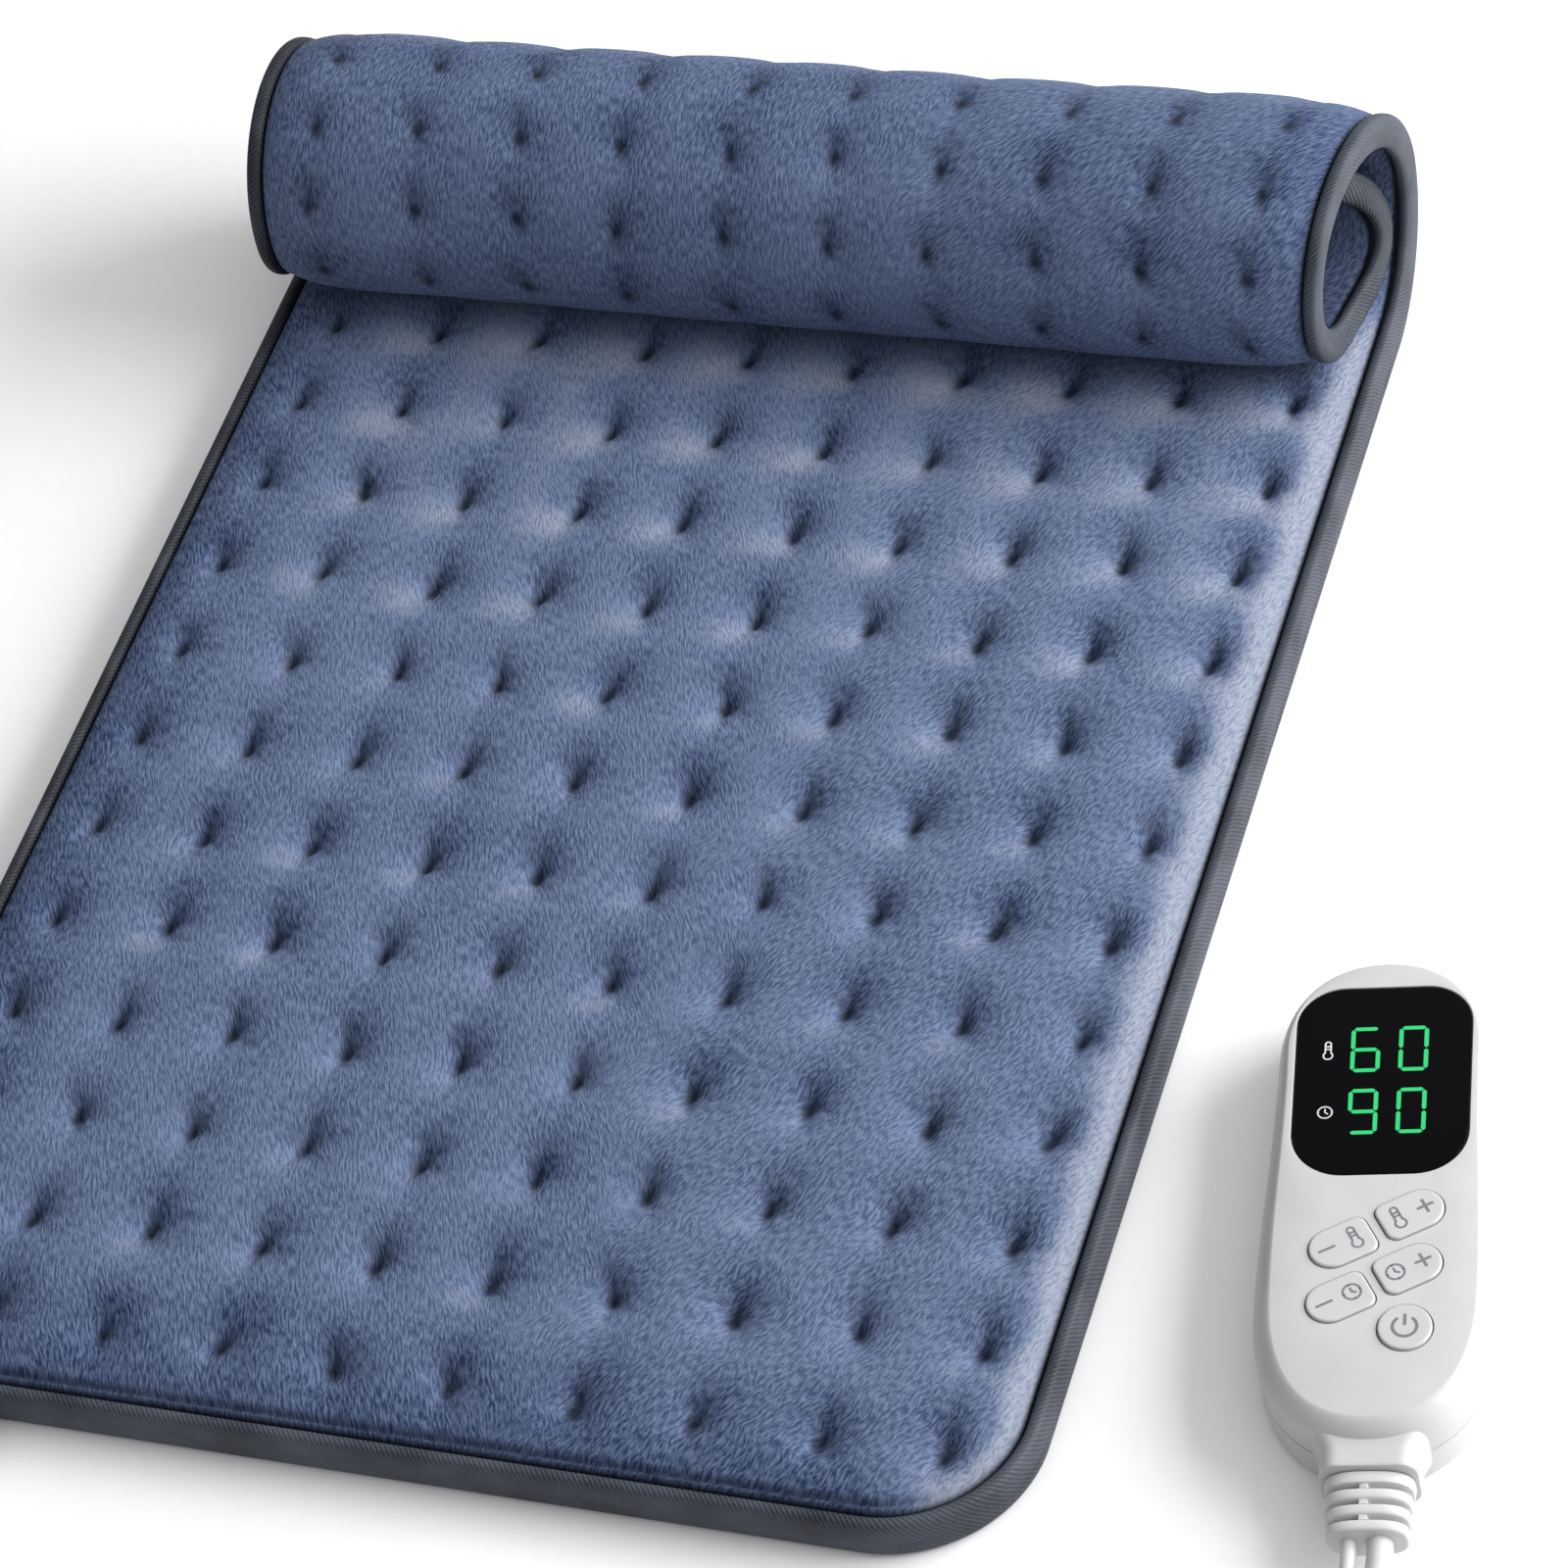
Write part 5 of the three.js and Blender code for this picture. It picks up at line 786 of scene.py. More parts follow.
def cover(name, path, pad, outer, inner, tufts, share, edge, steps, seen, rng):
    """A plush cover with its foam: each row is a closed loop, out along the tufted face and back
    along the flat inner face. The face is the full height less the fall of its edge (a power of the
    distance in), a sewn groove, the tufts' drop and a slow swell of crossed sines."""
    way = np.sign(outer)
    inset = pad.binding / MM + GAP
    corner = pad.corner / MM - inset
    half_width = path.width / 2 - inset
    start, end = inset, path.length - END_EASE - inset
    columns = tuft_places(path.width, TUFT_SIDE_MARGIN, pad.tuft_pitch / MM) - path.width / 2
    across = np.concatenate([EDGE_STEPS - half_width, eased_steps(columns, [steps] * (len(columns) - 1)),
                             half_width - EDGE_STEPS[::-1]])
    rows, cloth, runs = cover_rows(path, outer, start, end, tufts, seen)
    from_end = np.minimum(np.minimum(runs - start, end - runs), corner)
    reach = half_width - corner + np.sqrt(np.maximum(corner ** 2 - (corner - from_end) ** 2, 0))
    x = across[None, :] * reach / half_width
    inward = np.maximum(edge_distance(x, runs, half_width, start, end, corner), 0)
    ends = 1 - smooth(half_width - corner, half_width - SEAM_STOP, np.abs(x))
    # Besides the depth, the tufts give painted shade in their slits and painted shade and highlight round
    # them
    drop, slits, lie = tuft_drop(x, np.broadcast_to(cloth, x.shape), columns, rows, pad, share, way, rng)
    fall = edge[1] * np.clip(1 - inward / edge[0], 0, 1) ** EDGE_POWER
    groove = bell((inward - SEAM_AT) / SEAM_HALF) * ends
    seam = SEAM_DEPTH * groove + EDGE_ROUND * np.clip(1 - inward / EDGE_ROUND, 0, 1) ** 2
    room = smooth(0, edge[0], inward)
    pulled = drop * (EDGE_PULL + (1 - EDGE_PULL) * room)
    height = np.minimum(fall + seam + pulled + slow_swell(x, cloth) * room, abs(outer - inner) - LEAST_FOAM)
    back = np.linspace(1, -1, INNER_COLUMNS)[None, :] * reach
    face = path.point(x, runs, outer - way * height)
    lining = path.point(back, runs, inner)
    piece = make_piece(name, [skin(np.concatenate([face, lining], axis=1))], shared("velvet", velvet, pad))
    all_x = np.concatenate([x, back], axis=1)
    brushed = np.broadcast_arrays(all_x + (way > 0) * NAP_LEAN * cloth, way * cloth)
    give_uv(piece, np.stack(brushed, axis=-1))
    give_value(piece, "slant", smooth(*SLANTED, all_x))
    # How far the tufts' flanks and the edge's fall tip towards the light, for the painted light and shade
    pits, falls = [LIGHT_WAY[0] * np.gradient(form, axis=1) / np.gradient(x, axis=1)
                   + way * LIGHT_WAY[1] * np.gradient(form, axis=0) / np.gradient(cloth, axis=0)
                   for form in (drop * room, fall)]
    # Painted light by the slope of the edge's fall towards the light, paler on the right edge and darker on
    # the left, fading inside the roll; on the underside, painted shade wherever its edge falls
    falls = falls * (1 - in_roll(path, runs)) if way > 0 else UNDER_FALL_TONE * np.abs(falls)
    # Painted light and shade of the nap, 0.5 where even: by region, round the tufts, and by the slope of the
    # face towards the light
    rest = painted_region_light(path, way, x, runs, cloth, -half_width, start)
    lit_up = np.clip(rest + lie + pits * np.where(pits > 0, PALE_FLANK, 1.0) + FALL_TONE * falls, 0, 1)
    # Painted shade where the pile is drawn or sewn down, in the seam's groove, and inside the roll where
    # little light gets in
    shut = INSIDE_SHADE * smooth(*(INSIDE_TOP if way > 0 else INSIDE_UNDER), runs - path.flat)
    dark = np.maximum.reduce([slits, np.exp(-inward / SEWN_REACH), SEAM_SHADE * groove,
                              SEWN_SHADE * (inward < SEAM_AT) * ends, np.broadcast_to(shut, x.shape)])
    for label, values, within in (("lit_up", lit_up, 0.5), ("painted_shade", dark, 0.0)):
        give_value(piece, label, np.concatenate([values, np.full(back.shape, within)], axis=1))
    return piece


# Binding. The section's angle is 0 at its outside and pi where its lips are sewn to the covers.

TAPE_STEP = 1.25
TAPE_PROUD = 0.1
BEAD_POINTS = 30
BEAD_POWER = 0.7
BEAD_LOW = -1.2  # the bead sits low, below the crown of the plush
BEAD_SUNK = 0.48
BEAD_SUNK_RUN = 60
PUCKER_PITCH = 3.4
PUCKER_DRIFT = 1.4
PUCKER_DRIFTS = 90
PUCKER_SWING = (0.6, 0.4, 23)  # mean, swing and its length
PUCKER_DEPTH = 0.12
ROLL_PUCKER = 0.5  # how much deeper inside the roll
ROLL_PUCKER_RUN = 20
LIP = (0.72, 0.4)  # where its gathers are, by the section's cosine, and their half width
# Where the painted shade along the sewn lip lies, by the section's cosine, and its half width
SEWN_LIP = (0.9, 0.28)
LEFT_RUN = (0.2, 0.9)  # how far the tape's outside faces left, for its painted shade


def rounded_path(half_width, start, end, corner, step):
    """Places round a rectangle with rounded corners, with the way out from each, by even steps:
    from the middle of the far end, where the join stays hidden in the roll."""
    straight = half_width - corner
    corners = [(-straight, end - corner), (-straight, start + corner),
               (straight, start + corner), (straight, end - corner)]
    count = max(8, int(corner * QUARTER / step))
    sides = [arc(corner, k * QUARTER, (k + 1) * QUARTER, x, run, count)
             for k, (x, run) in enumerate(corners, start=1)]
    outline = np.concatenate([[[0.0, end]], *sides, [[0.0, end]]])
    total = run_along(outline)[-1]
    count = int(total / step)
    places = even_steps(outline[:-1], count)
    return places, -left_of(places), np.arange(count) * total / count, total


def binding(path, pad, rng):
    """Folded tape round the pad's edge: a squared oval section carried round the outline. Gathers
    of a few mm pitch ripple its sewn lips, most where the tape turns inside the roll."""
    width = pad.binding / MM
    places, out, at, total = rounded_path(
        path.width / 2 - width, width, path.length - width, pad.corner / MM - width, TAPE_STEP)
    runs = places[:, 1:]
    angle = 4 * QUARTER * np.arange(BEAD_POINTS) / BEAD_POINTS
    section_out = width / 2 + (width / 2 + TAPE_PROUD) * signed_power(np.cos(angle), BEAD_POWER)
    section_up = BEAD_LOW + (path.half + BEAD_LOW) * signed_power(np.sin(angle), BEAD_POWER)
    waves = 2 * np.pi * at[:, None] / PUCKER_PITCH
    drift = np.interp(at, np.linspace(0, total, PUCKER_DRIFTS), rng.normal(0, PUCKER_DRIFT, PUCKER_DRIFTS))
    drift = drift[:, None]
    mean, swing, length = PUCKER_SWING
    gather = np.sin(waves + drift) * (mean + swing * np.sin(at[:, None] / length + drift))
    lip = np.exp(-((np.cos(angle) + LIP[0]) / LIP[1]) ** 2) * np.abs(np.sin(angle))
    rolled = smooth(path.crease, path.flat + ROLL_PUCKER_RUN, runs)
    amount = np.where(section_up > BEAD_LOW, PUCKER_DEPTH + ROLL_PUCKER * rolled, PUCKER_DEPTH)
    up = section_up - np.sign(section_up - BEAD_LOW) * amount * lip * (1 + gather) / 2
    # Nothing presses on the roll's ends, so there the tape's outer half sits down below the plush
    sunk = BEAD_SUNK * smooth(path.flat, path.flat + BEAD_SUNK_RUN, runs)
    up = np.where(up < BEAD_LOW, BEAD_LOW + (up - BEAD_LOW) * (1 - sunk), up)
    x, run = [places[:, k:k + 1] + out[:, k:k + 1] * section_out for k in (0, 1)]
    piece = make_piece("binding_tape", [skin(path.point(x, run, up), closed=True)],
                       shared("twill", twill_tape, pad))
    section = np.stack([section_out, section_up], axis=-1)
    around = run_along(np.concatenate([section, section[:1]]))
    uv = np.stack(np.broadcast_arrays(at[:, None], around[:-1]), axis=-1)
    give_uv(piece, uv, period=np.array([total, around[-1]]))
    # Painted shade along the sewn lips
    sewn = np.exp(-((np.cos(angle) + SEWN_LIP[0]) / SEWN_LIP[1]) ** 2)
    give_value(piece, "lip", np.broadcast_to(sewn, x.shape))
    # Painted shade on the run along the left edge and inside the roll
    away = np.maximum(smooth(*LEFT_RUN, -out[:, :1]), INSIDE_SHADE * smooth(*INSIDE_UNDER, runs - path.flat))
    give_value(piece, "away", np.broadcast_to(away, x.shape))
    return piece


class HEATPAD_OT_covers(bpy.types.Operator):
    """Make the two tufted plush covers"""

    bl_idname = "heatpad.covers"
    bl_label = "Plush covers"

    def execute(self, context):
        pad = context.scene.heating_pad_settings
        path = PadPath(pad)
        rng = np.random.default_rng(SEED)
        rows = tuft_places(path.length, TUFT_END_MARGIN, pad.tuft_pitch / MM)
        top = cover("plush_top", path, pad, path.half, TOP_INNER, rows, 1.0,
                    TOP_EDGE, TOP_STEPS, (0, path.flat), rng)
        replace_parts(top, "top_cover")
        rows = UNDER_ROW_AT + np.arange(*UNDER_ROWS) * pad.under_pitch / MM
        under = cover("plush_under", path, pad, -path.half, BOTTOM_INNER, rows, UNDER_PULL,
                      UNDER_EDGE, UNDER_STEPS, path.flat + np.array(UNDER_SEEN), rng)
        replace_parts(under, "bottom_cover")
        return {"FINISHED"}


class HEATPAD_OT_binding(bpy.types.Operator):
    """Make the folded tape round the pad's edge"""

    bl_idname = "heatpad.binding"
    bl_label = "Edge binding"

    def execute(self, context):
        pad = context.scene.heating_pad_settings
        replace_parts(binding(PadPath(pad), pad, np.random.default_rng(SEED + 1)), "edge_binding")
        return {"FINISHED"}


class HEATPAD_OT_heating_layer(bpy.types.Operator):
    """Finish the felt, the wire and the cut-outs between the covers"""

    bl_idname = "heatpad.heating_layer"
    bl_label = "Heating layer"

    def execute(self, context):
        # Needled felt: matted grey fibres, 1 mm clumps
        felt = moulded("needled_felt", "#9b9da1", "#7d7f84", 0.5, 0.95, relief=0.3)
        # Silicone rubber insulation, extruded: red, satin
        silicone = moulded("red_silicone", "#b94c44", "#a03c36", 0.3, 0.5)
        dress(felt, "wire_carrier")
        dress(silicone, "heating_wire")
        dress(blue_sleeve(), "thermal_cutout_1", "thermal_cutout_2")
        return {"FINISHED"}


# Socket and connector, on one line through the pad's middle

SOCKET_FROM_SIDE = 45.5
SOCKET_SIZE = (21, 11, 16)  # across, up and along
SOCKET_WALL = 2.2
SOCKET_FLOOR = 5
SOCKET_CORNER = 2
MOUTH_CORNER = 1
CONNECTOR_SIZE = (20, 22, 10.4)  # across, along and up
CONNECTOR_TAIL = 11
CONNECTOR_STEPS = 110
NOSE_CORNER = 0.8
NOSE_BEVEL = 0.4
GRIP_COUNT = 4
GRIP_PITCH = 2.4
GRIP_START = 5
GRIP_HALF = 0.55
GRIP_DEPTH = 1.2  # taken from the height, half from each face
GRIP_ENDS = (0.2, 0.3)  # as shares of the width, from the middle


def socket_line(path):
    """Where the socket's line is, across and up."""
    return SOCKET_FROM_SIDE - path.width / 2, path.half


def between_keys(keys, count):
    """Stations along a moulding, with its width and height at each: straight from key to key."""
    keys = np.array(keys)
    at = np.unique(np.concatenate([np.linspace(keys[0, 0], keys[-1, 0], count), keys[:, 0]]))
    width, height = [np.interp(at, keys[:, 0], keys[:, k])[:, None] for k in (1, 2)]
    return at[:, None], width, height


def pad_socket(path):
    """Moulded socket: a rounded sleeve, whose outside turns in at the mouth and runs back to a floor."""
    wide, high, deep = SOCKET_SIZE
    back = path.front - GAP
    face = back - deep
    outside = [(0.5, back), (0, back - 0.5), (0, face + 0.6), (0.25, face + 0.15), (0.6, face)]
    mouth = [(SOCKET_WALL - 0.4, face), (SOCKET_WALL, face + 0.4), (SOCKET_WALL, back - SOCKET_FLOOR)]
    rings = [upright(rounded_rectangle(wide - 2 * inset, high - 2 * inset, corner), y, *socket_line(path))
             for layers, corner in ((outside, SOCKET_CORNER), (mouth, MOUTH_CORNER)) for inset, y in layers]
    return make_piece("socket_housing", [skin(rings)], black_nylon(), sharp=40)


def lead_connector(path, lead):
    """Moulded connector: squared ovals that taper to a round tail, with finger grips pressed into
    both faces as rounded grooves, and a nose that fills the socket's mouth."""
    x, z = socket_line(path)
    wide, deep, high = CONNECTOR_SIZE
    face = path.front - GAP - SOCKET_SIZE[2] - GAP
    back, end = face - deep, face - deep - CONNECTOR_TAIL
    tail = [(end, 1.4), (end + 0.6, 2.4), (back - 3, 3.6), (back - 1.5, 4.8)]
    y, width, height = between_keys(
        [(at, lead + more, lead + more) for at, more in tail]
        + [(back + 1, 0.68 * wide, 0.92 * high), (back + 4, 0.93 * wide, high), (back + 7, wide, high),
           (face - 0.9, wide, high), (face - 0.3, wide - 0.4, high - 0.4), (face, wide - 1.2, high - 1.2)],
        CONNECTOR_STEPS)
    section = oval(1, 1)
    grips = face - GRIP_START - GRIP_PITCH * np.arange(GRIP_COUNT)
    grooves = np.exp(-((y - grips) / GRIP_HALF) ** 2).sum(axis=1, keepdims=True)
    middle = 1 - smooth(*GRIP_ENDS, np.abs(section[:, 0]))
    lift = section[:, 1] * (height - GRIP_DEPTH * grooves * middle)
    rings = np.stack(np.broadcast_arrays(x + section[:, 0] * width, y, z + lift), axis=-1)
    mouth = np.array(SOCKET_SIZE[:2]) - 2 * SOCKET_WALL - 2 * GAP
    tip = face + SOCKET_SIZE[2] - SOCKET_FLOOR - GAP
    nose = [upright(rounded_rectangle(*(mouth - 2 * inset), NOSE_CORNER), y, x, z)
            for inset, y in ((0, face - 1), (0, tip - NOSE_BEVEL), (NOSE_BEVEL, tip))]
    return make_piece("connector_body", [skin(rings), skin(nose)], vinyl(), sharp=40)


class HEATPAD_OT_socket(bpy.types.Operator):
    """Make the pad's socket and the connector in it"""

    bl_idname = "heatpad.socket"
    bl_label = "Socket and connector"

    def execute(self, context):
        path = PadPath(context.scene.heating_pad_settings)
        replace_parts(pad_socket(path), "pad_socket")
        connector = lead_connector(path, context.scene.lead_settings.pad_lead / MM)
        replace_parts(connector, "lead_connector")
        dress(brass(), *[f"socket_pin_{k}" for k in range(1, 5)])
        return {"FINISHED"}


# Controller, in its own frame: +y towards the display end, z up from its back

CASE_WALL = 2
PANEL = 2.4
PARTING = 9.5
PARTING_EDGE = ((0, 0.3), (0.1, 0.08), (0.35, 0))  # away from the parting line, and in from the side
BEVEL_TOP = 2.4
BEVEL_BOTTOM = 5.2
BEVEL_HEIGHT = 6.5
BEVEL_POWER = 1.5
BEVEL_RINGS = 15
INNER_BEVEL = 0.8  # the share of the rim's width that the inside follows
BACK_EDGE = (2.6, 2.8)  # how far in and up the back's rounded edge reaches
BACK_RINGS = 9
FLOOR_EDGE = (1.4, 1.6)  # and the same inside
NECK = (22, 5.5, 15.5)  # across, along and up
NECK_CORNER = 4.2
NECK_EDGE = ((0, 0.5), (0.08, 0.18), (0.3, 0.04))  # along from its end, and in
NECK_STEPS = (0.8, 7, 26)  # from its end, into the case, and how many
FLARE = (3.0, 8, 7.5, 1.5)  # where it starts, its length, and what it adds across and up
SHOULDER = 37
DOME = 27
DOME_FLAT = 14
DOME_EASE = 0.63
SHOULDER_EASE = (17, 13)
SIDE_EASE = 25
BESIDE_PAD = 61
UP_FROM_EDGE = 103
CURVE_POINTS = 120
OUTLINE_POINTS = 260
WINDOW = (40, 53.6, 1.2)
WINDOW_Y = 30.9
WINDOW_RADII = (10.6, 12)
WINDOW_LEDGE = 2
WINDOW_ROUND = 0.2
HOLE_EDGE = ((0.12, 0), (0.03, 0.06), (0, 0.15))  # outwards, and down from the panel
SCREWS = [(x, y) for y in (-2, -44) for x in (-20.3, 20.3)]
SCREW_SINK = (2.6, 2.3)  # radius and depth
BOSS_WALL = 0.9
BOSS_NEAR = 10  # a boss stands out from the side that is nearer than this
BUTTON = (15, 10.5, 2.4)
POWER_DIAMETER = 12.2
BUTTON_TILT = math.radians(27.5)
BUTTONS = {
    "temp_down": (-7.5, -15.6, BUTTON_TILT), "temp_up": (8, -7.3, BUTTON_TILT + math.pi),
    "timer_down": (-7.5, -30.6, BUTTON_TILT), "timer_up": (8, -22.3, BUTTON_TILT + math.pi),
    "power": (7.5, -38.7, None),
}


class Case:
    """The controller's place and outline, from its settings."""

    def __init__(self, scene):
        settings = scene.controller_settings
        pad = PadPath(scene.heating_pad_settings)
        self.length = settings.length / MM
        self.height = settings.height / MM
        self.proud = settings.button_proud / MM
        self.low = -self.length / 2
        self.neck_end = self.low - NECK[1]
        self.neck_z = PARTING + GAP / 2
        self.turn = settings.turn
        self.place = np.array([pad.width / 2 + BESIDE_PAD, pad.front + UP_FROM_EDGE, 0])
        self.outline = self.draw(settings.width / MM / 2, settings.top_width / MM / 2)
        self.inward = left_of(self.outline)

    def draw(self, side, top_side):
        """Three curves up the right side, each a cubic of four points, and their mirror image."""
        low, top = self.low, self.length / 2
        widest, dome = low + SHOULDER, top - DOME
        curves = np.array([
            [(0, low), (SHOULDER_EASE[0], low), (side, low + SHOULDER_EASE[1]), (side, widest)],
            [(side, widest), (side, widest + SIDE_EASE), (top_side, dome - SIDE_EASE), (top_side, dome)],
            [(top_side, dome), (top_side, dome + DOME_EASE * DOME), (DOME_FLAT, top), (0, top)]])
        t = np.linspace(0, 1, CURVE_POINTS)[:, None]
        weights = [(1 - t) ** 3, 3 * t * (1 - t) ** 2, 3 * t ** 2 * (1 - t), t ** 3]
        right = np.concatenate([sum(w * p for w, p in zip(weights, curve)) for curve in curves])
        return even_steps(np.concatenate([right, (right * [-1, 1])[::-1]]), OUTLINE_POINTS)

    def ring(self, z, share=0.0, extra=0.0):
        """The outline drawn in, square to itself, by a share of the rim's width and a bit more."""
        down = np.clip((self.length / 2 - self.outline[:, 1:]) / self.length, 0, 1)
        inset = share * (BEVEL_TOP + (BEVEL_BOTTOM - BEVEL_TOP) * down) + extra
        return at_height(self.outline + self.inward * inset, z)

    def stand(self, *skins):
        """Turns skins from the controller's frame and sets them in their place."""
        return [(turned(points, self.turn) + self.place, faces) for points, faces in skins]

    def spot(self, x, y, z):
        return turned(np.array([[x, y, z]], dtype=float), self.turn)[0] + self.place


def inside(points, loop):
    """Which points lie in a loop: those whose level line crosses it an odd number of times."""
    a, b = loop, np.roll(loop, -1, axis=0)
    x, y = points[:, :1], points[:, 1:]
    spans = (a[:, 1] > y) != (b[:, 1] > y)
    rise = np.where(b[:, 1] == a[:, 1], 1e-9, b[:, 1] - a[:, 1])
    crossing = a[:, 0] + (y - a[:, 1]) * (b[:, 0] - a[:, 0]) / rise
    return (spans & (x < crossing)).sum(axis=1) % 2 == 1


def panel(outer, holes, z):
    """A flat face inside a loop and outside others, in triangles."""
    loops = [np.asarray(loop)[:, :2] for loop in (outer, *holes)]
    points = np.concatenate(loops)
    edges, start = [], 0
    for loop in loops:
        ids = start + np.arange(len(loop))
        edges.append(np.stack([ids, np.roll(ids, -1)], axis=-1))
        start += len(loop)
    found = delaunay_2d_cdt(points.tolist(), np.concatenate(edges).tolist(), [], 0, 1e-6)
    flat = np.array([tuple(v) for v in found[0]])
    faces = np.array(found[2])
    middles = flat[faces].mean(axis=1)
    kept = inside(middles, loops[0])
    for hole in loops[1:]:
        kept &= ~inside(middles, hole)
    return at_height(flat, z), faces[kept].tolist()


def window_outline(margin, count=150):
    """The window's outline, larger by a margin."""
    wide, high = WINDOW[0] + 2 * margin, WINDOW[1] + 2 * margin
    return rounded_rectangle(wide, high, *[r + margin for r in WINDOW_RADII], count) + [0, WINDOW_Y]


def button_outline(name, margin, count=72):
    """A button's outline, larger by a margin: round at one end, with small corners at the other, or
    a plain circle for the power button."""
    x, y, tilt = BUTTONS[name]
    if tilt is None:
        return circle(POWER_DIAMETER / 2 + margin, x, y, count)
    half_x, half_y, corner = BUTTON[0] / 2 + margin, BUTTON[1] / 2 + margin, BUTTON[2] + margin
    flat = np.concatenate([arc(corner, -QUARTER, 0, half_x - corner, corner - half_y, 12),
                           arc(corner, 0, QUARTER, half_x - corner, half_y - corner, 12),
                           arc(half_y, QUARTER, 3 * QUARTER, half_y - half_x, 0, 40)])
    return turned(even_steps(flat, count), tilt) + [x, y]


def rounded_rim(outline, top, radius, count):
    """Rings over a rim rounded by a quarter turn: inwards by one less the cosine, up by the sine."""
    return [at_height(outline(-radius * (1 - math.cos(a))), top - radius * (1 - math.sin(a)))
            for a in np.linspace(0, QUARTER, count)]


def front_shell(case):
    """Front half of the case: rings up the side and over the sloped rim, a quarter of a squared
    oval, to the flat panel, with its window seat and button holes, and back down inside."""
    top, low = case.height, PARTING + GAP
    slope, under = top - BEVEL_HEIGHT, top - PANEL
    t = np.linspace(0, QUARTER, BEVEL_RINGS)
    share = 1 - np.cos(t) ** (2 / BEVEL_POWER)
    rise = np.sin(t) ** (2 / BEVEL_POWER)
    outside = [case.ring(low + up, extra=inset) for up, inset in PARTING_EDGE]
    outside += [case.ring(slope + BEVEL_HEIGHT * r, share=s) for s, r in zip(share, rise)]
    inner = [case.ring(low, extra=CASE_WALL), case.ring(slope, extra=CASE_WALL),
             case.ring(under, share=INNER_BEVEL, extra=CASE_WALL)]
    parts = [wall(outside), wall([inner[0], outside[0]]), wall(inner[::-1])]
    ledge = top - WINDOW[2] - GAP
    holes = []
    for outline, steps in [(window_outline, [(GAP, ledge), (-WINDOW_LEDGE, ledge), (-WINDOW_LEDGE, under)]),
                           *[(partial(button_outline, name), [(GAP, under)]) for name in BUTTONS]]:
        steps = [(GAP + out, top - down) for out, down in HOLE_EDGE] + steps
        holes.append([at_height(outline(margin), z) for margin, z in steps])
    parts += [wall(hole) for hole in holes]
    parts.append(panel(outside[-1], [hole[0] for hole in holes], top))
    parts.append(panel(inner[-1], [hole[-1] for hole in holes], under))
    return make_piece("shell_front", case.stand(*parts), abs_shell(), sharp=32, weld=True)


def boss_reach(case, radius):
    """How far in from the outline, square to it, the far sides of the screws' bosses lie: the way to
    a boss's middle plus half its chord on that line, and 0 where the line misses it."""
    reach = np.zeros(len(case.outline))
    for screw in SCREWS:
        gap = np.array(screw) - case.outline
        middle = (gap * case.inward).sum(axis=1)
        chord = radius ** 2 - (gap ** 2).sum(axis=1) + middle ** 2
        meets = (chord > 0) & (middle < BOSS_NEAR)
        reach = np.maximum(reach, np.where(meets, middle + np.sqrt(np.maximum(chord, 0)), 0))
    return reach[:, None]


def rear_shell(case):
    """Rear half of the case: a flat back with four screw wells, a rounded edge, and straight sides.
    Inside, the wells' bosses stand out from the side wall."""
    t = np.linspace(0, QUARTER, BACK_RINGS)
    outside = [case.ring(BACK_EDGE[1] * up, extra=BACK_EDGE[0] * (1 - out))
               for up, out in zip(1 - np.cos(t), np.sin(t))]
    outside += [case.ring(PARTING - down, extra=inset) for down, inset in PARTING_EDGE[::-1]]
    radius, depth = SCREW_SINK
    boss = boss_reach(case, radius + BOSS_WALL)
    edge_top = CASE_WALL + FLOOR_EDGE[1]
    inner = [case.ring(PARTING, extra=CASE_WALL), case.ring(edge_top, extra=CASE_WALL)]
    for z in (depth + BOSS_WALL, CASE_WALL):
        edge = FLOOR_EDGE[0] * (edge_top - z) / FLOOR_EDGE[1]
        inner.append(case.ring(z, extra=np.maximum(CASE_WALL + edge, boss)))
    parts = [wall(outside), wall([outside[-1], inner[0]]), wall(inner), panel(inner[-1], [], CASE_WALL)]
    wells = [circle(radius, x, y) for x, y in SCREWS]
    for well in wells:
        parts += [wall([at_height(well, 0), at_height(well, depth)]), panel(well, [], depth)]
    parts.append(panel(outside[0], wells, 0))
    return make_piece("shell_rear", case.stand(*parts), abs_shell(), sharp=32, weld=True)


def case_neck(case):
    """Neck that carries the strain relief: rounded rectangles that flare into the shoulders by the
    square of the distance."""
    first, into, count = NECK_STEPS
    rows = [(case.neck_end + along, inset) for along, inset in NECK_EDGE]
    rows += [(y, 0) for y in np.linspace(case.neck_end + first, case.low + into, count)]
    y, edge = np.array(rows).T
    start, length, wider, taller = FLARE
    flare = np.clip((y - case.neck_end - start) / length, 0, None) ** 2
    width = NECK[0] - 2 * edge + wider * flare
    height = NECK[2] - 2 * edge + taller * flare
    rings = [upright(rounded_rectangle(wide, high, NECK_CORNER), at, 0, case.neck_z)
             for at, wide, high in zip(y, width, height)]
    return make_piece("case_neck", case.stand(skin(rings)), abs_shell(), sharp=40)


class HEATPAD_OT_shells(bpy.types.Operator):
    """Make the controller's two shells and its neck"""

    bl_idname = "heatpad.shells"
    bl_label = "Controller shells"

    def execute(self, context):
        case = Case(context.scene)
        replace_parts(front_shell(case), "front_shell")
        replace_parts(rear_shell(case), "rear_shell")
        case_neck(case)
        return {"FINISHED"}


# Signs and digits: thin printed or lit shapes on a surface. A sign has a size and a line's width.

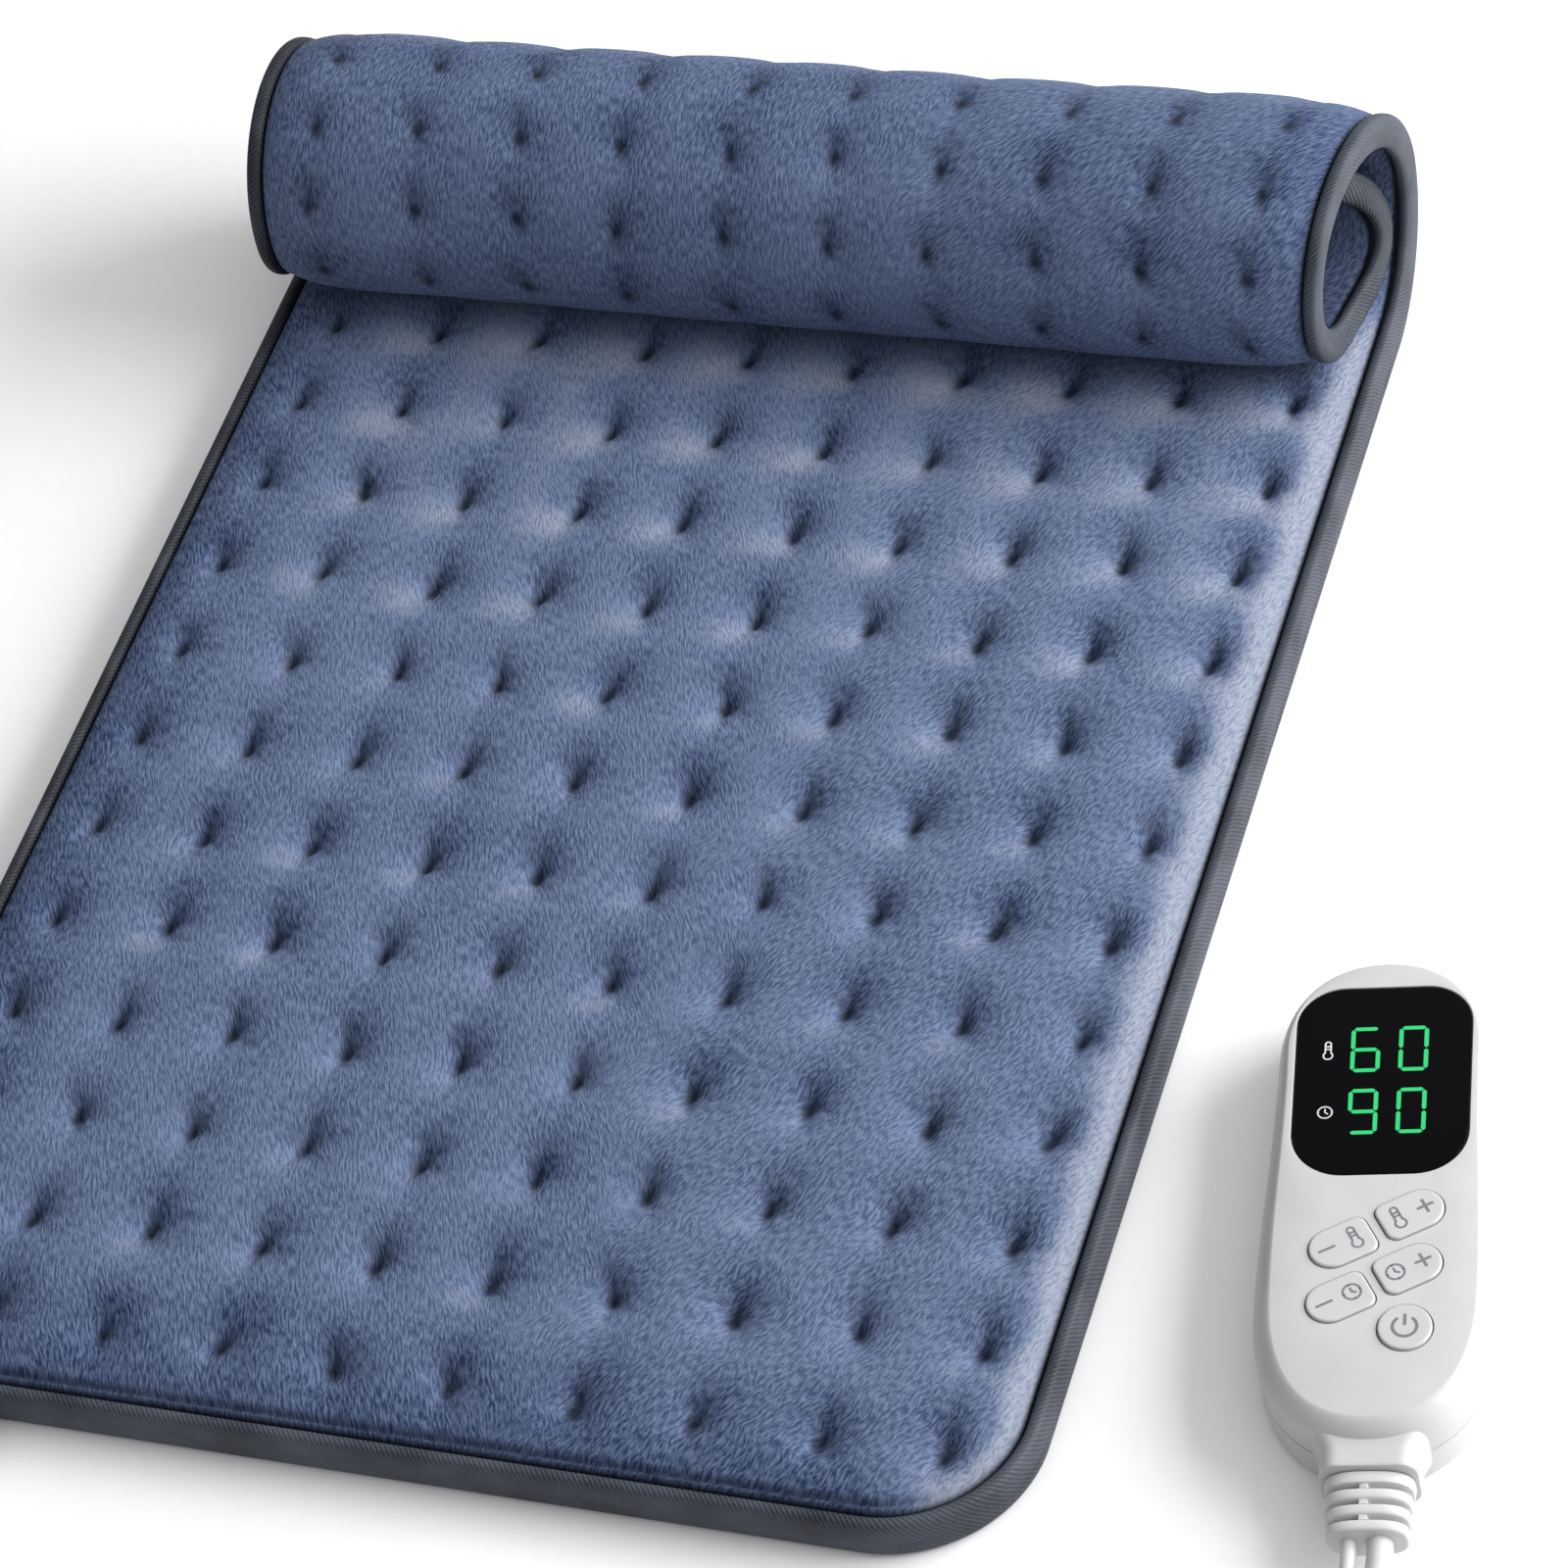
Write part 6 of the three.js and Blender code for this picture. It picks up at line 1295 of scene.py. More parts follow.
SIGN_THICKNESS = 0.03
SIGN_LIFT = 0.005  # above a button
DISPLAY_LIFT = 0.01  # above the window
DIGIT = (6.8, 13.0, 1.0)
DIGIT_SPACE = 0.16  # from a corner to a bar's end
DIGIT_COLUMNS = (-4.1, 6.9)
DIGIT_ROWS = (39.7, 21.8)
SEGMENTS = ["abcdef", "bc", "abged", "abgcd", "fgbc", "afgcd", "afgedc", "abc", "abcdefg", "abcdfg"]
DISPLAY_SIGN_X = -12.7
DISPLAY_THERMOMETER = (5.0, 0.34)
DISPLAY_CLOCK = (3.6, 0.32)
BUTTON_THERMOMETER = (6.0, 0.5)
BUTTON_CLOCK = (4.6, 0.52)
POWER_SIGN = (5.4, 0.72)
PLUS = (4.0, 0.68)
MINUS = (4.1, 0.62)
SIGN_OFFSET = 3.4


def stroke(points, width, closed=False):
    """A flat band of a given width along a line of points, as a thin closed plate."""
    points = np.asarray(points, dtype=float)
    side = left_of(points, closed) * width / 2
    left, right = points + side, points - side
    rings = np.stack([at_height(left, 0), at_height(right, 0),
                      at_height(right, SIGN_THICKNESS), at_height(left, SIGN_THICKNESS)], axis=1)
    return skin(rings, closed=closed)


def thermometer(size, width):
    """Outline of a thermometer, size tall: a bulb and a round-ended tube as one line, and two marks."""
    bulb, tube = 0.21 * size, 0.13 * size
    low, high = bulb - size / 2, size / 2 - tube
    opening = math.acos(tube / bulb)
    outline = np.concatenate([arc(bulb, 2 * QUARTER - opening, 4 * QUARTER + opening, 0, low),
                              arc(tube, 0, 2 * QUARTER, 0, high, 24)])
    marks = [stroke([(-tube * 0.8, h), (tube * 0.8, h)], width) for h in (0.08 * size, 0.24 * size)]
    return [stroke(outline, width, closed=True), *marks]


def clock(size, width):
    """A ring with two hands and four short marks."""
    radius = size / 2 - width / 2
    ring = stroke(circle(radius, count=64), width, closed=True)
    hands = [stroke([(0, 0.27 * size), (0, 0)], width), stroke([(0, 0), (0.2 * size, -0.13 * size)], width)]
    marks = [stroke(line, 0.7 * width)
             for line in zip(circle(0.36 * size, count=4), circle(radius, count=4))]
    return [ring, *hands, *marks]


def minus(size, width):
    return [stroke([(-size / 2, 0), (size / 2, 0)], width)]


def plus(size, width):
    half, gap = size / 2, width / 2
    return minus(size, width) + [stroke([(0, gap), (0, half)], width), stroke([(0, -half), (0, -gap)], width)]


def power_sign(size, width):
    """A ring that is open at the top, with an upright bar in the opening."""
    return [stroke(arc(size / 2, math.radians(125), math.radians(415)), width),
            stroke([(0, 0.06 * size), (0, 0.62 * size)], width)]


def digit(number):
    """Lit segments of a digit: bars with pointed ends, mitred against each other."""
    wide, high, thick = DIGIT
    x, y = (wide - thick) / 2, (high - thick) / 2
    ends = {"a": (-x, y, x, y), "b": (x, y, x, 0), "c": (x, 0, x, -y), "d": (-x, -y, x, -y),
            "e": (-x, 0, -x, -y), "f": (-x, y, -x, 0), "g": (-x, 0, x, 0)}
    bars = []
    for name in SEGMENTS[number]:
        start, end = np.array(ends[name][:2]), np.array(ends[name][2:])
        along = (end - start) / np.linalg.norm(end - start)
        side, point = np.array([-along[1], along[0]]) * thick / 2, along * thick / 2
        a, b = start + along * DIGIT_SPACE, end - along * DIGIT_SPACE
        flat = np.array([a, a + point + side, b - point + side, b, b - point - side, a + point - side])
        bars.append(skin([at_height(flat, 0), at_height(flat, SIGN_THICKNESS)]))
    return bars


def set_sign(parts, x, y, z, tilt=0.0):
    """Turns flat shapes and sets them at a place of the controller's frame."""
    return [(turned(points, tilt) + [x, y, z], faces) for points, faces in parts]


class HEATPAD_OT_display(bpy.types.Operator):
    """Make the display window, its digits and its two signs"""

    bl_idname = "heatpad.display"
    bl_label = "Display"

    def execute(self, context):
        case = Case(context.scene)
        settings = context.scene.controller_settings
        top = case.height
        # Smoked acrylic, polished: near black, with a clear gloss
        acrylic = moulded("smoked_acrylic", "#08080a", "#050506", 1.2, 0.07,
                          relief=0.0, spread=0.03, IOR=1.49, Specular_IOR_Level=0.05)
        rings = [at_height(window_outline(0), top - WINDOW[2])]
        rings += rounded_rim(window_outline, top, WINDOW_ROUND, 6)
        window = make_piece("window_pane", case.stand(skin(rings)), acrylic, sharp=50)
        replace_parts(window, "display_window")
        parts = []
        for row, number in zip(DIGIT_ROWS, (settings.upper_number, settings.lower_number)):
            for column, figure in zip(DIGIT_COLUMNS, divmod(number, 10)):
                parts += set_sign(digit(figure), column, row, top + DISPLAY_LIFT)
        digits = make_piece("display_digits", case.stand(*parts), lit_segments(settings), sharp=30)
        # White screen print under the pane
        ink = moulded("white_screen_print", "#d8dada", "#c4c6c6", 0.3, 0.5)
        parts = []
        for sign, row in zip((thermometer(*DISPLAY_THERMOMETER), clock(*DISPLAY_CLOCK)), DIGIT_ROWS):
            parts += set_sign(sign, DISPLAY_SIGN_X, row, top + DISPLAY_LIFT)
        make_piece("display_signs", case.stand(*parts), ink, sharp=30)
        return {"FINISHED"}


FLANGE = (0.9, 1.0)  # out and up
STEM_RADIUS = 1.5
STEM_LOW = 15.1
CAP_ROUND = 0.5
CAP_TOP = (0.9, 0.6)  # shares of the flat top's size, for the rings on it


def push_button(case, name):
    """A button from its stem up: circle, flange and cap as rings, a rim rounded by a quarter turn,
    and a flat top."""
    outline = partial(button_outline, name)
    flange_top = case.height - PANEL - GAP
    flange_low = flange_top - FLANGE[1]
    top = case.height + case.proud
    cap, wide, rim = outline(0), outline(FLANGE[0]), outline(-CAP_ROUND)
    centre = np.array(BUTTONS[name][:2])
    angles = np.arctan2(*(cap - centre).T[::-1])
    stem = centre + STEM_RADIUS * np.stack([np.cos(angles), np.sin(angles)], axis=-1)
    rings = [at_height(stem, STEM_LOW), at_height(stem, flange_low), at_height(wide, flange_low),
             at_height(wide, flange_top), at_height(cap, flange_top)]
    rings += rounded_rim(outline, top, CAP_ROUND, 7)
    rings += [at_height(centre + (rim - centre) * share, top) for share in CAP_TOP]
    return make_piece(f"{name}_cap", case.stand(skin(rings)), abs_shell(), sharp=45, body=name)


class HEATPAD_OT_buttons(bpy.types.Operator):
    """Make the five push buttons with their printed signs"""

    bl_idname = "heatpad.buttons"
    bl_label = "Push buttons"

    def execute(self, context):
        case = Case(context.scene)
        # Pad-printed ink: mid grey, matt
        ink = moulded("grey_pad_print", context.scene.controller_settings.sign, "#686a6e", 0.25, 0.55)
        signs = {"temp": thermometer(*BUTTON_THERMOMETER), "timer": clock(*BUTTON_CLOCK)}
        marks = {"up": (1, plus(*PLUS)), "down": (-1, minus(*MINUS))}
        offset = np.array([math.cos(BUTTON_TILT), math.sin(BUTTON_TILT)]) * SIGN_OFFSET
        top = case.height + case.proud + SIGN_LIFT
        for name, (x, y, tilt) in BUTTONS.items():
            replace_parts(push_button(case, name), f"{name}_button")
            if tilt is None:
                parts = set_sign(power_sign(*POWER_SIGN), x, y, top)
            else:
                kind, way = name.split("_")
                far, mark = marks[way]
                parts = set_sign(mark, *([x, y] + far * offset), top, BUTTON_TILT)
                parts += set_sign(signs[kind], *([x, y] - far * offset), top, BUTTON_TILT)
            sign = make_piece(f"{name}_sign", case.stand(*parts), ink, sharp=30, body=name)
        return {"FINISHED"}


class HEATPAD_OT_electronics(bpy.types.Operator):
    """Finish the board, the switches and what else is inside the controller"""

    bl_idname = "heatpad.electronics"
    bl_label = "Electronics"

    def execute(self, context):
        # Moulded dark grey polycarbonate
        grey = moulded("dark_grey_polycarbonate", "#3a3c41", "#2e3034", 0.3, 0.5)
        # Zinc-plated steel, turned: bright, with fine marks
        zinc = moulded("zinc_plated_steel", "#c3c6ca", "#a9acb1", 0.2, 0.3, Metallic=1.0)
        # Dipped yellow resin
        resin = moulded("yellow_dipped_resin", "#dcb643", "#c9a032", 1.0, 0.4)
        # Drawn glass tube
        glass = moulded("fuse_glass", "#e3e9e7", "#d3dbd8", 1.5, 0.08, IOR=1.5)
        dress(circuit_laminate(), "circuit_board")
        dress(grey, "display_module", *[f"{name}_plunger" for name in BUTTONS])
        dress(black_nylon(), "triac", *[f"{name}_switch" for name in BUTTONS])
        dress(zinc, *[f"case_screw_{k}" for k in range(1, 5)])
        dress(resin, "film_capacitor")
        dress(blue_sleeve(), "electrolytic_capacitor")
        dress(glass, "fuse")
        return {"FINISHED"}


# Strain relief, leads and plug

BOOT_COLLAR = (20.2, 3, 12.6)  # across, along and up
BOOT_END = (18, 10.6)  # across and up
BOOT_RIBS = 3
BOOT_RIB = 2.7
BOOT_SLOT = 1.2
BOOT_SUNK = (3.0, 1.6)  # how far its root goes into the neck, and is drawn in
COLLAR_EDGE = ((0, 0.45), (0.12, 0.18), (0.4, 0))  # along from the collar's start, and in
COLLAR_LIP = ((0.5, 0), (0.2, 0.1), (0.04, 0.4))  # back from its end, and in
RIB_EDGE = ((0.04, 0.5), (0.25, 0.16), (0.7, 0))  # along from a rib's face, and in
SLOT_FLOOR = ((0, 1.1), (0.5, 1.25), (1, 1.1))  # shares of a slot's width, and in
SLOT_FLAT = 0.3  # the share of that by which the flat faces are drawn in
BOOT_TIP = (0.8, 3.0)  # rings on the end's flat face, in from its side
BOOT_WEB_X = -0.6
BOOT_WEB = (1.0, 1.7)  # half widths of the web, at its crown and at its foot
BOOT_CORE = 2.5
BOOT_CORE_POWER = 0.5
PAD_LEAD_X = -4.2
MAINS_LEAD_X = 2.6


def boot_tip(case):
    return case.neck_end - GAP - BOOT_COLLAR[1] - BOOT_RIBS * (BOOT_SLOT + BOOT_RIB)


def strain_relief(case):
    """Slotted strain relief: squared ovals along the leads. Each rib has rounded edges; between two
    ribs the section is drawn in, and falls to a thin core but for a web down its middle."""
    start, tip = case.neck_end - GAP, boot_tip(case)
    rows = [(start + BOOT_SUNK[0], BOOT_SUNK[1], 0), (start, BOOT_SUNK[1], 0)]
    rows += [(start - along, inset, 0) for along, inset in COLLAR_EDGE]
    edge = start - BOOT_COLLAR[1]
    rows += [(edge + along, inset, 0) for along, inset in COLLAR_LIP]
    for _ in range(BOOT_RIBS):
        rib = edge - BOOT_SLOT
        rows += [(edge - share * BOOT_SLOT, inset, 1) for share, inset in SLOT_FLOOR]
        rows += [(rib - along, inset, 0) for along, inset in RIB_EDGE]
        edge = rib - BOOT_RIB
        rows += [(edge + along, inset, 0) for along, inset in RIB_EDGE[::-1]]
    rows += [(tip, inset, 0) for inset in BOOT_TIP]
    y, inset, slot = np.array(rows).T[:, :, None]
    along = np.clip((start - y) / (start - tip), 0, 1)
    width = BOOT_COLLAR[0] + (BOOT_END[0] - BOOT_COLLAR[0]) * along - 2 * inset
    height = BOOT_COLLAR[2] + (BOOT_END[1] - BOOT_COLLAR[2]) * along
    height = height - 2 * inset * np.where(slot > 0, SLOT_FLAT, 1)
    section = oval(1, 1, 120)
    x, z = section[:, 0] * width, section[:, 1] * height
    core = np.broadcast_to(signed_power(section[:, 1], BOOT_CORE_POWER) * BOOT_CORE, z.shape)
    sunk = slot * smooth(*BOOT_WEB, np.abs(x - BOOT_WEB_X))
    z = z * (1 - sunk) + np.where(np.abs(core) < np.abs(z), core, z) * sunk
    rings = np.stack(np.broadcast_arrays(x, y, case.neck_z + z), axis=-1)
    return make_piece("slotted_strain_relief", case.stand(skin(rings)), vinyl(), sharp=38)


def curve_through(points, step):
    """Centripetal spline through points, sampled by about even steps: each stretch is a cubic whose
    slopes follow from its neighbours, weighted by the square root of the spacing."""
    points = np.asarray(points, dtype=float)
    first, last = 2 * points[0] - points[1], 2 * points[-1] - points[-2]
    p = np.concatenate([[first], points, [last]])
    gaps = np.sqrt(np.linalg.norm(np.diff(p, axis=0), axis=1))
    pieces = []
    for k in range(1, len(p) - 2):
        d0, d1, d2 = gaps[k - 1:k + 2]
        t1 = (p[k] - p[k - 1]) / d0 - (p[k + 1] - p[k - 1]) / (d0 + d1) + (p[k + 1] - p[k]) / d1
        t2 = (p[k + 1] - p[k]) / d1 - (p[k + 2] - p[k]) / (d1 + d2) + (p[k + 2] - p[k + 1]) / d2
        t1, t2 = t1 * d1, t2 * d1
        count = max(2, int(np.linalg.norm(p[k + 1] - p[k]) / step))
        t = (np.arange(count) / count)[:, None]
        a = 2 * p[k] - 2 * p[k + 1] + t1 + t2
        b = -3 * p[k] + 3 * p[k + 1] - 2 * t1 - t2
        pieces.append(((a * t + b) * t + t1) * t + p[k])
    return np.concatenate(pieces + [points[-1:]])


COIL_CENTRE = (265, -263)
COIL_INNER = 27
COIL_LAYERS = 4
COIL_LAYER_TURNS = 2.25
COIL_PITCH = 6.6
COIL_OUTER = COIL_INNER + COIL_LAYER_TURNS * COIL_PITCH
COIL_TURN_POINTS = 90
COIL_CLIMB = 0.25  # of a turn, before and after a layer's end
TIE = (11, 1.2)  # width and thickness
TIE_CORNER = 4
PLUG_PLACE = (325, -262)
PLUG = (26, 25, 17.6)  # across, along and up
PLUG_TAIL = (24, 10)  # length and thickness
PLUG_STEPS = 130
PLUG_RINGS = (0.25, 0.42, 0.59, 0.76)  # along its tail
PLUG_RING_HALF = 0.75
PLUG_RING_DEPTH = 1.9
LEAD_SEAT = 8
LEAD_STEP = 2
LEAD_CLEAR = 6  # how far a lead runs on straight past the strain relief
FLOOR_LIFT = 0.05


def coil_points(lead):
    """Turns that spiral in and out by layers, a pitch a turn, and climb one layer in the half turn
    between two layers."""
    low = TIE[1] + 2 * GAP + lead / 2
    turns = COIL_LAYERS * COIL_LAYER_TURNS
    turn = np.linspace(0, turns, int(turns * COIL_TURN_POINTS) + 1)
    layer = np.minimum(turn // COIL_LAYER_TURNS, COIL_LAYERS - 1)
    within = (turn - layer * COIL_LAYER_TURNS) * COIL_PITCH
    radius = np.where(layer % 2 == 0, COIL_OUTER - within, COIL_INNER + within)
    ends = np.arange(1, COIL_LAYERS) * COIL_LAYER_TURNS
    climb = smooth(ends - COIL_CLIMB, ends + COIL_CLIMB, turn[:, None]).sum(axis=1)
    angle = np.pi + 2 * np.pi * turn
    return np.stack([COIL_CENTRE[0] + radius * np.cos(angle), COIL_CENTRE[1] + radius * np.sin(angle),
                     low + COIL_PITCH * climb], axis=-1)


def leave_case(case, x):
    """A lead's first points: straight through the strain relief and a little beyond it."""
    tip = boot_tip(case)
    stations = (case.neck_end + CASE_WALL, (case.neck_end - GAP + tip) / 2, tip, tip - LEAD_CLEAR)
    return [case.spot(x, y, case.neck_z) for y in stations]


def pad_lead_points(case, path, lead):
    flat = lead / 2 + FLOOR_LIFT
    route = [(226.5, -209, 6.4), (222, -222, 3), (212, -233, flat), (197, -239, flat), (176, -238, flat),
             (152, -238, flat), (130, -247, flat), (108, -259, flat), (84, -262, flat), (60, -255, flat),
             (36, -249, flat), (12, -254, flat), (-12, -267, flat), (-36, -279, flat), (-60, -289, flat),
             (-82, -292, 2.4), (-98, -286, 4), (-105.5, -274, 6)]
    end = path.front - 2 * GAP - SOCKET_SIZE[2] - CONNECTOR_SIZE[1] - CONNECTOR_TAIL
    x, z = socket_line(path)
    enter = [(x, end - 5, z), (x, end + LEAD_SEAT - GAP, z)]
    return curve_through([*leave_case(case, PAD_LEAD_X), *route, *enter], LEAD_STEP)


def mains_lead_points(case, lead):
    coil = coil_points(lead)
    entry, leaving = coil[0] + [0, lead, 0], coil[-1] - [0, lead, 0]
    top, plug_z = coil[-1][2], PLUG[2] / 2 + FLOOR_LIFT
    reach = [*leave_case(case, MAINS_LEAD_X), (232.5, -212, 7.2), (230.5, -226, 5.2),
             (226.5, -240, coil[0][2]), entry + [0, lead, 0], entry]
    tail = [leaving, leaving - [0, lead, 0], (226, -290, top - 0.6), (236, -306, top - 3.4),
            (254, -317, top - 8), (275, -320, top - 12.6), (296, -313, plug_z), (312, -300, plug_z),
            (322, -282, plug_z), (PLUG_PLACE[0], PLUG_PLACE[1] - 6, plug_z),
            (PLUG_PLACE[0], PLUG_PLACE[1] + LEAD_SEAT - GAP, plug_z)]
    return np.concatenate([curve_through(reach, LEAD_STEP), coil, curve_through(tail, LEAD_STEP)])


def lay_lead(case, name, points, diameter, x, nodes, **laid):
    """Lays a lead that leaves the case at x: a curve along its middle line, with a round section."""
    data = bpy.data.curves.new(name, "CURVE")
    data.dimensions = "3D"
    spline = data.splines.new("POLY")
    spline.points.add(len(points) - 1)
    spline.points.foreach_set("co", np.concatenate([points * MM, np.ones((len(points), 1))], axis=1).ravel())
    spline.use_smooth = True
    data.bevel_depth = diameter * MM / 2
    data.bevel_resolution = 4
    data.use_fill_caps = True
    data.materials.append(vinyl())
    piece = bpy.data.objects.new(name, data)
    bpy.context.scene.collection.objects.link(piece)
    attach(piece, BODY)
    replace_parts(piece, *nodes)
    case.spot(x, boot_tip(case), case.neck_z) * MM


class HEATPAD_OT_strain_relief(bpy.types.Operator):
    """Make the slotted strain relief at the controller's neck"""

    bl_idname = "heatpad.strain_relief"
    bl_label = "Strain relief"

    def execute(self, context):
        boot = strain_relief(Case(context.scene))
        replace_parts(boot, "strain_relief")
        return {"FINISHED"}


def plug_body():
    """Moulded plug: squared ovals from a ringed tail, through rounded shoulders, to a flat face."""
    wide, long, high = PLUG
    tail, slim = PLUG_TAIL
    end = tail + long
    at, width, height = between_keys(
        [(0, slim - 2, slim - 2), (0.5, slim - 1, slim - 1), (tail - 3, slim + 1, slim),
         (tail - 1, slim + 3.5, slim + 1.2), (tail + 1, wide - 9, high - 4.4),
         (tail + 4, wide - 4, high - 1.8), (tail + 9, wide - 0.8, high - 0.3), (tail + 14, wide, high),
         (end - 1.2, wide, high), (end - 0.4, wide - 0.5, high - 0.5), (end, wide - 1.8, high - 1.8)],
        PLUG_STEPS)
    grooves = np.exp(-((at - tail * np.array(PLUG_RINGS)) / PLUG_RING_HALF) ** 4).sum(axis=1, keepdims=True)
    drawn = PLUG_RING_DEPTH * grooves
    section = oval(1, 1)
    x = PLUG_PLACE[0] + section[:, 0] * (width - drawn)
    z = high / 2 + FLOOR_LIFT + section[:, 1] * (height - drawn)
    rings = np.stack(np.broadcast_arrays(x, PLUG_PLACE[1] + at, z), axis=-1)
    return make_piece("plug_moulding", [skin(rings)], vinyl(), sharp=42)


def cord_tie(lead):
    """Hook-and-loop tie: a thin rounded section carried round a rounded rectangle."""
    wide, thick = TIE
    inner, outer = COIL_INNER - lead / 2 - 2 * GAP, COIL_OUTER + lead / 2 + 2 * GAP
    low, high = FLOOR_LIFT, 2 * thick + 4 * GAP + lead + (COIL_LAYERS - 1) * COIL_PITCH
    loop = rounded_rectangle(outer - inner + thick, high - low, TIE_CORNER, count=120)
    section = oval(thick, wide, 24, 0.35)
    flat = loop[:, None, :] - left_of(loop)[:, None, :] * section[:, :1]
    x = COIL_CENTRE[0] + (inner + outer) / 2 + flat[..., 0]
    z = (low + high + thick) / 2 + flat[..., 1]
    rings = np.stack(np.broadcast_arrays(x, COIL_CENTRE[1] + section[:, 1], z), axis=-1)
    # Looped nylon tape: black, matt and hairy
    loops = moulded("looped_nylon_tape", "#26272a", "#161719", 0.35, 0.9, relief=0.25)
    return make_piece("tie_strap", [skin(rings, closed=True)], loops, sharp=50)


class HEATPAD_OT_plug(bpy.types.Operator):
    """Make the mains plug and the tie round the spare lead"""

    bl_idname = "heatpad.plug"
    bl_label = "Plug and tie"

    def execute(self, context):
        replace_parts(plug_body(), "plug_body")
        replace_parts(cord_tie(context.scene.lead_settings.mains_lead / MM), "cord_tie")
        dress(brass(), "plug_blade_1", "plug_blade_2")
        return {"FINISHED"}


class HEATPAD_OT_leads(bpy.types.Operator):
    """Lay the pad lead and the mains lead"""

    bl_idname = "heatpad.leads"
    bl_label = "Leads"

    def execute(self, context):
        scene = context.scene
        case, path = Case(scene), PadPath(scene.heating_pad_settings)
        lead = scene.lead_settings.pad_lead / MM
        lay_lead(case, "pad_lead_cord", pad_lead_points(case, path, lead), lead, PAD_LEAD_X, ["pad_lead"],
                 far_end="connector", stiffness="medium", lay="loose", with_pieces=["connector_body"])
        lead = scene.lead_settings.mains_lead / MM
        lay_lead(case, "mains_lead_cord", mains_lead_points(case, lead), lead, MAINS_LEAD_X,
                 ["mains_lead", "mains_coil", "mains_tail"],
                 far_end="plug", stiffness="medium", lay="coiled",
                 with_pieces=["plug_moulding", "plug_blade_1", "plug_blade_2", "tie_strap"])
        return {"FINISHED"}


# Stage, in metres

CAMERA_PLACE = (0.50077, -0.86594, 1.07470)
CAMERA_AXES = ((0.94159628, 0.28672038, -0.17660087), (-0.10536551, 0.74895833, 0.65418616),
               (0.31983519, -0.59737162, 0.73542682))  # right, up and back
CAMERA_LENS = 135
CAMERA_SENSOR = 36
CAMERA_REACH = 20
FLOOR_HALF = 12
FLOOR_DROP = 0.0003
KEY_FROM = (0.84, 0.30, 0.45)
KEY_AWAY = 1.6
KEY_AT = (0.05, 0, 0)
KEY_SIZE = (1.3, 1.0)
SKY_FROM = (0.58, 0.15, 0.80)
SKY_FACING = (-0.5, 0.95)  # from the room's dark side to its bright one
SKY_SHARE = (0.3, 1.7)  # of the surrounding light, on each


def placed(right, up, back, place):
    """The matrix of a light or a camera, which looks against its back axis."""
    return Matrix([(*row, p) for row, p in zip(np.stack([right, up, back], axis=1), place)] + [(0, 0, 0, 1)])


def look_from(direction, distance, target):
    """A light's matrix: at a distance from a target, looking at it."""
    back = np.array(direction) / np.linalg.norm(direction)
    right = np.cross((0, 0, 1), back)
    right /= np.linalg.norm(right)
    return placed(right, np.cross(back, right), back, np.array(target) + back * distance)


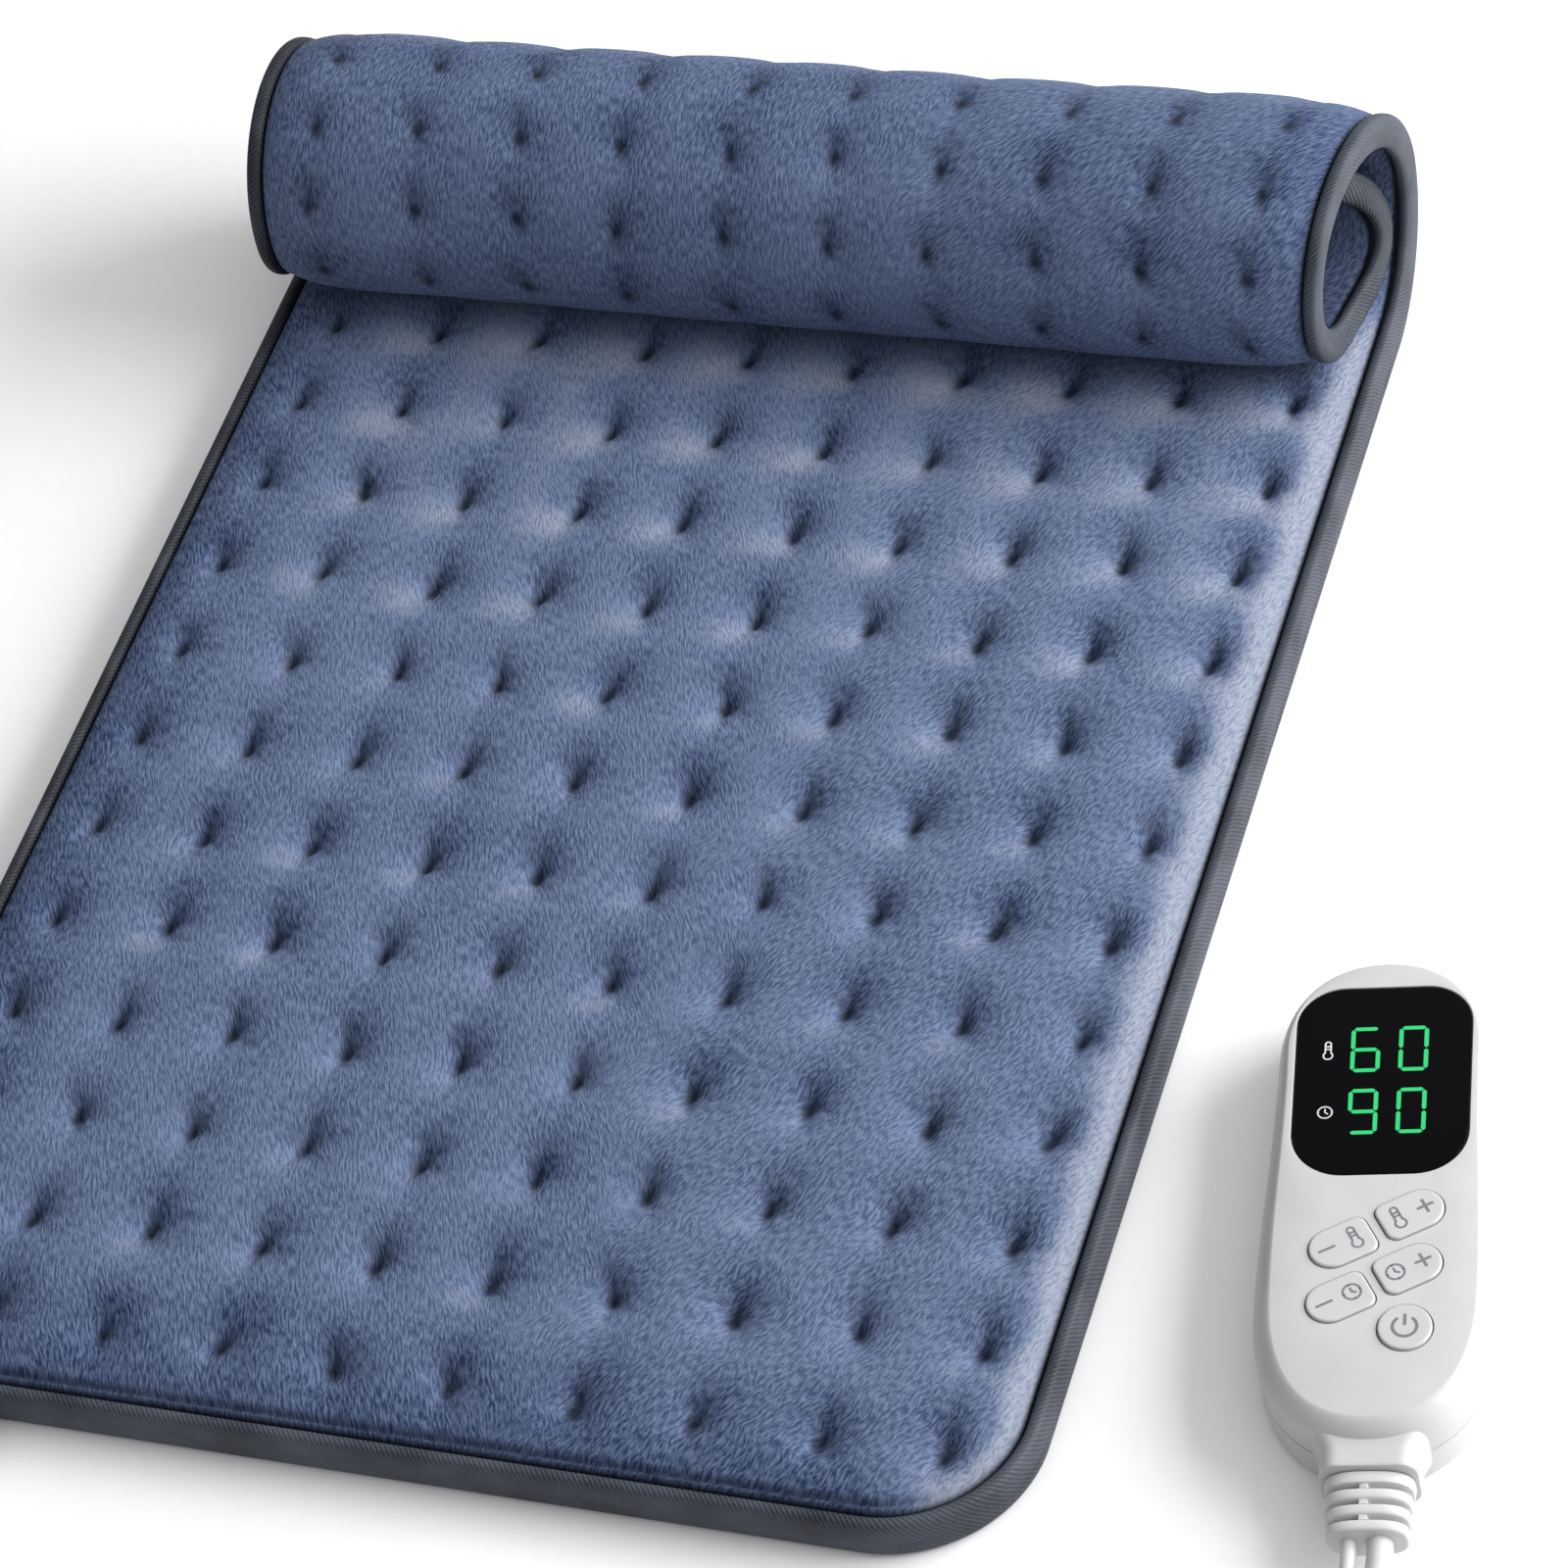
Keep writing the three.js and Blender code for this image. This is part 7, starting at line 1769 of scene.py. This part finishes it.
class HEATPAD_OT_stage(bpy.types.Operator):
    """Set up the floor, the light and the camera"""

    bl_idname = "heatpad.stage"
    bl_label = "Stage"

    def execute(self, context):
        scene, settings = context.scene, context.scene.stage_settings
        # White paper, matt
        paper = moulded("white_background_paper", settings.floor, "#f2f2f4", 2.0, 0.9, relief=0.0)
        floor = bpy.data.meshes.new("floor")
        corners = np.array([(-1, -1), (1, -1), (1, 1), (-1, 1)]) * FLOOR_HALF
        floor.from_pydata(at_height(corners, -FLOOR_DROP).tolist(), [], [[0, 1, 2, 3]])
        floor.materials.append(paper)
        ground = bpy.data.objects.new("floor", floor)
        lamp = bpy.data.lights.new("window_light", "AREA")
        lamp.shape = "RECTANGLE"
        lamp.size, lamp.size_y = KEY_SIZE
        lamp.energy = settings.key
        key = bpy.data.objects.new("window_light", lamp)
        key.matrix_world = look_from(KEY_FROM, KEY_AWAY, KEY_AT)
        lens = bpy.data.cameras.new("camera")
        lens.lens, lens.sensor_width = CAMERA_LENS, CAMERA_SENSOR
        lens.clip_end = CAMERA_REACH
        camera = bpy.data.objects.new("camera", lens)
        camera.matrix_world = placed(*CAMERA_AXES, CAMERA_PLACE)
        for thing in (ground, key, camera):
            scene.collection.objects.link(thing)
        scene.camera = camera
        world = bpy.data.worlds.new("white_room")
        world.use_nodes = True
        tree = world.node_tree
        # Brighter from above and from the window's side than from the dark side of the room
        way = add(tree, "ShaderNodeTexCoord", out="Generated")
        facing = add(tree, "ShaderNodeVectorMath", {0: way, 1: SKY_FROM}, "Value", operation="DOT_PRODUCT")
        glow = add(tree, "ShaderNodeMapRange", {
            "Value": facing, "From Min": SKY_FACING[0], "From Max": SKY_FACING[1],
            "To Min": SKY_SHARE[0] * settings.fill, "To Max": SKY_SHARE[1] * settings.fill})
        feed(tree.nodes["Background"], {"Color": rgba("#ffffff"), "Strength": glow})
        scene.world = world
        scene.view_settings.view_transform = "Standard"
        return {"FINISHED"}


SETTINGS = {"heating_pad_settings": HeatingPadSettings, "controller_settings": ControllerSettings,
            "lead_settings": LeadSettings, "stage_settings": StageSettings}
STEPS = (HEATPAD_OT_stage, HEATPAD_OT_covers, HEATPAD_OT_binding, HEATPAD_OT_heating_layer,
         HEATPAD_OT_socket, HEATPAD_OT_shells, HEATPAD_OT_display, HEATPAD_OT_buttons,
         HEATPAD_OT_electronics, HEATPAD_OT_strain_relief, HEATPAD_OT_plug, HEATPAD_OT_leads)


class HEATPAD_PT_panel(bpy.types.Panel):
    """Lists the pieces and their settings"""

    bl_idname = "HEATPAD_PT_panel"
    bl_label = "Heating pad"
    bl_space_type = "VIEW_3D"
    bl_region_type = "UI"
    bl_category = "Heating pad"

    def draw(self, context):
        for name, group in SETTINGS.items():
            box = self.layout.box()
            for key in group.__annotations__:
                box.prop(getattr(context.scene, name), key)
        for step in STEPS:
            self.layout.operator(step.bl_idname)


def register():
    for group in (*SETTINGS.values(), *STEPS, HEATPAD_PT_panel):
        bpy.utils.register_class(group)
    for name, group in SETTINGS.items():
        setattr(bpy.types.Scene, name, PointerProperty(type=group))


def unregister():
    for name in SETTINGS:
        delattr(bpy.types.Scene, name)
    for group in reversed((*SETTINGS.values(), *STEPS, HEATPAD_PT_panel)):
        bpy.utils.unregister_class(group)


def main():
    register()
    for step in STEPS:
        space, name = step.bl_idname.split(".")
        getattr(getattr(bpy.ops, space), name)()


if __name__ == "__main__":
    main()
